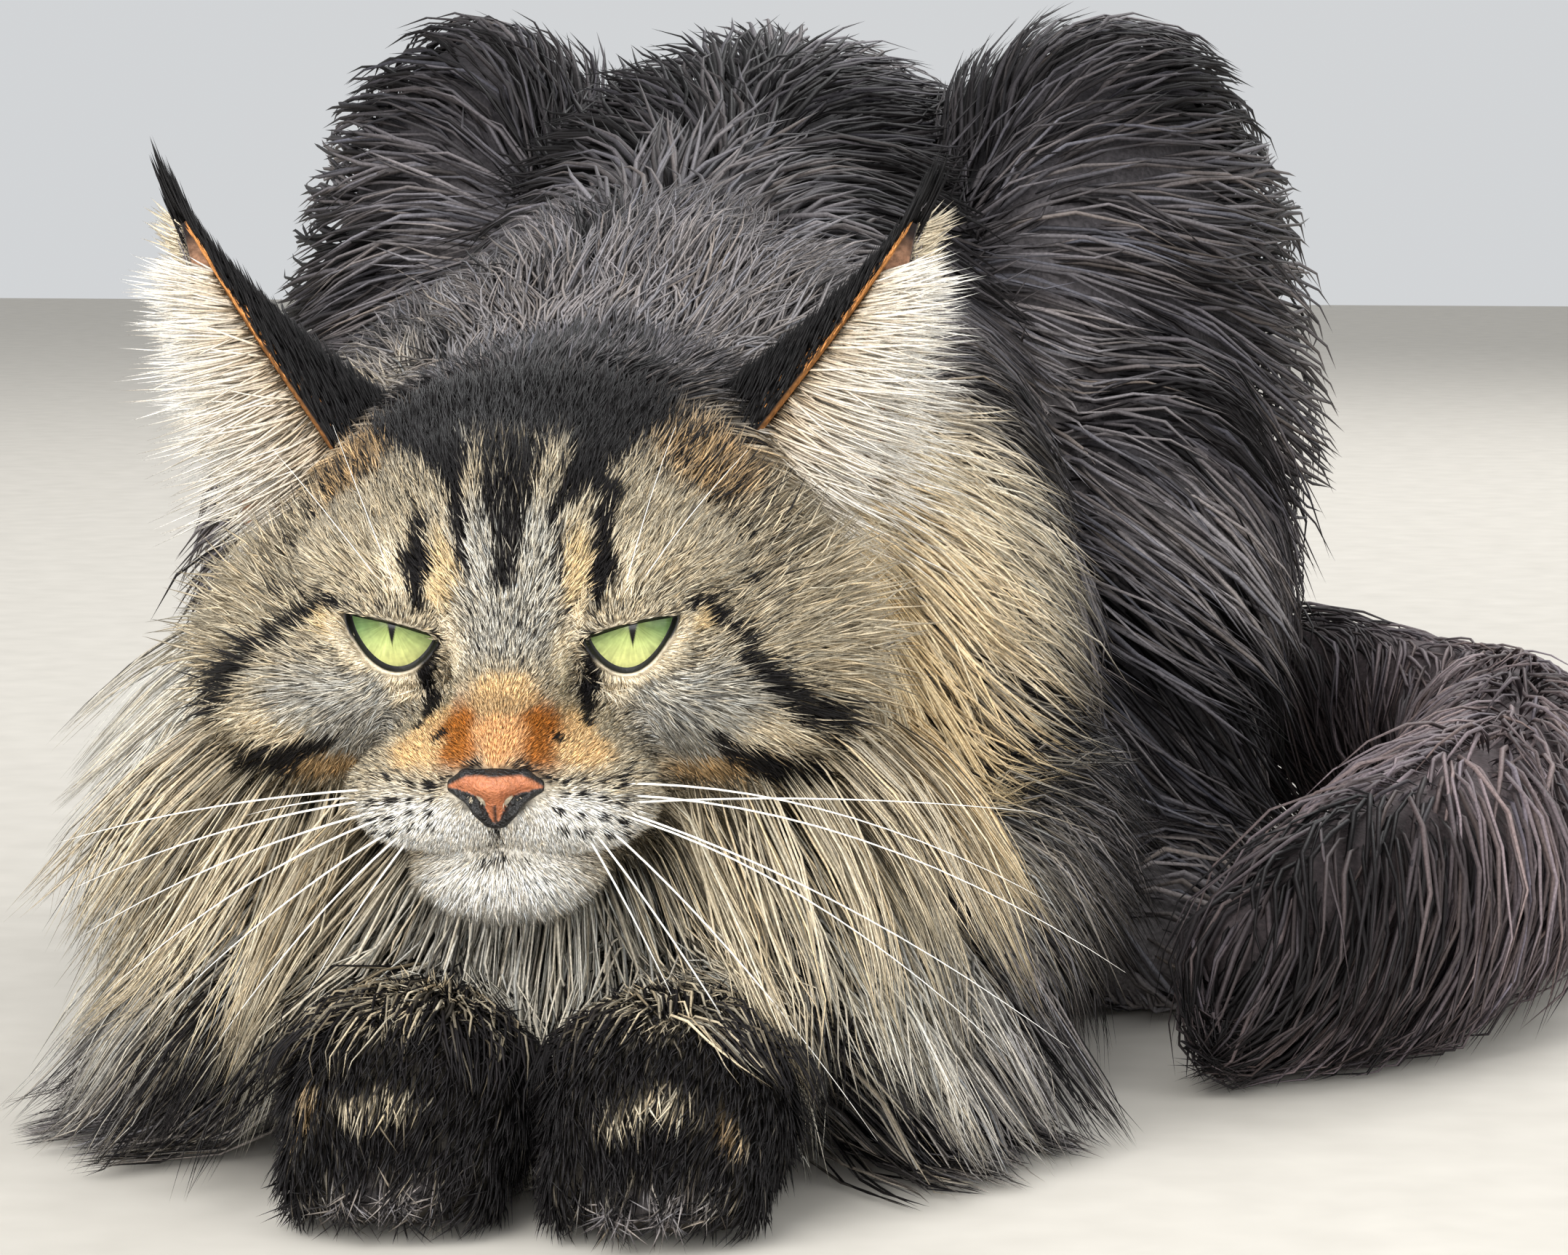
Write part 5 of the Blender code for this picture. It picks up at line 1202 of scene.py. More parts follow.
def make_lids(side, word):
    """For each step of the profile, a loop that is offset from the opening by that much: the inner
    ones at the eyeball's front, then rising over a rounded margin to the skin, and last below it."""
    t = (np.arange(LID_ROUND) + 0.5) / LID_ROUND
    edge = opening(t)
    ahead = unit(np.roll(edge, -1, axis=0) - np.roll(edge, 1, axis=0))
    out = np.column_stack([ahead[:, 1], -ahead[:, 0]])
    for _ in range(6):
        out = unit(out + 0.5 * (np.roll(out, 1, axis=0) + np.roll(out, -1, axis=0)))
    upper, loops = t > 0.5, []
    for d in LID_STEPS:
        flat = (edge + out * d) * (side, 1)
        ball = ball_front(flat, side, 0.015)
        face = face_front(flat)
        up = rise(d, *LID_UP)
        y = ball + (np.minimum(face, ball) - LID_PROUD - ball) * up * up * (3 - 2 * up)
        y = y + LID_TUCK * np.clip((-d) / 0.05, 0, 1.5)
        y = y + (np.maximum(face - LID_OVER, y) - y) * rise(d, *LID_OUT)
        y = y + LID_SINKS * rise(d, *LID_IN)
        y = y - LID_SWELL * np.exp(-(((d - LID_OUT[0]) / 0.06) ** 2)) * upper
        loops.append(np.column_stack([flat[:, 0], y, flat[:, 1]]))
    rings = np.stack(loops + [loops[-1] + LID_DEEP, loops[0] + LID_DEEP])
    faces = grid_faces(len(rings), LID_ROUND, closed_rows=True, closed_columns=True)
    made = outward(new_object("lids_" + word, from_head(rings.reshape(-1, 3)), faces))
    steps = np.repeat(np.append(LID_STEPS, LID_STEPS[[-1, 0]]), LID_ROUND)
    colour = skin_colours(from_head(rings.reshape(-1, 3)))
    inner = np.exp(-((np.minimum(t, 1 - t) / 0.04) ** 2)) + 0.4 * np.exp(-(((t - 0.5) / 0.04) ** 2))
    margin = np.tile(np.where(t > 0.5, 0.9, 0.62) * MARGIN_WIDTH + CORNER_WIDTH * inner, len(rings))
    set_colours(made, tinted(colour, BLACK * 0.45, rise(margin + 0.02, steps, 0.02)))
    unwrap(made)
    return made


LID_LOOK = hair_material("lids", 1500.0, 0.35, 0.35, 0.0001, gloss=0.3)
LIDS = [finish_piece(make_lids(*row), LID_LOOK, "face_coat") for row in SIDES]
print("lid corners:", LID_ROUND * (len(LID_STEPS) + 2))

# %% [markdown]
# The nose leather is bare, pebbled skin the colour of salmon, with a sooty rim above, a groove down the
# middle and two comma-shaped nostrils. It is its own surface net with cells a third of a millimetre wide.

# %% The nose
NOSE_BOX = ((-1.3, -3.8, -3.0), (1.3, -1.9, -1.2))
NOSE_CELL = 0.034
BAR_ROUTE = [(0.00, -2.95, -1.84), (0.48, -2.93, -1.80), (0.74, -2.84, -1.90)]
BAR_RADII = [0.24, 0.20, 0.10]
NOSTRIL_ROUTE = [(0.58, -3.07, -2.04), (0.42, -3.15, -2.11), (0.32, -3.14, -2.28)]
NOSTRIL_RADII = [0.03, 0.07, 0.04]
WING_ROUTE = [
    (0.76, -2.87, -1.97), (0.42, -3.04, -2.11), (0.29, -3.03, -2.34), (0.12, -2.94, -2.55),
    (0.0, -2.90, -2.60),
]
WING_RADII = [0.08, 0.12, 0.11, 0.10, 0.09]
HOLLOW_ROUTE = [(0.60, -2.90, -2.02), (0.36, -2.95, -2.16), (0.22, -2.95, -2.36)]
HOLLOW_RADII = [0.10, 0.15, 0.12]
COLUMN = ((0.0, -2.98, -1.95), (0.0, -2.90, -2.44), 0.27, 0.13)
SWELLING = ((0.0, -3.0, -1.84), (0.45, 0.36, 0.26), (0, 0, 0))
GROOVE = ((0.0, -3.4, -2.05), (0.0, -3.12, -2.75), 0.02, 0.05)
BAR_BENDS, BAR_TOP, BAR_END, GROOVE_TOP, BLACK_EDGE = 0.48, -1.70, 0.79, -2.2, 0.05
LEATHER = linear(184, 114, 76)
LEATHER_DEEP = linear(140, 74, 48)


def leather_distance(local):
    """The pink leather: a wide bar above, a column that narrows below it, swollen where they meet."""
    pad = chain_distance(folded(local), BAR_ROUTE, BAR_RADII)
    pad = melt(pad, limb_distance(local, *COLUMN), 0.08)
    return melt(pad, ball_distance(local, *SWELLING), 0.1)


def nose_distance(local):
    """The leather and, a little behind it, the wings round the nostrils and the floor of each, with the
    nostrils and the middle groove taken out."""
    pad = leather_distance(local)
    for route, radii in ((WING_ROUTE, WING_RADII), (HOLLOW_ROUTE, HOLLOW_RADII)):
        pad = melt(pad, chain_distance(folded(local), route, radii), 0.03)
    holes = chain_distance(folded(local), NOSTRIL_ROUTE, NOSTRIL_RADII)
    return -melt(melt(-pad, holes, 0.03), limb_distance(local, *GROOVE), 0.05)


def make_nose():
    """The net of the nose, in leather's colours where the leather is, black above and beside it as its own
    rim, and black beyond it, on the wings, on the nostril floors and along the groove, as painted shade."""
    low, high = NOSE_BOX
    axes = [np.arange(a, b, NOSE_CELL) for a, b in zip(low, high)]
    points, quads = surface_net(nose_distance, axes)
    made = outward(new_object("nose", from_head(points), quads))
    shade = lattice_noise(points, 0.22, 51)
    colour = tinted(LEATHER, LEATHER_DEEP, 0.2 + 0.5 * (shade - 0.5))
    x, _, z = folded(points).T
    height = z + 0.7 * np.maximum(x - BAR_BENDS, 0.0) + 0.06 * (shade - 0.5)
    # Black: the leather's own rim above and beside it, and painted shade on the wings, nostril floors and
    # groove
    black = np.maximum.reduce([
        rise(height, BAR_TOP, BLACK_EDGE), rise(x, BAR_END, BLACK_EDGE),
        rise(leather_distance(points), 0.012, 0.012), np.exp(-((x / 0.04) ** 2)) * (z < GROOVE_TOP),
    ])
    set_colours(made, tinted(colour, BLACK * 0.5, black))
    return made


NOSE_LOOK = hair_material("nose leather", 1600.0, 0.3, 0.28, 0.0006)
nose = finish_piece(make_nose(), NOSE_LOOK, "nose_leather", "nose")
print("nose faces:", len(nose.data.polygons))

# %% [markdown]
# The line of the mouth is a fold. It is drawn as a dark, flattened tube that lies half sunk along the
# skin, from the middle of the upper lip out under the whisker pads.

# %% The line of the mouth
MOUTH_HALF = [(0.0, -3.12), (0.6, -3.3), (1.2, -3.36), (1.75, -3.26)]
LIP_LINE = [(0.0, -2.42), (0.0, -2.8), (0.0, -3.12)]


def tube(name, points, radii, sides=8):
    """A ring of corners round each point of a path, square to it, and a flat cap at each end."""
    points, radii = np.asarray(points, float), np.asarray(radii, float)
    along = unit(np.gradient(points, axis=0))
    side = unit(np.cross(along, (0.3, 0.2, 1.0)))
    other = np.cross(along, side)
    angle = np.arange(sides)[None, :, None] * 2 * math.pi / sides
    spoke = np.cos(angle) * side[:, None] + np.sin(angle) * other[:, None]
    rings = points[:, None] + radii[:, None, None] * spoke
    faces = grid_faces(len(points), sides, closed_columns=True).tolist()
    first = list(range(sides))
    last = [(len(points) - 1) * sides + i for i in first]
    return outward(new_object(name, rings.reshape(-1, 3), faces + [first[::-1], last]))


def face_line(name, flat, radius, depth):
    """A tube along (x, z) points on the front of the face, thin at both ends."""
    knots = np.linspace(0, len(flat) - 1, 12 * (len(flat) - 1) + 1)
    fine = np.column_stack([np.interp(knots, np.arange(len(flat)), np.array(flat)[:, k]) for k in (0, 1)])
    for _ in range(8):
        fine[1:-1] = (fine[:-2] + 2 * fine[1:-1] + fine[2:]) / 4
    y = face_front(fine) + depth
    share = np.sin(np.linspace(0.12, math.pi - 0.12, len(fine))) ** 0.5
    made = tube(name, from_head(np.column_stack([fine[:, 0], y, fine[:, 1]])), radius * share * HEAD_CM)
    set_colours(made, np.tile(BLACK * 0.7, (len(made.data.vertices), 1)))
    return made


mouth_line = [(-x, z) for x, z in MOUTH_HALF[:0:-1]] + MOUTH_HALF
finish_piece(face_line("mouth_line", mouth_line, 0.06, 0.03), LID_LOOK, "face_coat")
finish_piece(face_line("lip_line", LIP_LINE, 0.045, 0.0), LID_LOOK, "face_coat")
print("mouth drawn through", len(mouth_line), "points")

# %% [markdown]
# Each ear is a thin plate of gristle rolled to a cup, open to the front and side. Its outside carries
# short black fur at the front edge, its inside is bare and pinkish behind long pale hair. A grid of two
# parameters makes it: across the cup runs an arc, and the arc's radius falls from the foot to the tip.

# %% The ears
EAR_BASE = (4.5, 7.0, 1.1)
EAR_TIP = (6.95, 7.9, 6.1)
EAR_OPENS = np.array((0.83, -0.55, 0.1))
EAR_RADIUS, EAR_TIP_RADIUS = 2.2, 0.12
EAR_WALL, EAR_TIP_WALL = 0.22, 0.1
EAR_ROLL, EAR_TIP_ROLL = 100, 75  # degrees from the back of the cup to its edge, at the foot and tip
EAR_BOW = 0.25
EAR_COLUMNS, EAR_ROWS = 41, 49


def ear_frame(side):
    """The foot and the rise of an ear's middle line, the way its cup opens, and the way across it."""
    base, up = np.array(EAR_BASE), np.array(EAR_TIP) - EAR_BASE
    ahead = EAR_OPENS - up * (EAR_OPENS @ up) / (up @ up)
    ahead /= np.linalg.norm(ahead)
    across = np.cross(up, ahead)
    across /= np.linalg.norm(across)
    return [on_side(part, side) for part in (base, up, ahead, across)]


def ear_point(u, v, side, off):
    """A point of the ear's plate, u from -1 at its front edge to 1 at its rear edge and v from 0 at
    the foot to 1 at the tip, with the wall's half thickness times off added to the radius."""
    base, up, ahead, across = ear_frame(side)
    bend = np.radians(EAR_ROLL - (EAR_ROLL - EAR_TIP_ROLL) * v) * u
    wall = (EAR_WALL + (EAR_TIP_WALL - EAR_WALL) * v) / 2
    radius = EAR_RADIUS * (1 - v) ** 1.15 + EAR_TIP_RADIUS + off * wall
    middle = base + up * v[..., None] + ahead * (EAR_BOW * np.sin(math.pi * v))[..., None]
    spoke = -np.cos(bend)[..., None] * ahead + np.sin(bend)[..., None] * across
    return middle + spoke * radius[..., None], spoke


EAR_PINK = linear(196, 150, 120)
EAR_ORANGE = linear(206, 140, 78)


def ear_paint(u, v, outside):
    """The ear's colours: black fur outside that turns brown to the rear, tan and pink inside, with an
    orange line along the front edge."""
    fur = tinted(BLACK, SMOKE, rise(u, -0.1, 0.9) * 0.6)
    inner = tinted(EAR_PINK, EAR_ORANGE, rise(-u, 0.55, 0.3))
    return np.where(outside[:, None], fur, tinted(inner, SOOT, rise(v, 0.86, 0.1)))


def make_ear(side, word):
    """The outer and the inner side of the plate as one closed loop of columns, with flat ends."""
    u, v = np.meshgrid(np.linspace(-1, 1, EAR_COLUMNS), np.linspace(-0.03, 1, EAR_ROWS))
    outer, _ = ear_point(u, np.clip(v, 0, 1), side, 1.0)
    inner, _ = ear_point(u, np.clip(v, 0, 1), side, -1.0)
    loop = np.concatenate([outer, inner[:, ::-1]], axis=1)
    rows, columns = loop.shape[:2]
    faces = grid_faces(rows, columns, closed_columns=True).tolist()
    half = EAR_COLUMNS
    for row, turned in ((0, True), (rows - 1, False)):
        start = row * columns
        for i in range(half - 1):
            ring = [start + i, start + i + 1, start + columns - 2 - i, start + columns - 1 - i]
            faces.append(ring[::-1] if turned else ring)
    made = outward(new_object("ear_" + word, from_head(loop.reshape(-1, 3)), faces))
    outside = np.concatenate([np.ones_like(u, bool), np.zeros_like(u, bool)], axis=1).ravel()
    both_u = np.concatenate([u, u[:, ::-1]], axis=1).ravel()
    both_v = np.concatenate([v, v[:, ::-1]], axis=1).ravel()
    set_colours(made, ear_paint(both_u, both_v, outside) * 0.8)
    unwrap(made)
    return made


EARS = {}
for side, word in SIDES:
    EARS[side] = finish_piece(make_ear(side, word), SKIN_LOOK, "ear_coat", "ear_" + word)
print("ear faces:", len(EARS[1].data.polygons))

# %% [markdown]
# The coat is made of tapered strands, each a small closed mesh of three sides. A real cat has far more
# and far finer hairs, so each strand here stands for a small tuft of them. All the strands of a piece
# are worked out at once as arrays: paths first, then rings of corners round them, then one mesh.

# %% How a strand is made
PATCH = 0.003  # width of each strand's patch on the bake map
MOST_TRIANGLES = 195000


def strand_taper(steps):
    """Half widths along a strand as shares: full from a quarter of the way, then thin to the tip."""
    t = np.linspace(0.0, 1.0, steps)
    return np.minimum(1.0, 0.6 + 1.6 * t) * (1.0 - t**3)


def strand_corners(paths, facing, width):
    """The root's point, a ring of three corners at each inner point of the path, two at the edges and
    one raised along the side that faces out, and the tip's point."""
    along = unit(np.gradient(paths, axis=1))
    across = unit(np.cross(along, facing[:, None]))
    up = np.cross(across, along)
    half = 0.5 * width[:, None] * strand_taper(paths.shape[1])[None]
    low = paths - up * (half * 0.35)[..., None]
    ring = np.stack([
        low - across * half[..., None], low + across * half[..., None], paths + up * (half * 0.65)[..., None],
    ], axis=2)[:, 1:-1]
    return np.concatenate([paths[:, :1], ring.reshape(len(paths), -1, 3), paths[:, -1:]], axis=1)


def strand_triangles(rings):
    """Triangles of one closed strand with this many rings: three at the root, two for each side
    between rings, and three at the tip."""
    turn = [(i, (i + 1) % 3) for i in range(3)]
    faces = [[0, 1 + b, 1 + a] for a, b in turn]
    for j in range(rings - 1):
        low, high = 1 + 3 * j, 4 + 3 * j
        for a, b in turn:
            faces += [[low + a, low + b, high + b], [low + a, high + b, high + a]]
    last = 3 * rings - 2
    faces += [[last + a, last + b, 3 * rings + 1] for a, b in turn]
    return np.array(faces)


def strands_object(name, paths, facing, width, colours, root_uv):
    """One mesh of closed strands. Colours are given along each path, and the bake map holds a small
    patch for each strand at its root's place."""
    count, steps = paths.shape[:2]
    corners = strand_corners(paths, facing, width)
    template = strand_triangles(steps - 2)
    if not faces_out(corners[0], template):
        template = template[:, ::-1]
    each = corners.shape[1]
    faces = (template[None] + np.arange(count)[:, None, None] * each).reshape(-1, 3)
    mesh = bpy.data.meshes.new(name)
    mesh.vertices.add(count * each)
    mesh.vertices.foreach_set("co", corners.astype(np.float32).ravel())
    mesh.loops.add(faces.size)
    mesh.loops.foreach_set("vertex_index", faces.astype(np.int32).ravel())
    mesh.polygons.add(len(faces))
    mesh.polygons.foreach_set("loop_start", np.arange(0, faces.size, 3, dtype=np.int32))
    mesh.polygons.foreach_set("use_smooth", np.ones(len(faces), bool))
    mesh.update(calc_edges=True)
    made = placed(name, mesh)
    repeats = [1] + [3] * (steps - 2) + [1]
    set_colours(made, np.repeat(colours, repeats, axis=1).reshape(-1, 3))
    row = np.repeat(np.linspace(-0.5, 0.5, steps), repeats)
    column = np.concatenate([[0.0], np.tile((-0.5, 0.5, 0.0), steps - 2), [0.0]])
    uv = (root_uv[:, None] + np.column_stack([column, row])[None] * PATCH).reshape(-1, 2)
    mesh.uv_layers.new(name=BAKE_MAP).data.foreach_set("uv", uv[faces.ravel()].astype(np.float32).ravel())
    return made


COAT_TRIANGLES = []


def coat_pieces(name, look, slot, paths, facing, width, colours, root_uv):
    """Splits the strands into as many pieces as the limit on triangles asks for, from front to back."""
    each = len(strand_triangles(paths.shape[1] - 2))
    pieces = math.ceil(len(paths) * each / MOST_TRIANGLES)
    order = np.argsort(paths[:, 0, 0] if pieces == 2 else paths[:, 0, 1])
    for number, part in enumerate(np.array_split(order, pieces)):
        title = name if pieces == 1 else f"{name}_{number + 1}"
        made = strands_object(title, paths[part], facing[part], width[part], colours[part], root_uv[part])
        finish_piece(made, look, slot)
    COAT_TRIANGLES.append(len(paths) * each)
    print(f"{name}: {len(paths)} strands, {len(paths) * each} triangles, {pieces} pieces")


print("triangles of a strand of three rings:", len(strand_triangles(3)))

# %% [markdown]
# Roots are scattered over the skin's triangles, with a chance that follows their area and how dense
# the coat is wanted there. A root keeps its place on the bake map, its normal and its markings.

# %% Where the hair grows
OPENING_STEPS = 48
# Borders between the kinds of hair, in the head's frame for the face and crown and in the body's else
FACE_BACK, FACE_SLANT, FACE_LOW, FACE_SIDE, NECK_FRONT = 3.2, 0.35, -4.9, 6.4, -19.0
CROWN_BACK, CROWN_LOW, CROWN_SIDE = 7.6, -0.6, 6.0
PAWS_BACK, PAWS_HIGH, RUFF_BACK = -23.2, 4.5, -11.5
UNDER_SLOPE, UNDER_HIGH = -0.6, 1.6  # no hair grows on what faces the floor


def eye_clearance(local):
    """The distance from the opening between the lids, seen from the front, on either side."""
    t = (np.arange(OPENING_STEPS) + 0.5) / OPENING_STEPS
    edge = opening(t)
    flat = folded(local)[:, [0, 2]]
    away = np.sqrt(((flat[:, None] - edge[None]) ** 2).sum(axis=2)).min(axis=1)
    inside = pit_distance(local * (1, 0, 1)) < -PIT_GROWS
    return np.where(inside, -away, away)


def regions():
    """For each triangle of the skin, which kind of hair grows on it. The kinds are taken in order, and
    each leaves out what those before it have."""
    cm, local = SKIN.middles / BODY_CM, to_head(SKIN.middles)
    x, y, z = folded(local).T
    kinds = {
        "face": (y < FACE_BACK + FACE_SLANT * z) & (z > FACE_LOW) & (x < FACE_SIDE) & (cm[:, 1] < NECK_FRONT),
        "crown": (y < CROWN_BACK) & (z > CROWN_LOW) & (x < CROWN_SIDE),
        "paws": (cm[:, 1] < PAWS_BACK) & (cm[:, 2] < PAWS_HIGH),
        "tail": on_tail(cm)[0],
        "ruff": cm[:, 1] < RUFF_BACK,
        "body": np.ones(len(cm), bool),
    }
    left = np.ones(len(cm), bool)
    under = (triangle_normals(SKIN)[:, 2] < UNDER_SLOPE) & (cm[:, 2] < UNDER_HIGH)
    masks = {}
    for name, mask in kinds.items():
        masks[name] = mask & left & ~under
        left &= ~mask
    return masks


REGIONS = regions()


def scatter(surface, weight, count, rng):
    """Random roots on a surface: triangles are drawn by weight times area, and points in them evenly."""
    chance = np.cumsum(weight * surface.areas)
    pick = np.searchsorted(chance, rng.uniform(0, chance[-1], count))
    a, b = rng.uniform(0, 1, (2, count))
    over = a + b > 1
    a, b = np.where(over, 1 - a, a), np.where(over, 1 - b, b)
    share = np.column_stack([1 - a - b, a, b])
    corners = surface.faces[pick]
    roots = (surface.points[corners] * share[..., None]).sum(axis=1)
    normals = unit((surface.normals[corners] * share[..., None]).sum(axis=1))
    uv = (surface.uv[pick] * share[..., None]).sum(axis=1)
    return roots, normals, uv


DUSKY_END = 0.4  # the share of the way up where the root's shade ends
TICKED_SHARE, TICK_FROM, TICK_WIDTH, TICK_DEPTH = 0.35, 0.7, 0.2, 0.7


def strand_colours(places, steps, rng, blend=0.3, root=0.6):
    """Each strand is pale or dark by the share of dark hairs at its place on the skin. With a wider
    blend more strands are in between. A strand is duskier at its root, and some tips are dark."""
    pale, dark = markings(places)
    count = len(places)
    night_share = np.clip((dark * (1.0 + blend) - rng.uniform(0, 1, count)) / blend, 0, 1)[:, None]
    vary = rng.normal(1.0, 0.12, (count, 1)).clip(0.65, 1.4)
    warm = rng.normal(0.0, 0.04, (count, 1)) * (1.0, 0.2, -1.0)
    light = pale * (vary + warm).clip(0.3, 1.6)
    night = BLACK * rng.uniform(0.6, 1.8, (count, 1))
    main = light + (night - light) * night_share
    t = np.linspace(0.0, 1.0, steps)[None, :, None]
    colours = main[:, None] * (root + (1.0 - root) * rise(t, 0.0, DUSKY_END))
    ticked = (rng.uniform(0, 1, count) < TICKED_SHARE * dark)[:, None, None]
    tip = rise(t, TICK_FROM, TICK_WIDTH) * ticked * TICK_DEPTH
    return colours + (BLACK - colours) * tip


for name, mask in REGIONS.items():
    print(name, "area:", (SKIN.areas[mask].sum() * 1e4).round(0), "square centimetres")

# %% [markdown]
# The hair of the face is short. It parts at the nose and flows back over the bridge, out over the
# cheeks and down round the chin, and it gets longer away from the nose. Each strand rises from its root
# and bends over to lie along the skin, so its path needs only the root's normal and the flow.

# %% The hair of the face
FACE_STRANDS, LID_STRANDS = 75000, 2600
FLOW_FROM, FLOW_BACK = (0.0, -3.9, -1.5), 0.25
CHEEK_SIDE, CHEEK_LOW, CHEEK_FALLS = (2.4, 2.5), (-1.5, 3.0), 0.45  # start and width of each band
MUZZLE_AT, MUZZLE_REACH, MUZZLE_FALLS = (0, -1.6, -3.0), (2.4, 1.6, 0.9), 0.5
EYE_ROUND, EYE_FLOW_WIDTH, EYE_TURNS = (1.3, 1, 0.8), 0.85, 0.9  # how the flow turns away from the eyes
SHORTEST_AT, NOSE_LENGTH, GROWS = (0.0, -2.6, -1.6), 0.16, 0.085
JOWL_SIDE, JOWL_LOW, JOWL_BACK, CHIN_LOW = (3.4, 2.2), (-2.5, 2.0), (1.5, 1.5), (3.3, 1.2)
JOWL_ADDS, REAR_ADDS, CHIN_ADDS = 0.9, 1.2, 0.35
LID_LEAST, LID_REACH = 0.35, 0.5  # the share of the length at the lids, and how far that is felt
DENSEST_AT, BARE_FROM = (0, -2, -1), -2.3
LID_FRONT, LID_SLANT, UPPER_MARGIN = 0.3, 0.24, 0.9


def flattened(ways, normals):
    """Ways laid on a surface: each less its part along the normal, and of unit length."""
    return unit(ways - (ways * normals).sum(axis=1, keepdims=True) * normals)


def face_flow(local, normals):
    """From a point before the nose to the root, turned up and outward near the eyes, with the part
    along the normal taken out."""
    flow = unit(local - FLOW_FROM)
    flow[:, 1] += FLOW_BACK
    x, _, z = folded(local).T
    cheek = rise(x, *CHEEK_SIDE) * rise(-z, *CHEEK_LOW)
    flow[:, 2] -= CHEEK_FALLS * cheek
    flow[:, 2] -= MUZZLE_FALLS * np.exp(-(((local - MUZZLE_AT) / MUZZLE_REACH) ** 2).sum(axis=1))
    side = np.where(local[:, 0] > 0, 1, -1)
    from_eye = np.column_stack([local[:, 0] - EYE_AT[0] * side, np.zeros(len(local)), z + 0.1])
    close = np.exp(-((np.linalg.norm(from_eye / EYE_ROUND, axis=1) / EYE_FLOW_WIDTH) ** 4))[:, None]
    return flattened(flow + unit(from_eye) * close * EYE_TURNS, normals)


def face_length(local):
    """Lengths in hundredths of a metre: a few millimetres by the nose and lids, over a centimetre at
    the cheeks and brow."""
    x, y, z = folded(local).T
    away = np.linalg.norm((local - SHORTEST_AT) / (1.0, 1.0, 1.1), axis=1)
    side = rise(x, *JOWL_SIDE) * rise(-z, *JOWL_LOW)
    rear = side * rise(y, *JOWL_BACK)
    length = NOSE_LENGTH + GROWS * away + JOWL_ADDS * side + REAR_ADDS * rear
    length = length + CHIN_ADDS * rise(-z, *CHIN_LOW)
    return length * (LID_LEAST + (1 - LID_LEAST) * rise(eye_clearance(local), 0.0, LID_REACH))


def short_paths(roots, normals, flow, length, lift, rng, steps=4):
    """A root sunk a little, then a curve whose height grows ever slower: along the flow by the length
    times t, and out by the length times the lift and the square root of t."""
    turn = rng.normal(0.0, 0.16, (len(roots), 1))
    flow = unit(flow + np.cross(normals, flow) * turn)
    t = np.linspace(0.0, 1.0, steps)[None, :, None]
    lift = (lift * rng.uniform(0.5, 1.5, len(roots)))[:, None, None]
    side = np.cross(normals, flow)[:, None] * rng.normal(0.0, 0.08, len(roots))[:, None, None] * t**2
    reach = length[:, None, None]
    out = normals[:, None] * (lift * t**0.6 - 0.02)
    return roots[:, None] + (flow[:, None] * t + side + out) * reach


def face_roots(rng):
    """Roots on the skin of the face, closer together toward the nose, and on the lids beyond their bare
    margins."""
    local = to_head(SKIN.middles)
    near = np.clip(1.7 - 0.17 * np.linalg.norm(local - DENSEST_AT, axis=1), 0.5, 1.7)
    bare = (nose_distance(local) < -0.01) & (local[:, 1] < BARE_FROM)
    weight = REGIONS["face"] * near * (eye_clearance(local) > LID_STEPS[-3]) * ~bare
    rows = [scatter(SKIN, weight, FACE_STRANDS, rng)]
    for piece in LIDS:
        lids = mesh_arrays(piece)
        local = to_head(lids.middles)
        away = eye_clearance(local)
        front = (triangle_normals(lids) @ HEAD_AXES)[:, 1] < LID_FRONT
        x, _, z = folded(local).T
        upper = z > FISSURE_INNER[1] + LID_SLANT * (x - FISSURE_INNER[0])
        margin = np.where(upper, UPPER_MARGIN, 1.0) * MARGIN_WIDTH
        weight = (away > margin) & (away < LID_STEPS[-2]) & front
        rows.append(scatter(lids, weight, LID_STRANDS, rng))
    return [np.concatenate(parts) for parts in zip(*rows)]


def grow_face():
    """Short strands over the face and lids, thicker and higher where they are longer."""
    rng = np.random.default_rng(101)
    roots, normals, uv = face_roots(rng)
    local = to_head(roots)
    flow = face_flow(local, normals @ HEAD_AXES) @ HEAD_AXES.T
    length = face_length(local) * rng.uniform(0.75, 1.2, len(roots)) * HEAD_CM
    lift = 0.32 + 0.1 * rise(folded(local)[:, 0], 0.0, 5.0)
    paths = short_paths(roots, normals, flow, length, lift, rng, steps=3)
    width = (0.0225 + 0.0105 * length / HEAD_CM) * rng.uniform(0.8, 1.25, len(roots)) * HEAD_CM
    colours = strand_colours(roots + flow * length[:, None] * 0.55, paths.shape[1], rng, root=0.92)
    coat_pieces("face_fur", FACE_LOOK, "face_coat", paths, normals, width, colours, uv)


grow_face()

# %% [markdown]
# Long hair follows the body. A foot runs over the skin the way the coat lies, the strand stands ever
# further off that foot up to the coat's depth, and its weight draws it down. To ask for the distance of a
# hundred thousand points at every step would take too long, so it is worked out once on a grid.

# %% Long hair
GRID_CELL = 0.004
GRID_LOW, GRID_HIGH = (-0.19, -0.36, -0.02), (0.26, 0.31, 0.27)
ROOT_SUNK = 0.0006
WANDER = 0.16  # how far a strand strays from the lie of the coat
FLOOR_GAPS = (0.0008, 0.004)
LEAST_GUIDES = 20


def sampled_field():
    """The skin's distance and its slope on an even grid."""
    axes = [np.arange(a, b, GRID_CELL) for a, b in zip(GRID_LOW, GRID_HIGH)]
    grid = np.stack(np.meshgrid(*axes, indexing="ij"), axis=-1)
    flat = grid.reshape(-1, 3)
    value = np.concatenate([body_distance(part) for part in np.array_split(flat, 8)]).reshape(grid.shape[:3])
    slope = np.stack(np.gradient(value, GRID_CELL), axis=-1)
    return np.concatenate([value[..., None], slope], axis=-1).astype(np.float32)


FIELD = sampled_field()


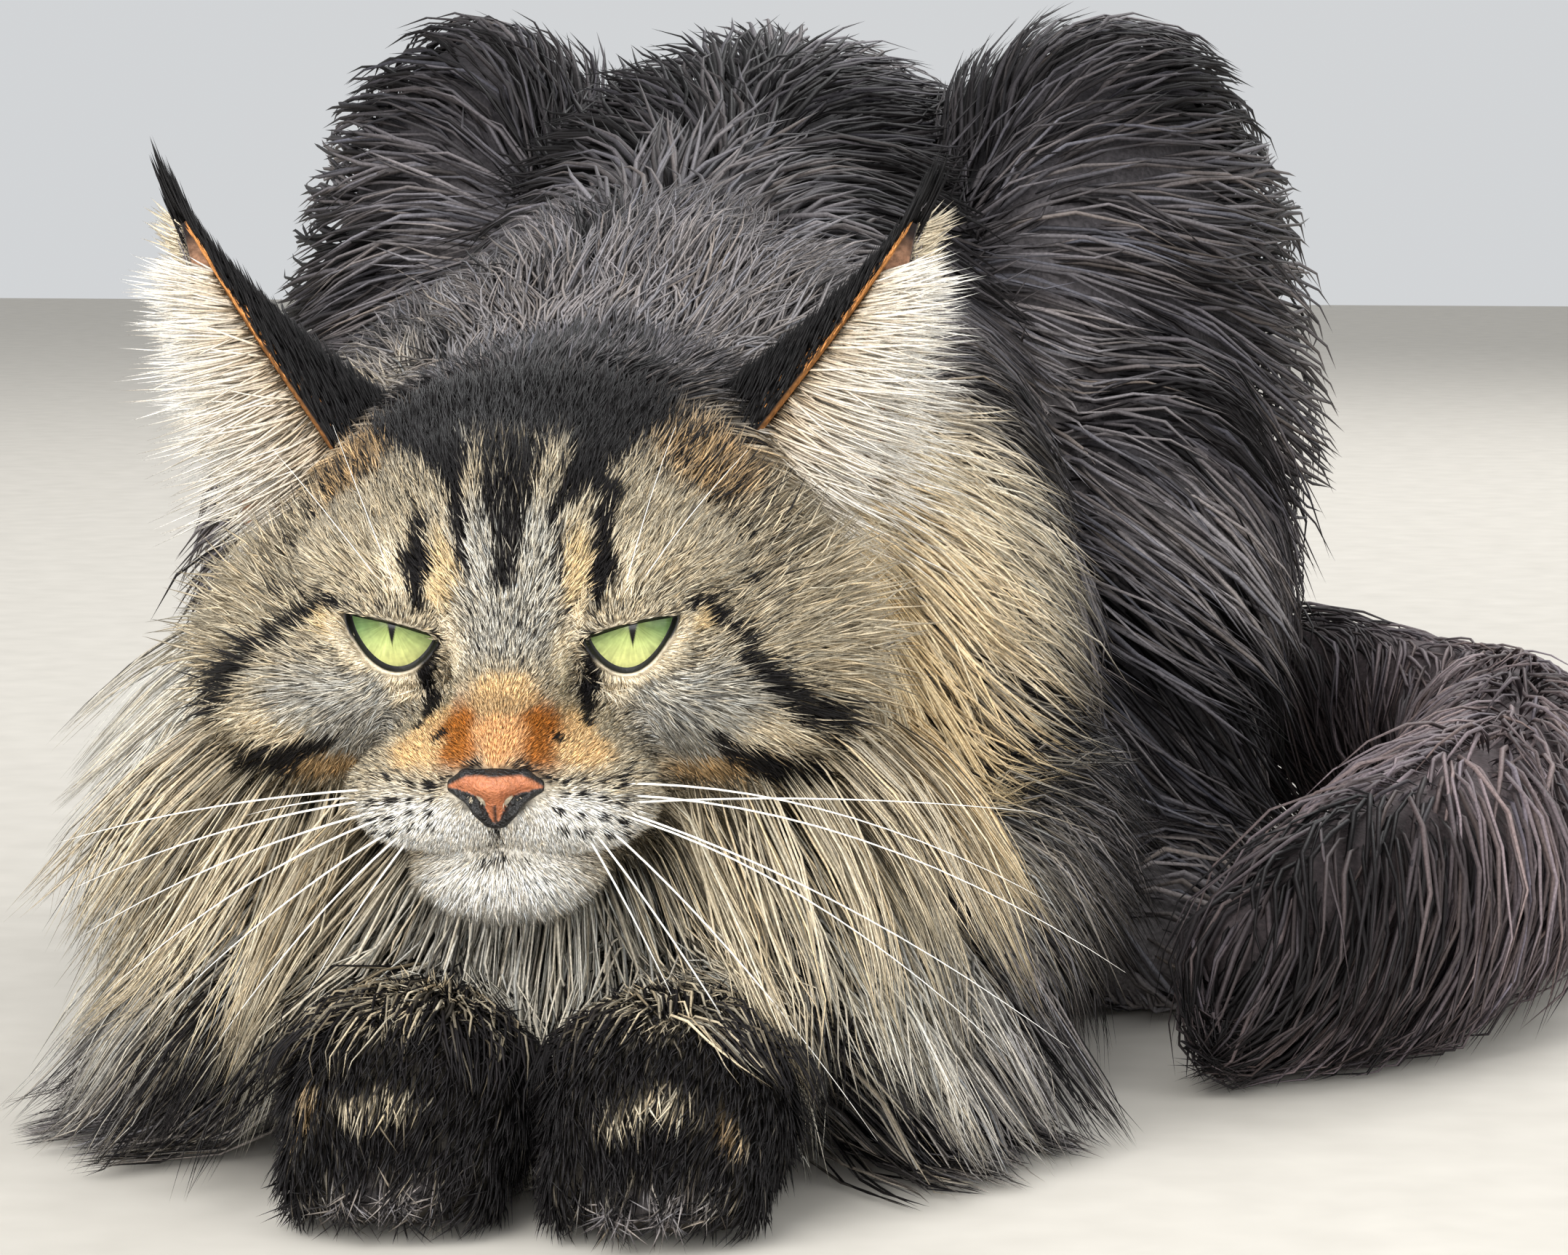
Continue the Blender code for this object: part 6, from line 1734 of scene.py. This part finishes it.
def read_field(points):
    """The distance and the outward normal at each point, blended between the grid's eight nearest."""
    at = np.clip((points - GRID_LOW) / GRID_CELL, 0.0, np.array(FIELD.shape[:3]) - 1.001)
    base = at.astype(int)
    part = at - base
    total = np.zeros((len(points), 4))
    for corner in np.ndindex(2, 2, 2):
        weight = np.prod(np.where(corner, part, 1.0 - part), axis=1)
        total += FIELD[tuple((base + corner).T)] * weight[:, None]
    return total[:, 0], unit(total[:, 1:])


def long_paths(roots, length, lift, droop, steps, rng):
    """Runs each foot over the skin in small steps and sets the strand above it: out by the lift times
    the share of the way to the power 0.8, and down by the droop times its square."""
    foot = roots.copy()
    turn = rng.normal(0.0, WANDER, (len(roots), 1))
    path = []
    for k in range(steps):
        t = k / (steps - 1)
        _, normal = read_field(foot)
        if k:
            way = flattened(lie_of_coat(foot), normal)
            way = unit(way + np.cross(normal, way) * turn)
            foot = foot + way * (length / (steps - 1))[:, None]
            distance, normal = read_field(foot)
            foot = foot - distance[:, None] * normal
        height = lift * t**0.8 - ROOT_SUNK
        down = (droop * t * t)[:, None] * (0.0, 0.0, -1.0)
        path.append(foot + normal * height[:, None] + down)
    return np.stack(path, axis=1)


def hanging_paths(roots, normals, length, way, steps, clear):
    """Steps that leave along the normal and turn to hang along a way of their own. Wherever one comes
    nearer to the body than its clearance, it is pushed straight out, so the hair drapes over the paws."""
    place, path = roots - normals * ROOT_SUNK, []
    for k in range(steps):
        t = (k - 0.5) / (steps - 1)
        if k:
            ahead = unit(normals * (1 - t) ** 2 + way * (0.25 + t))
            place = place + ahead * (length / (steps - 1))[:, None]
            distance, out = read_field(place)
            place = place + out * np.maximum(clear * min(1.0, 2 * t) - distance, 0.0)[:, None]
        path.append(place)
    return np.stack(path, axis=1)


def nearest(points, others):
    """The number of the nearest of the other points to each point."""
    tree = KDTree(len(others))
    for k, place in enumerate(others):
        tree.insert(place, k)
    tree.balance()
    return np.array([tree.find(place)[1] for place in points])


def clumped(paths, guides, strength, rng):
    """Draws each strand toward the nearest guide, more and more to its tip, so that locks form."""
    near = nearest(paths[:, 0], guides[:, 0])
    t = np.linspace(0.0, 1.0, paths.shape[1])[None, :, None]
    own = paths - paths[:, :1]
    led = guides[near] - guides[near][:, :1]
    offset = paths[:, :1] - guides[near][:, :1]
    pull = (strength * rng.uniform(0.5, 1.1, len(paths)))[:, None, None] * t**1.3
    return paths[:, :1] + own + (led - own - offset) * np.clip(pull, 0, 1)


def waved(paths, facing, size, wave, rng):
    """Adds a slow sideways wave that grows along the strand."""
    steps = paths.shape[1]
    t = np.linspace(0.0, 1.0, steps)[None, :]
    along = unit(np.gradient(paths, axis=1))
    across = unit(np.cross(along, facing[:, None]))
    phase = rng.uniform(0, 2 * math.pi, (len(paths), 1))
    swing = np.sin(phase + wave[:, None] * t * 2 * math.pi) - np.sin(phase)
    return paths + across * (size[:, None] * t**0.8 * swing)[..., None]


def above_floor(paths, rng):
    """Keeps strands off the floor, each at a height of its own."""
    least = rng.uniform(*FLOOR_GAPS, (len(paths), 1))
    paths[:, 1:, 2] = np.maximum(paths[:, 1:, 2], least)
    return paths


def long_hair(region, count, steps, rng, length, lift, droop, wave, hang=None):
    """Roots on a region and a waved path for each, laid along the body or hanging some way. The length
    and the lift follow from the coat's depth. Gives normals, places on the map and paths."""
    roots, normals, uv = scatter(SKIN, REGIONS[region], count, rng)
    depth = coat_depth(roots)
    reach = length(depth, roots) * rng.uniform(0.8, 1.2, count) * BODY_CM
    height = lift(depth, roots) * rng.uniform(0.6, 1.15, count) * BODY_CM
    drop = droop * reach * rng.uniform(0.6, 1.3, count)
    if hang:
        way = hang(roots / BODY_CM) + rng.normal(0, 0.07, (count, 3))
        paths = hanging_paths(roots, normals, reach, unit(way), steps, height)
    else:
        paths = long_paths(roots, reach, height, drop, steps, rng)
    size = wave * reach * rng.uniform(0.3, 1.3, count)
    return normals, uv, waved(paths, normals, size, rng.uniform(0.5, 1.2, count), rng)


def grow_long(name, region, count, steps, seed, slot, width, clump, per_guide, blend, root, **shape):
    """One region's hair: a few guides, then the strands, each drawn toward the guide next to it."""
    rng = np.random.default_rng(seed)
    _, _, guides = long_hair(region, max(LEAST_GUIDES, count // per_guide), steps, rng, **shape)
    normals, uv, paths = long_hair(region, count, steps, rng, **shape)
    paths = above_floor(clumped(paths, guides, clump, rng), rng)
    widths = width * rng.uniform(0.75, 1.3, count) * BODY_CM
    colours = strand_colours(paths[:, 1], steps, rng, blend, root)
    coat_pieces(name, COAT_LOOK, slot, paths, normals, widths, colours, uv)


print("field grid:", FIELD.shape)

# %% [markdown]
# The ruff stands out round the neck and is the longest hair of the front. The breast below it hangs in
# wavy locks over the backs of the paws, so it has its own, longer and more clumped strands.

# %% The ruff, breast and nape
THROAT_LOW, THROAT_BACK, THROAT_SIDE, THROAT_SLOPE = -2.6, 0.6, 6.0, 0.25  # in the head's frame
BREAST_BACK, BREAST_HIGH, BREAST_MIDDLE, BREAST_SIDE = -18.0, 8.6, 0.4, 6.5
PAW_TOP, PAW_FRONT = 2.9, -28.2  # hair of the breast grows above and behind these on the paws
PAW_LOCKS_HIGH, PAW_LOCKS_BACK = 4.4, -24.0


def split_breast(kinds):
    """Gives the breast its own kind: low in front on the ruff, on the throat and on the paws' tops."""
    x, y, z = (SKIN.middles / BODY_CM).T
    side, back, up = folded(to_head(SKIN.middles)).T
    down = triangle_normals(SKIN)[:, 2] < THROAT_SLOPE
    throat = (up < THROAT_LOW) & (back > THROAT_BACK) & (side < THROAT_SIDE) & down
    breast = (y < BREAST_BACK) & (z < BREAST_HIGH) & (np.abs(x - BREAST_MIDDLE) < BREAST_SIDE)
    paws = kinds["paws"] & (z > PAW_TOP) & (y > PAW_FRONT)
    kinds["breast"] = (kinds["ruff"] & breast) | (throat & (kinds["face"] | kinds["ruff"])) | paws
    kinds["ruff"] = kinds["ruff"] & ~breast


split_breast(REGIONS)


def on_paw(roots):
    """True for the roots on the backs of the paws, where the breast's hair ends in short locks."""
    cm = roots / BODY_CM
    return (cm[:, 2] < PAW_LOCKS_HIGH) & (cm[:, 1] < PAW_LOCKS_BACK)


def breast_way(cm):
    """Down and a little forward, parted at the middle and drawn out to the sides."""
    side = (cm[:, 0] - PAW_LINE_X) * 0.11
    return np.column_stack([side, np.full(len(cm), -0.5), np.full(len(cm), -1.0)])


def drawn_in(roots):
    """A share that falls toward the floor, where the ruff is shorter and lies closer."""
    return 0.45 + 0.55 * rise(roots[:, 2] / BODY_CM, 2.0, 5.5)


grow_long(
    "ruff_fur", "ruff", 12000, 5, 201, "ruff_coat",
    width=0.068, clump=0.78, per_guide=18, blend=0.9, root=0.7, droop=0.10, wave=0.075,
    length=lambda depth, roots: (1.6 + 1.3 * depth) * drawn_in(roots),
    lift=lambda depth, roots: 0.95 * depth * drawn_in(roots),
)
grow_long(
    "breast_fur", "breast", 8000, 6, 205, "ruff_coat",
    width=0.058, clump=0.88, per_guide=26, blend=0.7, root=0.75, droop=0.0, wave=0.09,
    length=lambda depth, roots: np.where(on_paw(roots), 1.9, 5.8),
    lift=lambda depth, roots: np.where(on_paw(roots), 0.2, 0.6), hang=breast_way,
)

# %% [markdown]
# Behind the face the hair is still short, and lies back from the brow to the nape between the ears.

# %% The crown and the back of the head
grow_long(
    "crown_fur", "crown", 6500, 4, 202, "face_coat",
    width=0.06, clump=0.6, per_guide=12, blend=0.5, root=0.6, droop=0.0, wave=0.04,
    length=lambda depth, roots: 1.4 + 0.3 * depth, lift=lambda depth, roots: 0.5 + 0.2 * depth,
)

# %% [markdown]
# The back and flanks carry the coarse guard hairs of the breed. A wide blend of pale and dark gives the
# smoky grey, in which single hairs hardly differ.

# %% The back, flanks and legs
grow_long(
    "body_fur", "body", 11000, 5, 203, "brown_coat",
    width=0.135, clump=0.6, per_guide=12, blend=1.6, root=0.75, droop=0.05, wave=0.05,
    length=lambda depth, roots: 1.9 + 1.6 * depth, lift=lambda depth, roots: 0.9 * depth,
)

# %% [markdown]
# The tail's hair is the longest of the rear. It runs toward the tip and falls to both sides.

# %% The tail
grow_long(
    "tail_fur", "tail", 4300, 6, 204, "brown_coat",
    width=0.122, clump=0.7, per_guide=14, blend=1.6, root=0.6, droop=0.2, wave=0.06,
    length=lambda depth, roots: 2.6 + 1.1 * depth, lift=lambda depth, roots: 0.9 * depth,
)

# %% [markdown]
# The paws carry short, dense, dark hair that runs forward and down over the toes.

# %% The paws
PAW_STRANDS, PAW_FLOW, PAW_LIFT = 14000, (0.0, -1.0, -0.45), 0.26


def grow_paws():
    """Short strands that lie forward and down, kept off the floor."""
    rng = np.random.default_rng(301)
    roots, normals, uv = scatter(SKIN, REGIONS["paws"], PAW_STRANDS, rng)
    flow = flattened(np.array(PAW_FLOW), normals)
    length = rng.uniform(0.6, 1.25, len(roots)) * BODY_CM
    paths = short_paths(roots, normals, flow, length, np.full(len(roots), PAW_LIFT), rng, steps=3)
    paths[..., 2] = np.maximum(paths[..., 2], ROOT_SUNK)
    width = rng.uniform(0.035, 0.06, len(roots)) * BODY_CM
    colours = strand_colours(paths[:, 1], paths.shape[1], rng, 0.5, 0.6)
    coat_pieces("paw_fur", FACE_LOOK, "brown_coat", paths, normals, width, colours, uv)


grow_paws()

# %% [markdown]
# An ear has five kinds of hair: a short pile over its outside, an orange line up its front edge, a loose
# fringe on its rear edge, the long pale hair that sweeps out of its cup, and the lynx tuft at its tip. Each
# kind gives its paths in the head's frame, the ways they face, a width, and its colours at root and tip.

# %% The hair of the ears
def ear_uv(piece, places):
    """The bake map's place on the ear for each root: that of the nearest corner of its mesh."""
    ear = mesh_arrays(piece)
    first = np.zeros((len(ear.points), 2))
    first[ear.faces.ravel()] = ear.uv.reshape(-1, 2)
    return first[nearest(places, ear.points)]


def ear_ways(side):
    """The ways up an ear, out of its cup, and across it."""
    _, up, ahead, across = ear_frame(side)
    return unit(up), ahead, across


EAR_WAYS = {side: ear_ways(side) for side, _ in SIDES}


def bent_paths(start, way, bend, length, steps):
    """Curves that leave their starts one way and bend toward another: start + length (way t + bend t^2)."""
    t = np.linspace(0.0, 1.0, steps)[None, :, None]
    bend = np.broadcast_to(bend, way.shape)
    return start[:, None] + (way[:, None] * t + bend[:, None] * t * t) * length[:, None, None]


def pile(side, rng, count=2400):
    """Short hair up the outside, thickest at the foot: black in front and smoky to fawn behind."""
    u, v = rng.uniform(-1, 1, count), 1 - np.sqrt(rng.uniform(0.0, 1.0, count))
    start, spoke = ear_point(u, v, side, 1.0)
    way = unit(EAR_WAYS[side][0] + rng.normal(0, 0.06, (count, 3)) + spoke * 0.06)
    length = rng.uniform(0.4, 0.8, count)
    rear = tinted(SMOKE, FAWN, rise(-v, -0.5, 0.5))
    colour = np.where((u < 0.25)[:, None], BLACK * 0.7, rear) * rng.uniform(0.6, 1.3, (count, 1))
    return bent_paths(start - spoke * 0.03, way, -spoke * 0.05, length, 4), spoke, 0.055, colour, colour


def front_edge(side, rng, count=700):
    """A line of orange hair up the front edge."""
    up, ahead, _ = EAR_WAYS[side]
    v = rng.uniform(0.0, 0.95, count)
    start, spoke = ear_point(rng.uniform(-0.98, -0.86, count), v, side, -0.6)
    way = unit(up + rng.normal(0, 0.05, (count, 3)) + ahead * 0.08)
    colour = EAR_ORANGE * rng.uniform(0.7, 1.25, (count, 1))
    paths = bent_paths(start, way, ahead * 0.03, rng.uniform(0.25, 0.42, count), 4)
    return paths, spoke, 0.04, colour, colour


def rear_edge(side, rng, count=900):
    """A loose pale fringe off the rear edge."""
    up, _, across = EAR_WAYS[side]
    v = rng.uniform(0.0, 1.0, count)
    start, spoke = ear_point(np.full(count, 0.98), v, side, 0.0)
    way = unit(up * 0.6 + across + spoke * 0.2 + rng.normal(0, 0.2, (count, 3)))
    colour = CREAM * rng.uniform(0.6, 1.1, (count, 1))
    paths = bent_paths(start, way, up * 0.2, rng.uniform(0.3, 1.1, count), 4)
    return paths, spoke, 0.045, colour * 0.7, colour


def lining(side, rng, count=1900):
    """Long pale hair that fans out of the cup, longest and lowest at the foot, tawny by the front edge."""
    up, ahead, across = EAR_WAYS[side]
    v = rng.uniform(0.0, 0.8, count) ** 1.1
    u = -0.95 + 1.5 * rng.uniform(0.0, 1.0, count) ** 1.4
    start, _ = ear_point(u, v, side, -1.0)
    fan = 1.1 * (v - 0.4)[:, None]
    way = unit(ahead * 0.7 + across * 0.4 + up * (0.05 + fan) + rng.normal(0, 0.13, (count, 3)))
    length = (3.7 - 2.9 * v) * rng.uniform(0.4, 1.1, count)
    bend = up * 0.12 + across * 0.12 + rng.normal(0, 0.07, (count, 3))
    tawny = rise(-u, 0.7, 0.2)
    tip = tinted(WHITE, GOLD, tawny * 0.3) * rng.uniform(0.85, 1.05, (count, 1))
    root = tinted(GOLD, TAN * 0.6, tawny * 0.8) * rng.uniform(0.4, 1.1, (count, 1))
    return bent_paths(start, way, bend, length, 5), np.tile(ahead, (count, 1)), 0.06, root, tip


def tip_tuft(side, rng, count=170):
    """The lynx tuft: black hair on past the tip, some of it leaning back."""
    up, ahead, _ = EAR_WAYS[side]
    start, spoke = ear_point(rng.uniform(-1, 1, count), rng.uniform(0.86, 1.0, count), side, 0.2)
    lean = np.where(rng.uniform(0, 1, count) < 0.6, 0.0, 0.22)[:, None] * (0.3 * side, 1.0, 0.0)
    way = unit(up + (0.08 * side, 0, 0) + lean + rng.normal(0, 0.025, (count, 3)))
    length = rng.uniform(0.9, 1.8, count) * (1 - 1.2 * lean[:, 1])
    colour = BLACK * rng.uniform(0.3, 0.8, (count, 1))
    return bent_paths(start, way, -ahead * 0.1, length, 5), spoke, 0.06, colour, colour


EAR_KINDS = {
    "pile": pile, "front_edge": front_edge, "rear_edge": rear_edge, "lining": lining, "tip_tuft": tip_tuft,
}


def grow_ears():
    """Each kind of hair on each ear is a piece. Colours run from the root's to the tip's."""
    for side, word in SIDES:
        rng = np.random.default_rng(400 + side)
        grown = {kind: grow(side, rng) for kind, grow in EAR_KINDS.items()}
        for kind, (paths, facing, width, root, tip) in grown.items():
            widths = width * rng.uniform(0.8, 1.2, len(paths)) * HEAD_CM
            share = np.linspace(0.0, 1.0, paths.shape[1])[None, :, None] ** 0.7
            colours = root[:, None] + (tip - root)[:, None] * share
            paths, facing = from_head(paths), facing @ HEAD_AXES.T
            uv = ear_uv(EARS[side], paths[:, 0])
            coat_pieces(f"ear_{kind}_{word}", FACE_LOOK, "ear_coat", paths, facing, widths, colours, uv)


grow_ears()

# %% [markdown]
# Whiskers are stiff white bristles, a third of a millimetre thick at the root and tapering to nothing.
# They leave the pads sideways and bow down under their weight, so each is a tube along a smooth curve.

# %% The whiskers
WHISKERS = [  # root (x, z), tip (x, y, z), and how far the middle rises over a straight line
    ((2.0, -2.1), (-8.6, 1.5, -4.3), 0.5), ((2.15, -2.3), (-8.2, 0.5, -4.9), 0.6),
    ((2.1, -2.5), (-7.9, 0.0, -5.6), 0.6), ((1.9, -2.55), (-7.4, -0.6, -6.5), 0.8),
    ((1.8, -2.8), (-6.2, -1.0, -6.6), 0.5), ((1.6, -2.8), (-5.5, -1.2, -7.5), 0.6),
    ((1.9, -2.2), (-5.0, 1.0, -3.6), 0.3), ((1.5, -2.9), (-3.6, -1.5, -6.2), 0.3),
    ((2.0, -2.0), (9.6, 0.5, -5.0), 1.3), ((2.15, -2.2), (10.9, 0.3, -6.2), 1.6),
    ((2.1, -2.45), (9.9, -0.4, -7.4), 1.0), ((1.95, -2.45), (8.9, -0.8, -7.5), 1.4),
    ((1.85, -2.7), (6.5, -1.2, -8.9), 0.9), ((1.6, -2.7), (5.3, -1.5, -9.3), 0.8),
    ((1.7, -2.3), (9.3, 1.6, -3.6), 0.5), ((1.5, -2.8), (3.2, -1.8, -6.7), 0.5),
]
BROW_WHISKERS = [((2.0, 0.75), (3.0, -0.4, 3.9)), ((2.2, 0.8), (4.2, 0.4, 3.3))]
PAD_THICK, BROW_THICK = (0.018, 0.003), (0.007, 0.002)  # added at the root, and least
BROW_BOW, WHISKER_SUNK, WHISKER_SIDES, WHISKER_STEPS = 0.3, 0.05, 6, 14


def whisker_curve(root, tip, bow):
    """A quadratic curve from root to tip whose middle point is raised by the bow and brought forward."""
    middle = (root + tip) / 2 + (0.0, -0.5, bow)
    t = np.linspace(0.0, 1.0, WHISKER_STEPS)[:, None]
    return root * (1 - t) ** 2 + 2 * middle * t * (1 - t) + tip * t * t


def joined(name, pieces):
    """One object of many, by Blender's own join."""
    bpy.ops.object.select_all(action="DESELECT")
    for piece in pieces:
        piece.select_set(True)
    bpy.context.view_layer.objects.active = pieces[0]
    bpy.ops.object.join()
    made = pieces[0]
    made.name = made.data.name = name
    made.select_set(False)
    return made


def whisker(x, z, tip, bow, thick, least):
    """A tube from the skin at (x, z) to the tip. Its radius is the least one, plus thick at the root,
    less thick times the share of the way to the power 1.5."""
    root = np.array((x, face_front(np.array([(x, z)]))[0] + WHISKER_SUNK, z))
    path = whisker_curve(root, tip, bow)
    radii = thick * (1 - np.linspace(0, 1, len(path)) ** 1.5) + least
    return tube("whisker", from_head(path), radii * HEAD_CM, WHISKER_SIDES)


def make_whiskers():
    """All the whiskers as one piece, with a little noise in their white."""
    made = []
    for (x, z), tip, bow in WHISKERS:
        made.append(whisker(math.copysign(x, tip[0]), z, np.array(tip), bow, *PAD_THICK))
    for (x, z), tip in BROW_WHISKERS:
        for side in (1, -1):
            made.append(whisker(x * side, z, on_side(tip, side), BROW_BOW, *BROW_THICK))
    whole = joined("whiskers", made)
    points, _ = corners_and_triangles(whole)
    set_colours(whole, WHITE * (0.85 + 0.15 * lattice_noise(points, 0.01, 71)[:, None]))
    return whole


WHISKER_LOOK = hair_material("whisker", 1200.0, 0.15, 0.3, 0.00003)
whiskers = finish_piece(make_whiskers(), WHISKER_LOOK, "face_coat")
print("whiskers:", len(WHISKERS) + 2 * len(BROW_WHISKERS))

# %% [markdown]
# The model stands on a plain pale floor under soft light. A broad lamp hangs in front and above, and a
# weaker one on the other side. One low in front and a small one near the floor light the breast and the
# underside of the chin. One behind draws the outline of the fur, and the surroundings are pale.

# %% Floor and light
FLOOR_HALF = 4.0
FLOOR_COLOURS = (linear(182, 177, 168), linear(200, 195, 186))
SURROUNDINGS, SURROUNDINGS_POWER = (0.86, 0.88, 0.9, 1.0), 0.75
LAMPS_AIM = Vector((0, -0.1, 0.08))


def add_floor():
    """A square of faintly mottled pale floor."""
    corners = [(x * FLOOR_HALF, y * FLOOR_HALF, 0) for x, y in ((-1, -1), (1, -1), (1, 1), (-1, 1))]
    floor = new_object("floor", corners, [[0, 1, 2, 3]], smooth=False)
    made = bpy.data.materials.new("pale floor")
    made.use_nodes = True
    tree = made.node_tree
    shader = set_inputs(tree.nodes["Principled BSDF"], Roughness=0.9)
    place, noise = add_node(tree, "TexCoord"), add_node(tree, "TexNoise", Scale=60.0)
    ramp = add_node(tree, "ValToRGB")
    for stop, colour in zip(ramp.color_ramp.elements, FLOOR_COLOURS):
        stop.color = (*colour, 1)
    wire(tree, [
        (place, "Object", noise, "Vector"), (noise, "Fac", ramp, "Fac"),
        (ramp, "Color", shader, "Base Color"),
    ])
    floor.data.materials.append(made)


LAMPS = [  # name, place, size, power, colour
    ("key", (-0.8, -1.6, 1.5), 1.6, 50.0, (1.0, 1.0, 0.99)),
    ("fill", (1.6, -1.3, 0.8), 1.8, 20.0, (0.97, 0.99, 1.0)),
    ("front", (-0.2, -1.7, 0.22), 1.2, 20.0, (1.0, 1.0, 1.0)),
    ("low", (0.1, -1.2, 0.07), 0.5, 3.8, (1.0, 1.0, 1.0)),
    ("rim", (0.5, 1.7, 1.6), 1.4, 30.0, (1.0, 1.0, 1.0)),
]


def add_lamps():
    """Square area lamps, all aimed at the cat."""
    for name, place, size, power, colour in LAMPS:
        data = bpy.data.lights.new(name, "AREA")
        data.size = size
        data.energy = power
        data.color = colour
        lamp = placed(name, data)
        lamp.location = place
        lamp.rotation_euler = aimed(LAMPS_AIM - Vector(place))


def add_world():
    """The pale surroundings, which light the model from all sides."""
    world = bpy.data.worlds.new("surroundings")
    bpy.context.scene.world = world
    world.use_nodes = True
    set_inputs(world.node_tree.nodes["Background"], Color=SURROUNDINGS, Strength=SURROUNDINGS_POWER)


add_floor()
add_lamps()
add_world()
print("coat triangles in all:", sum(COAT_TRIANGLES))
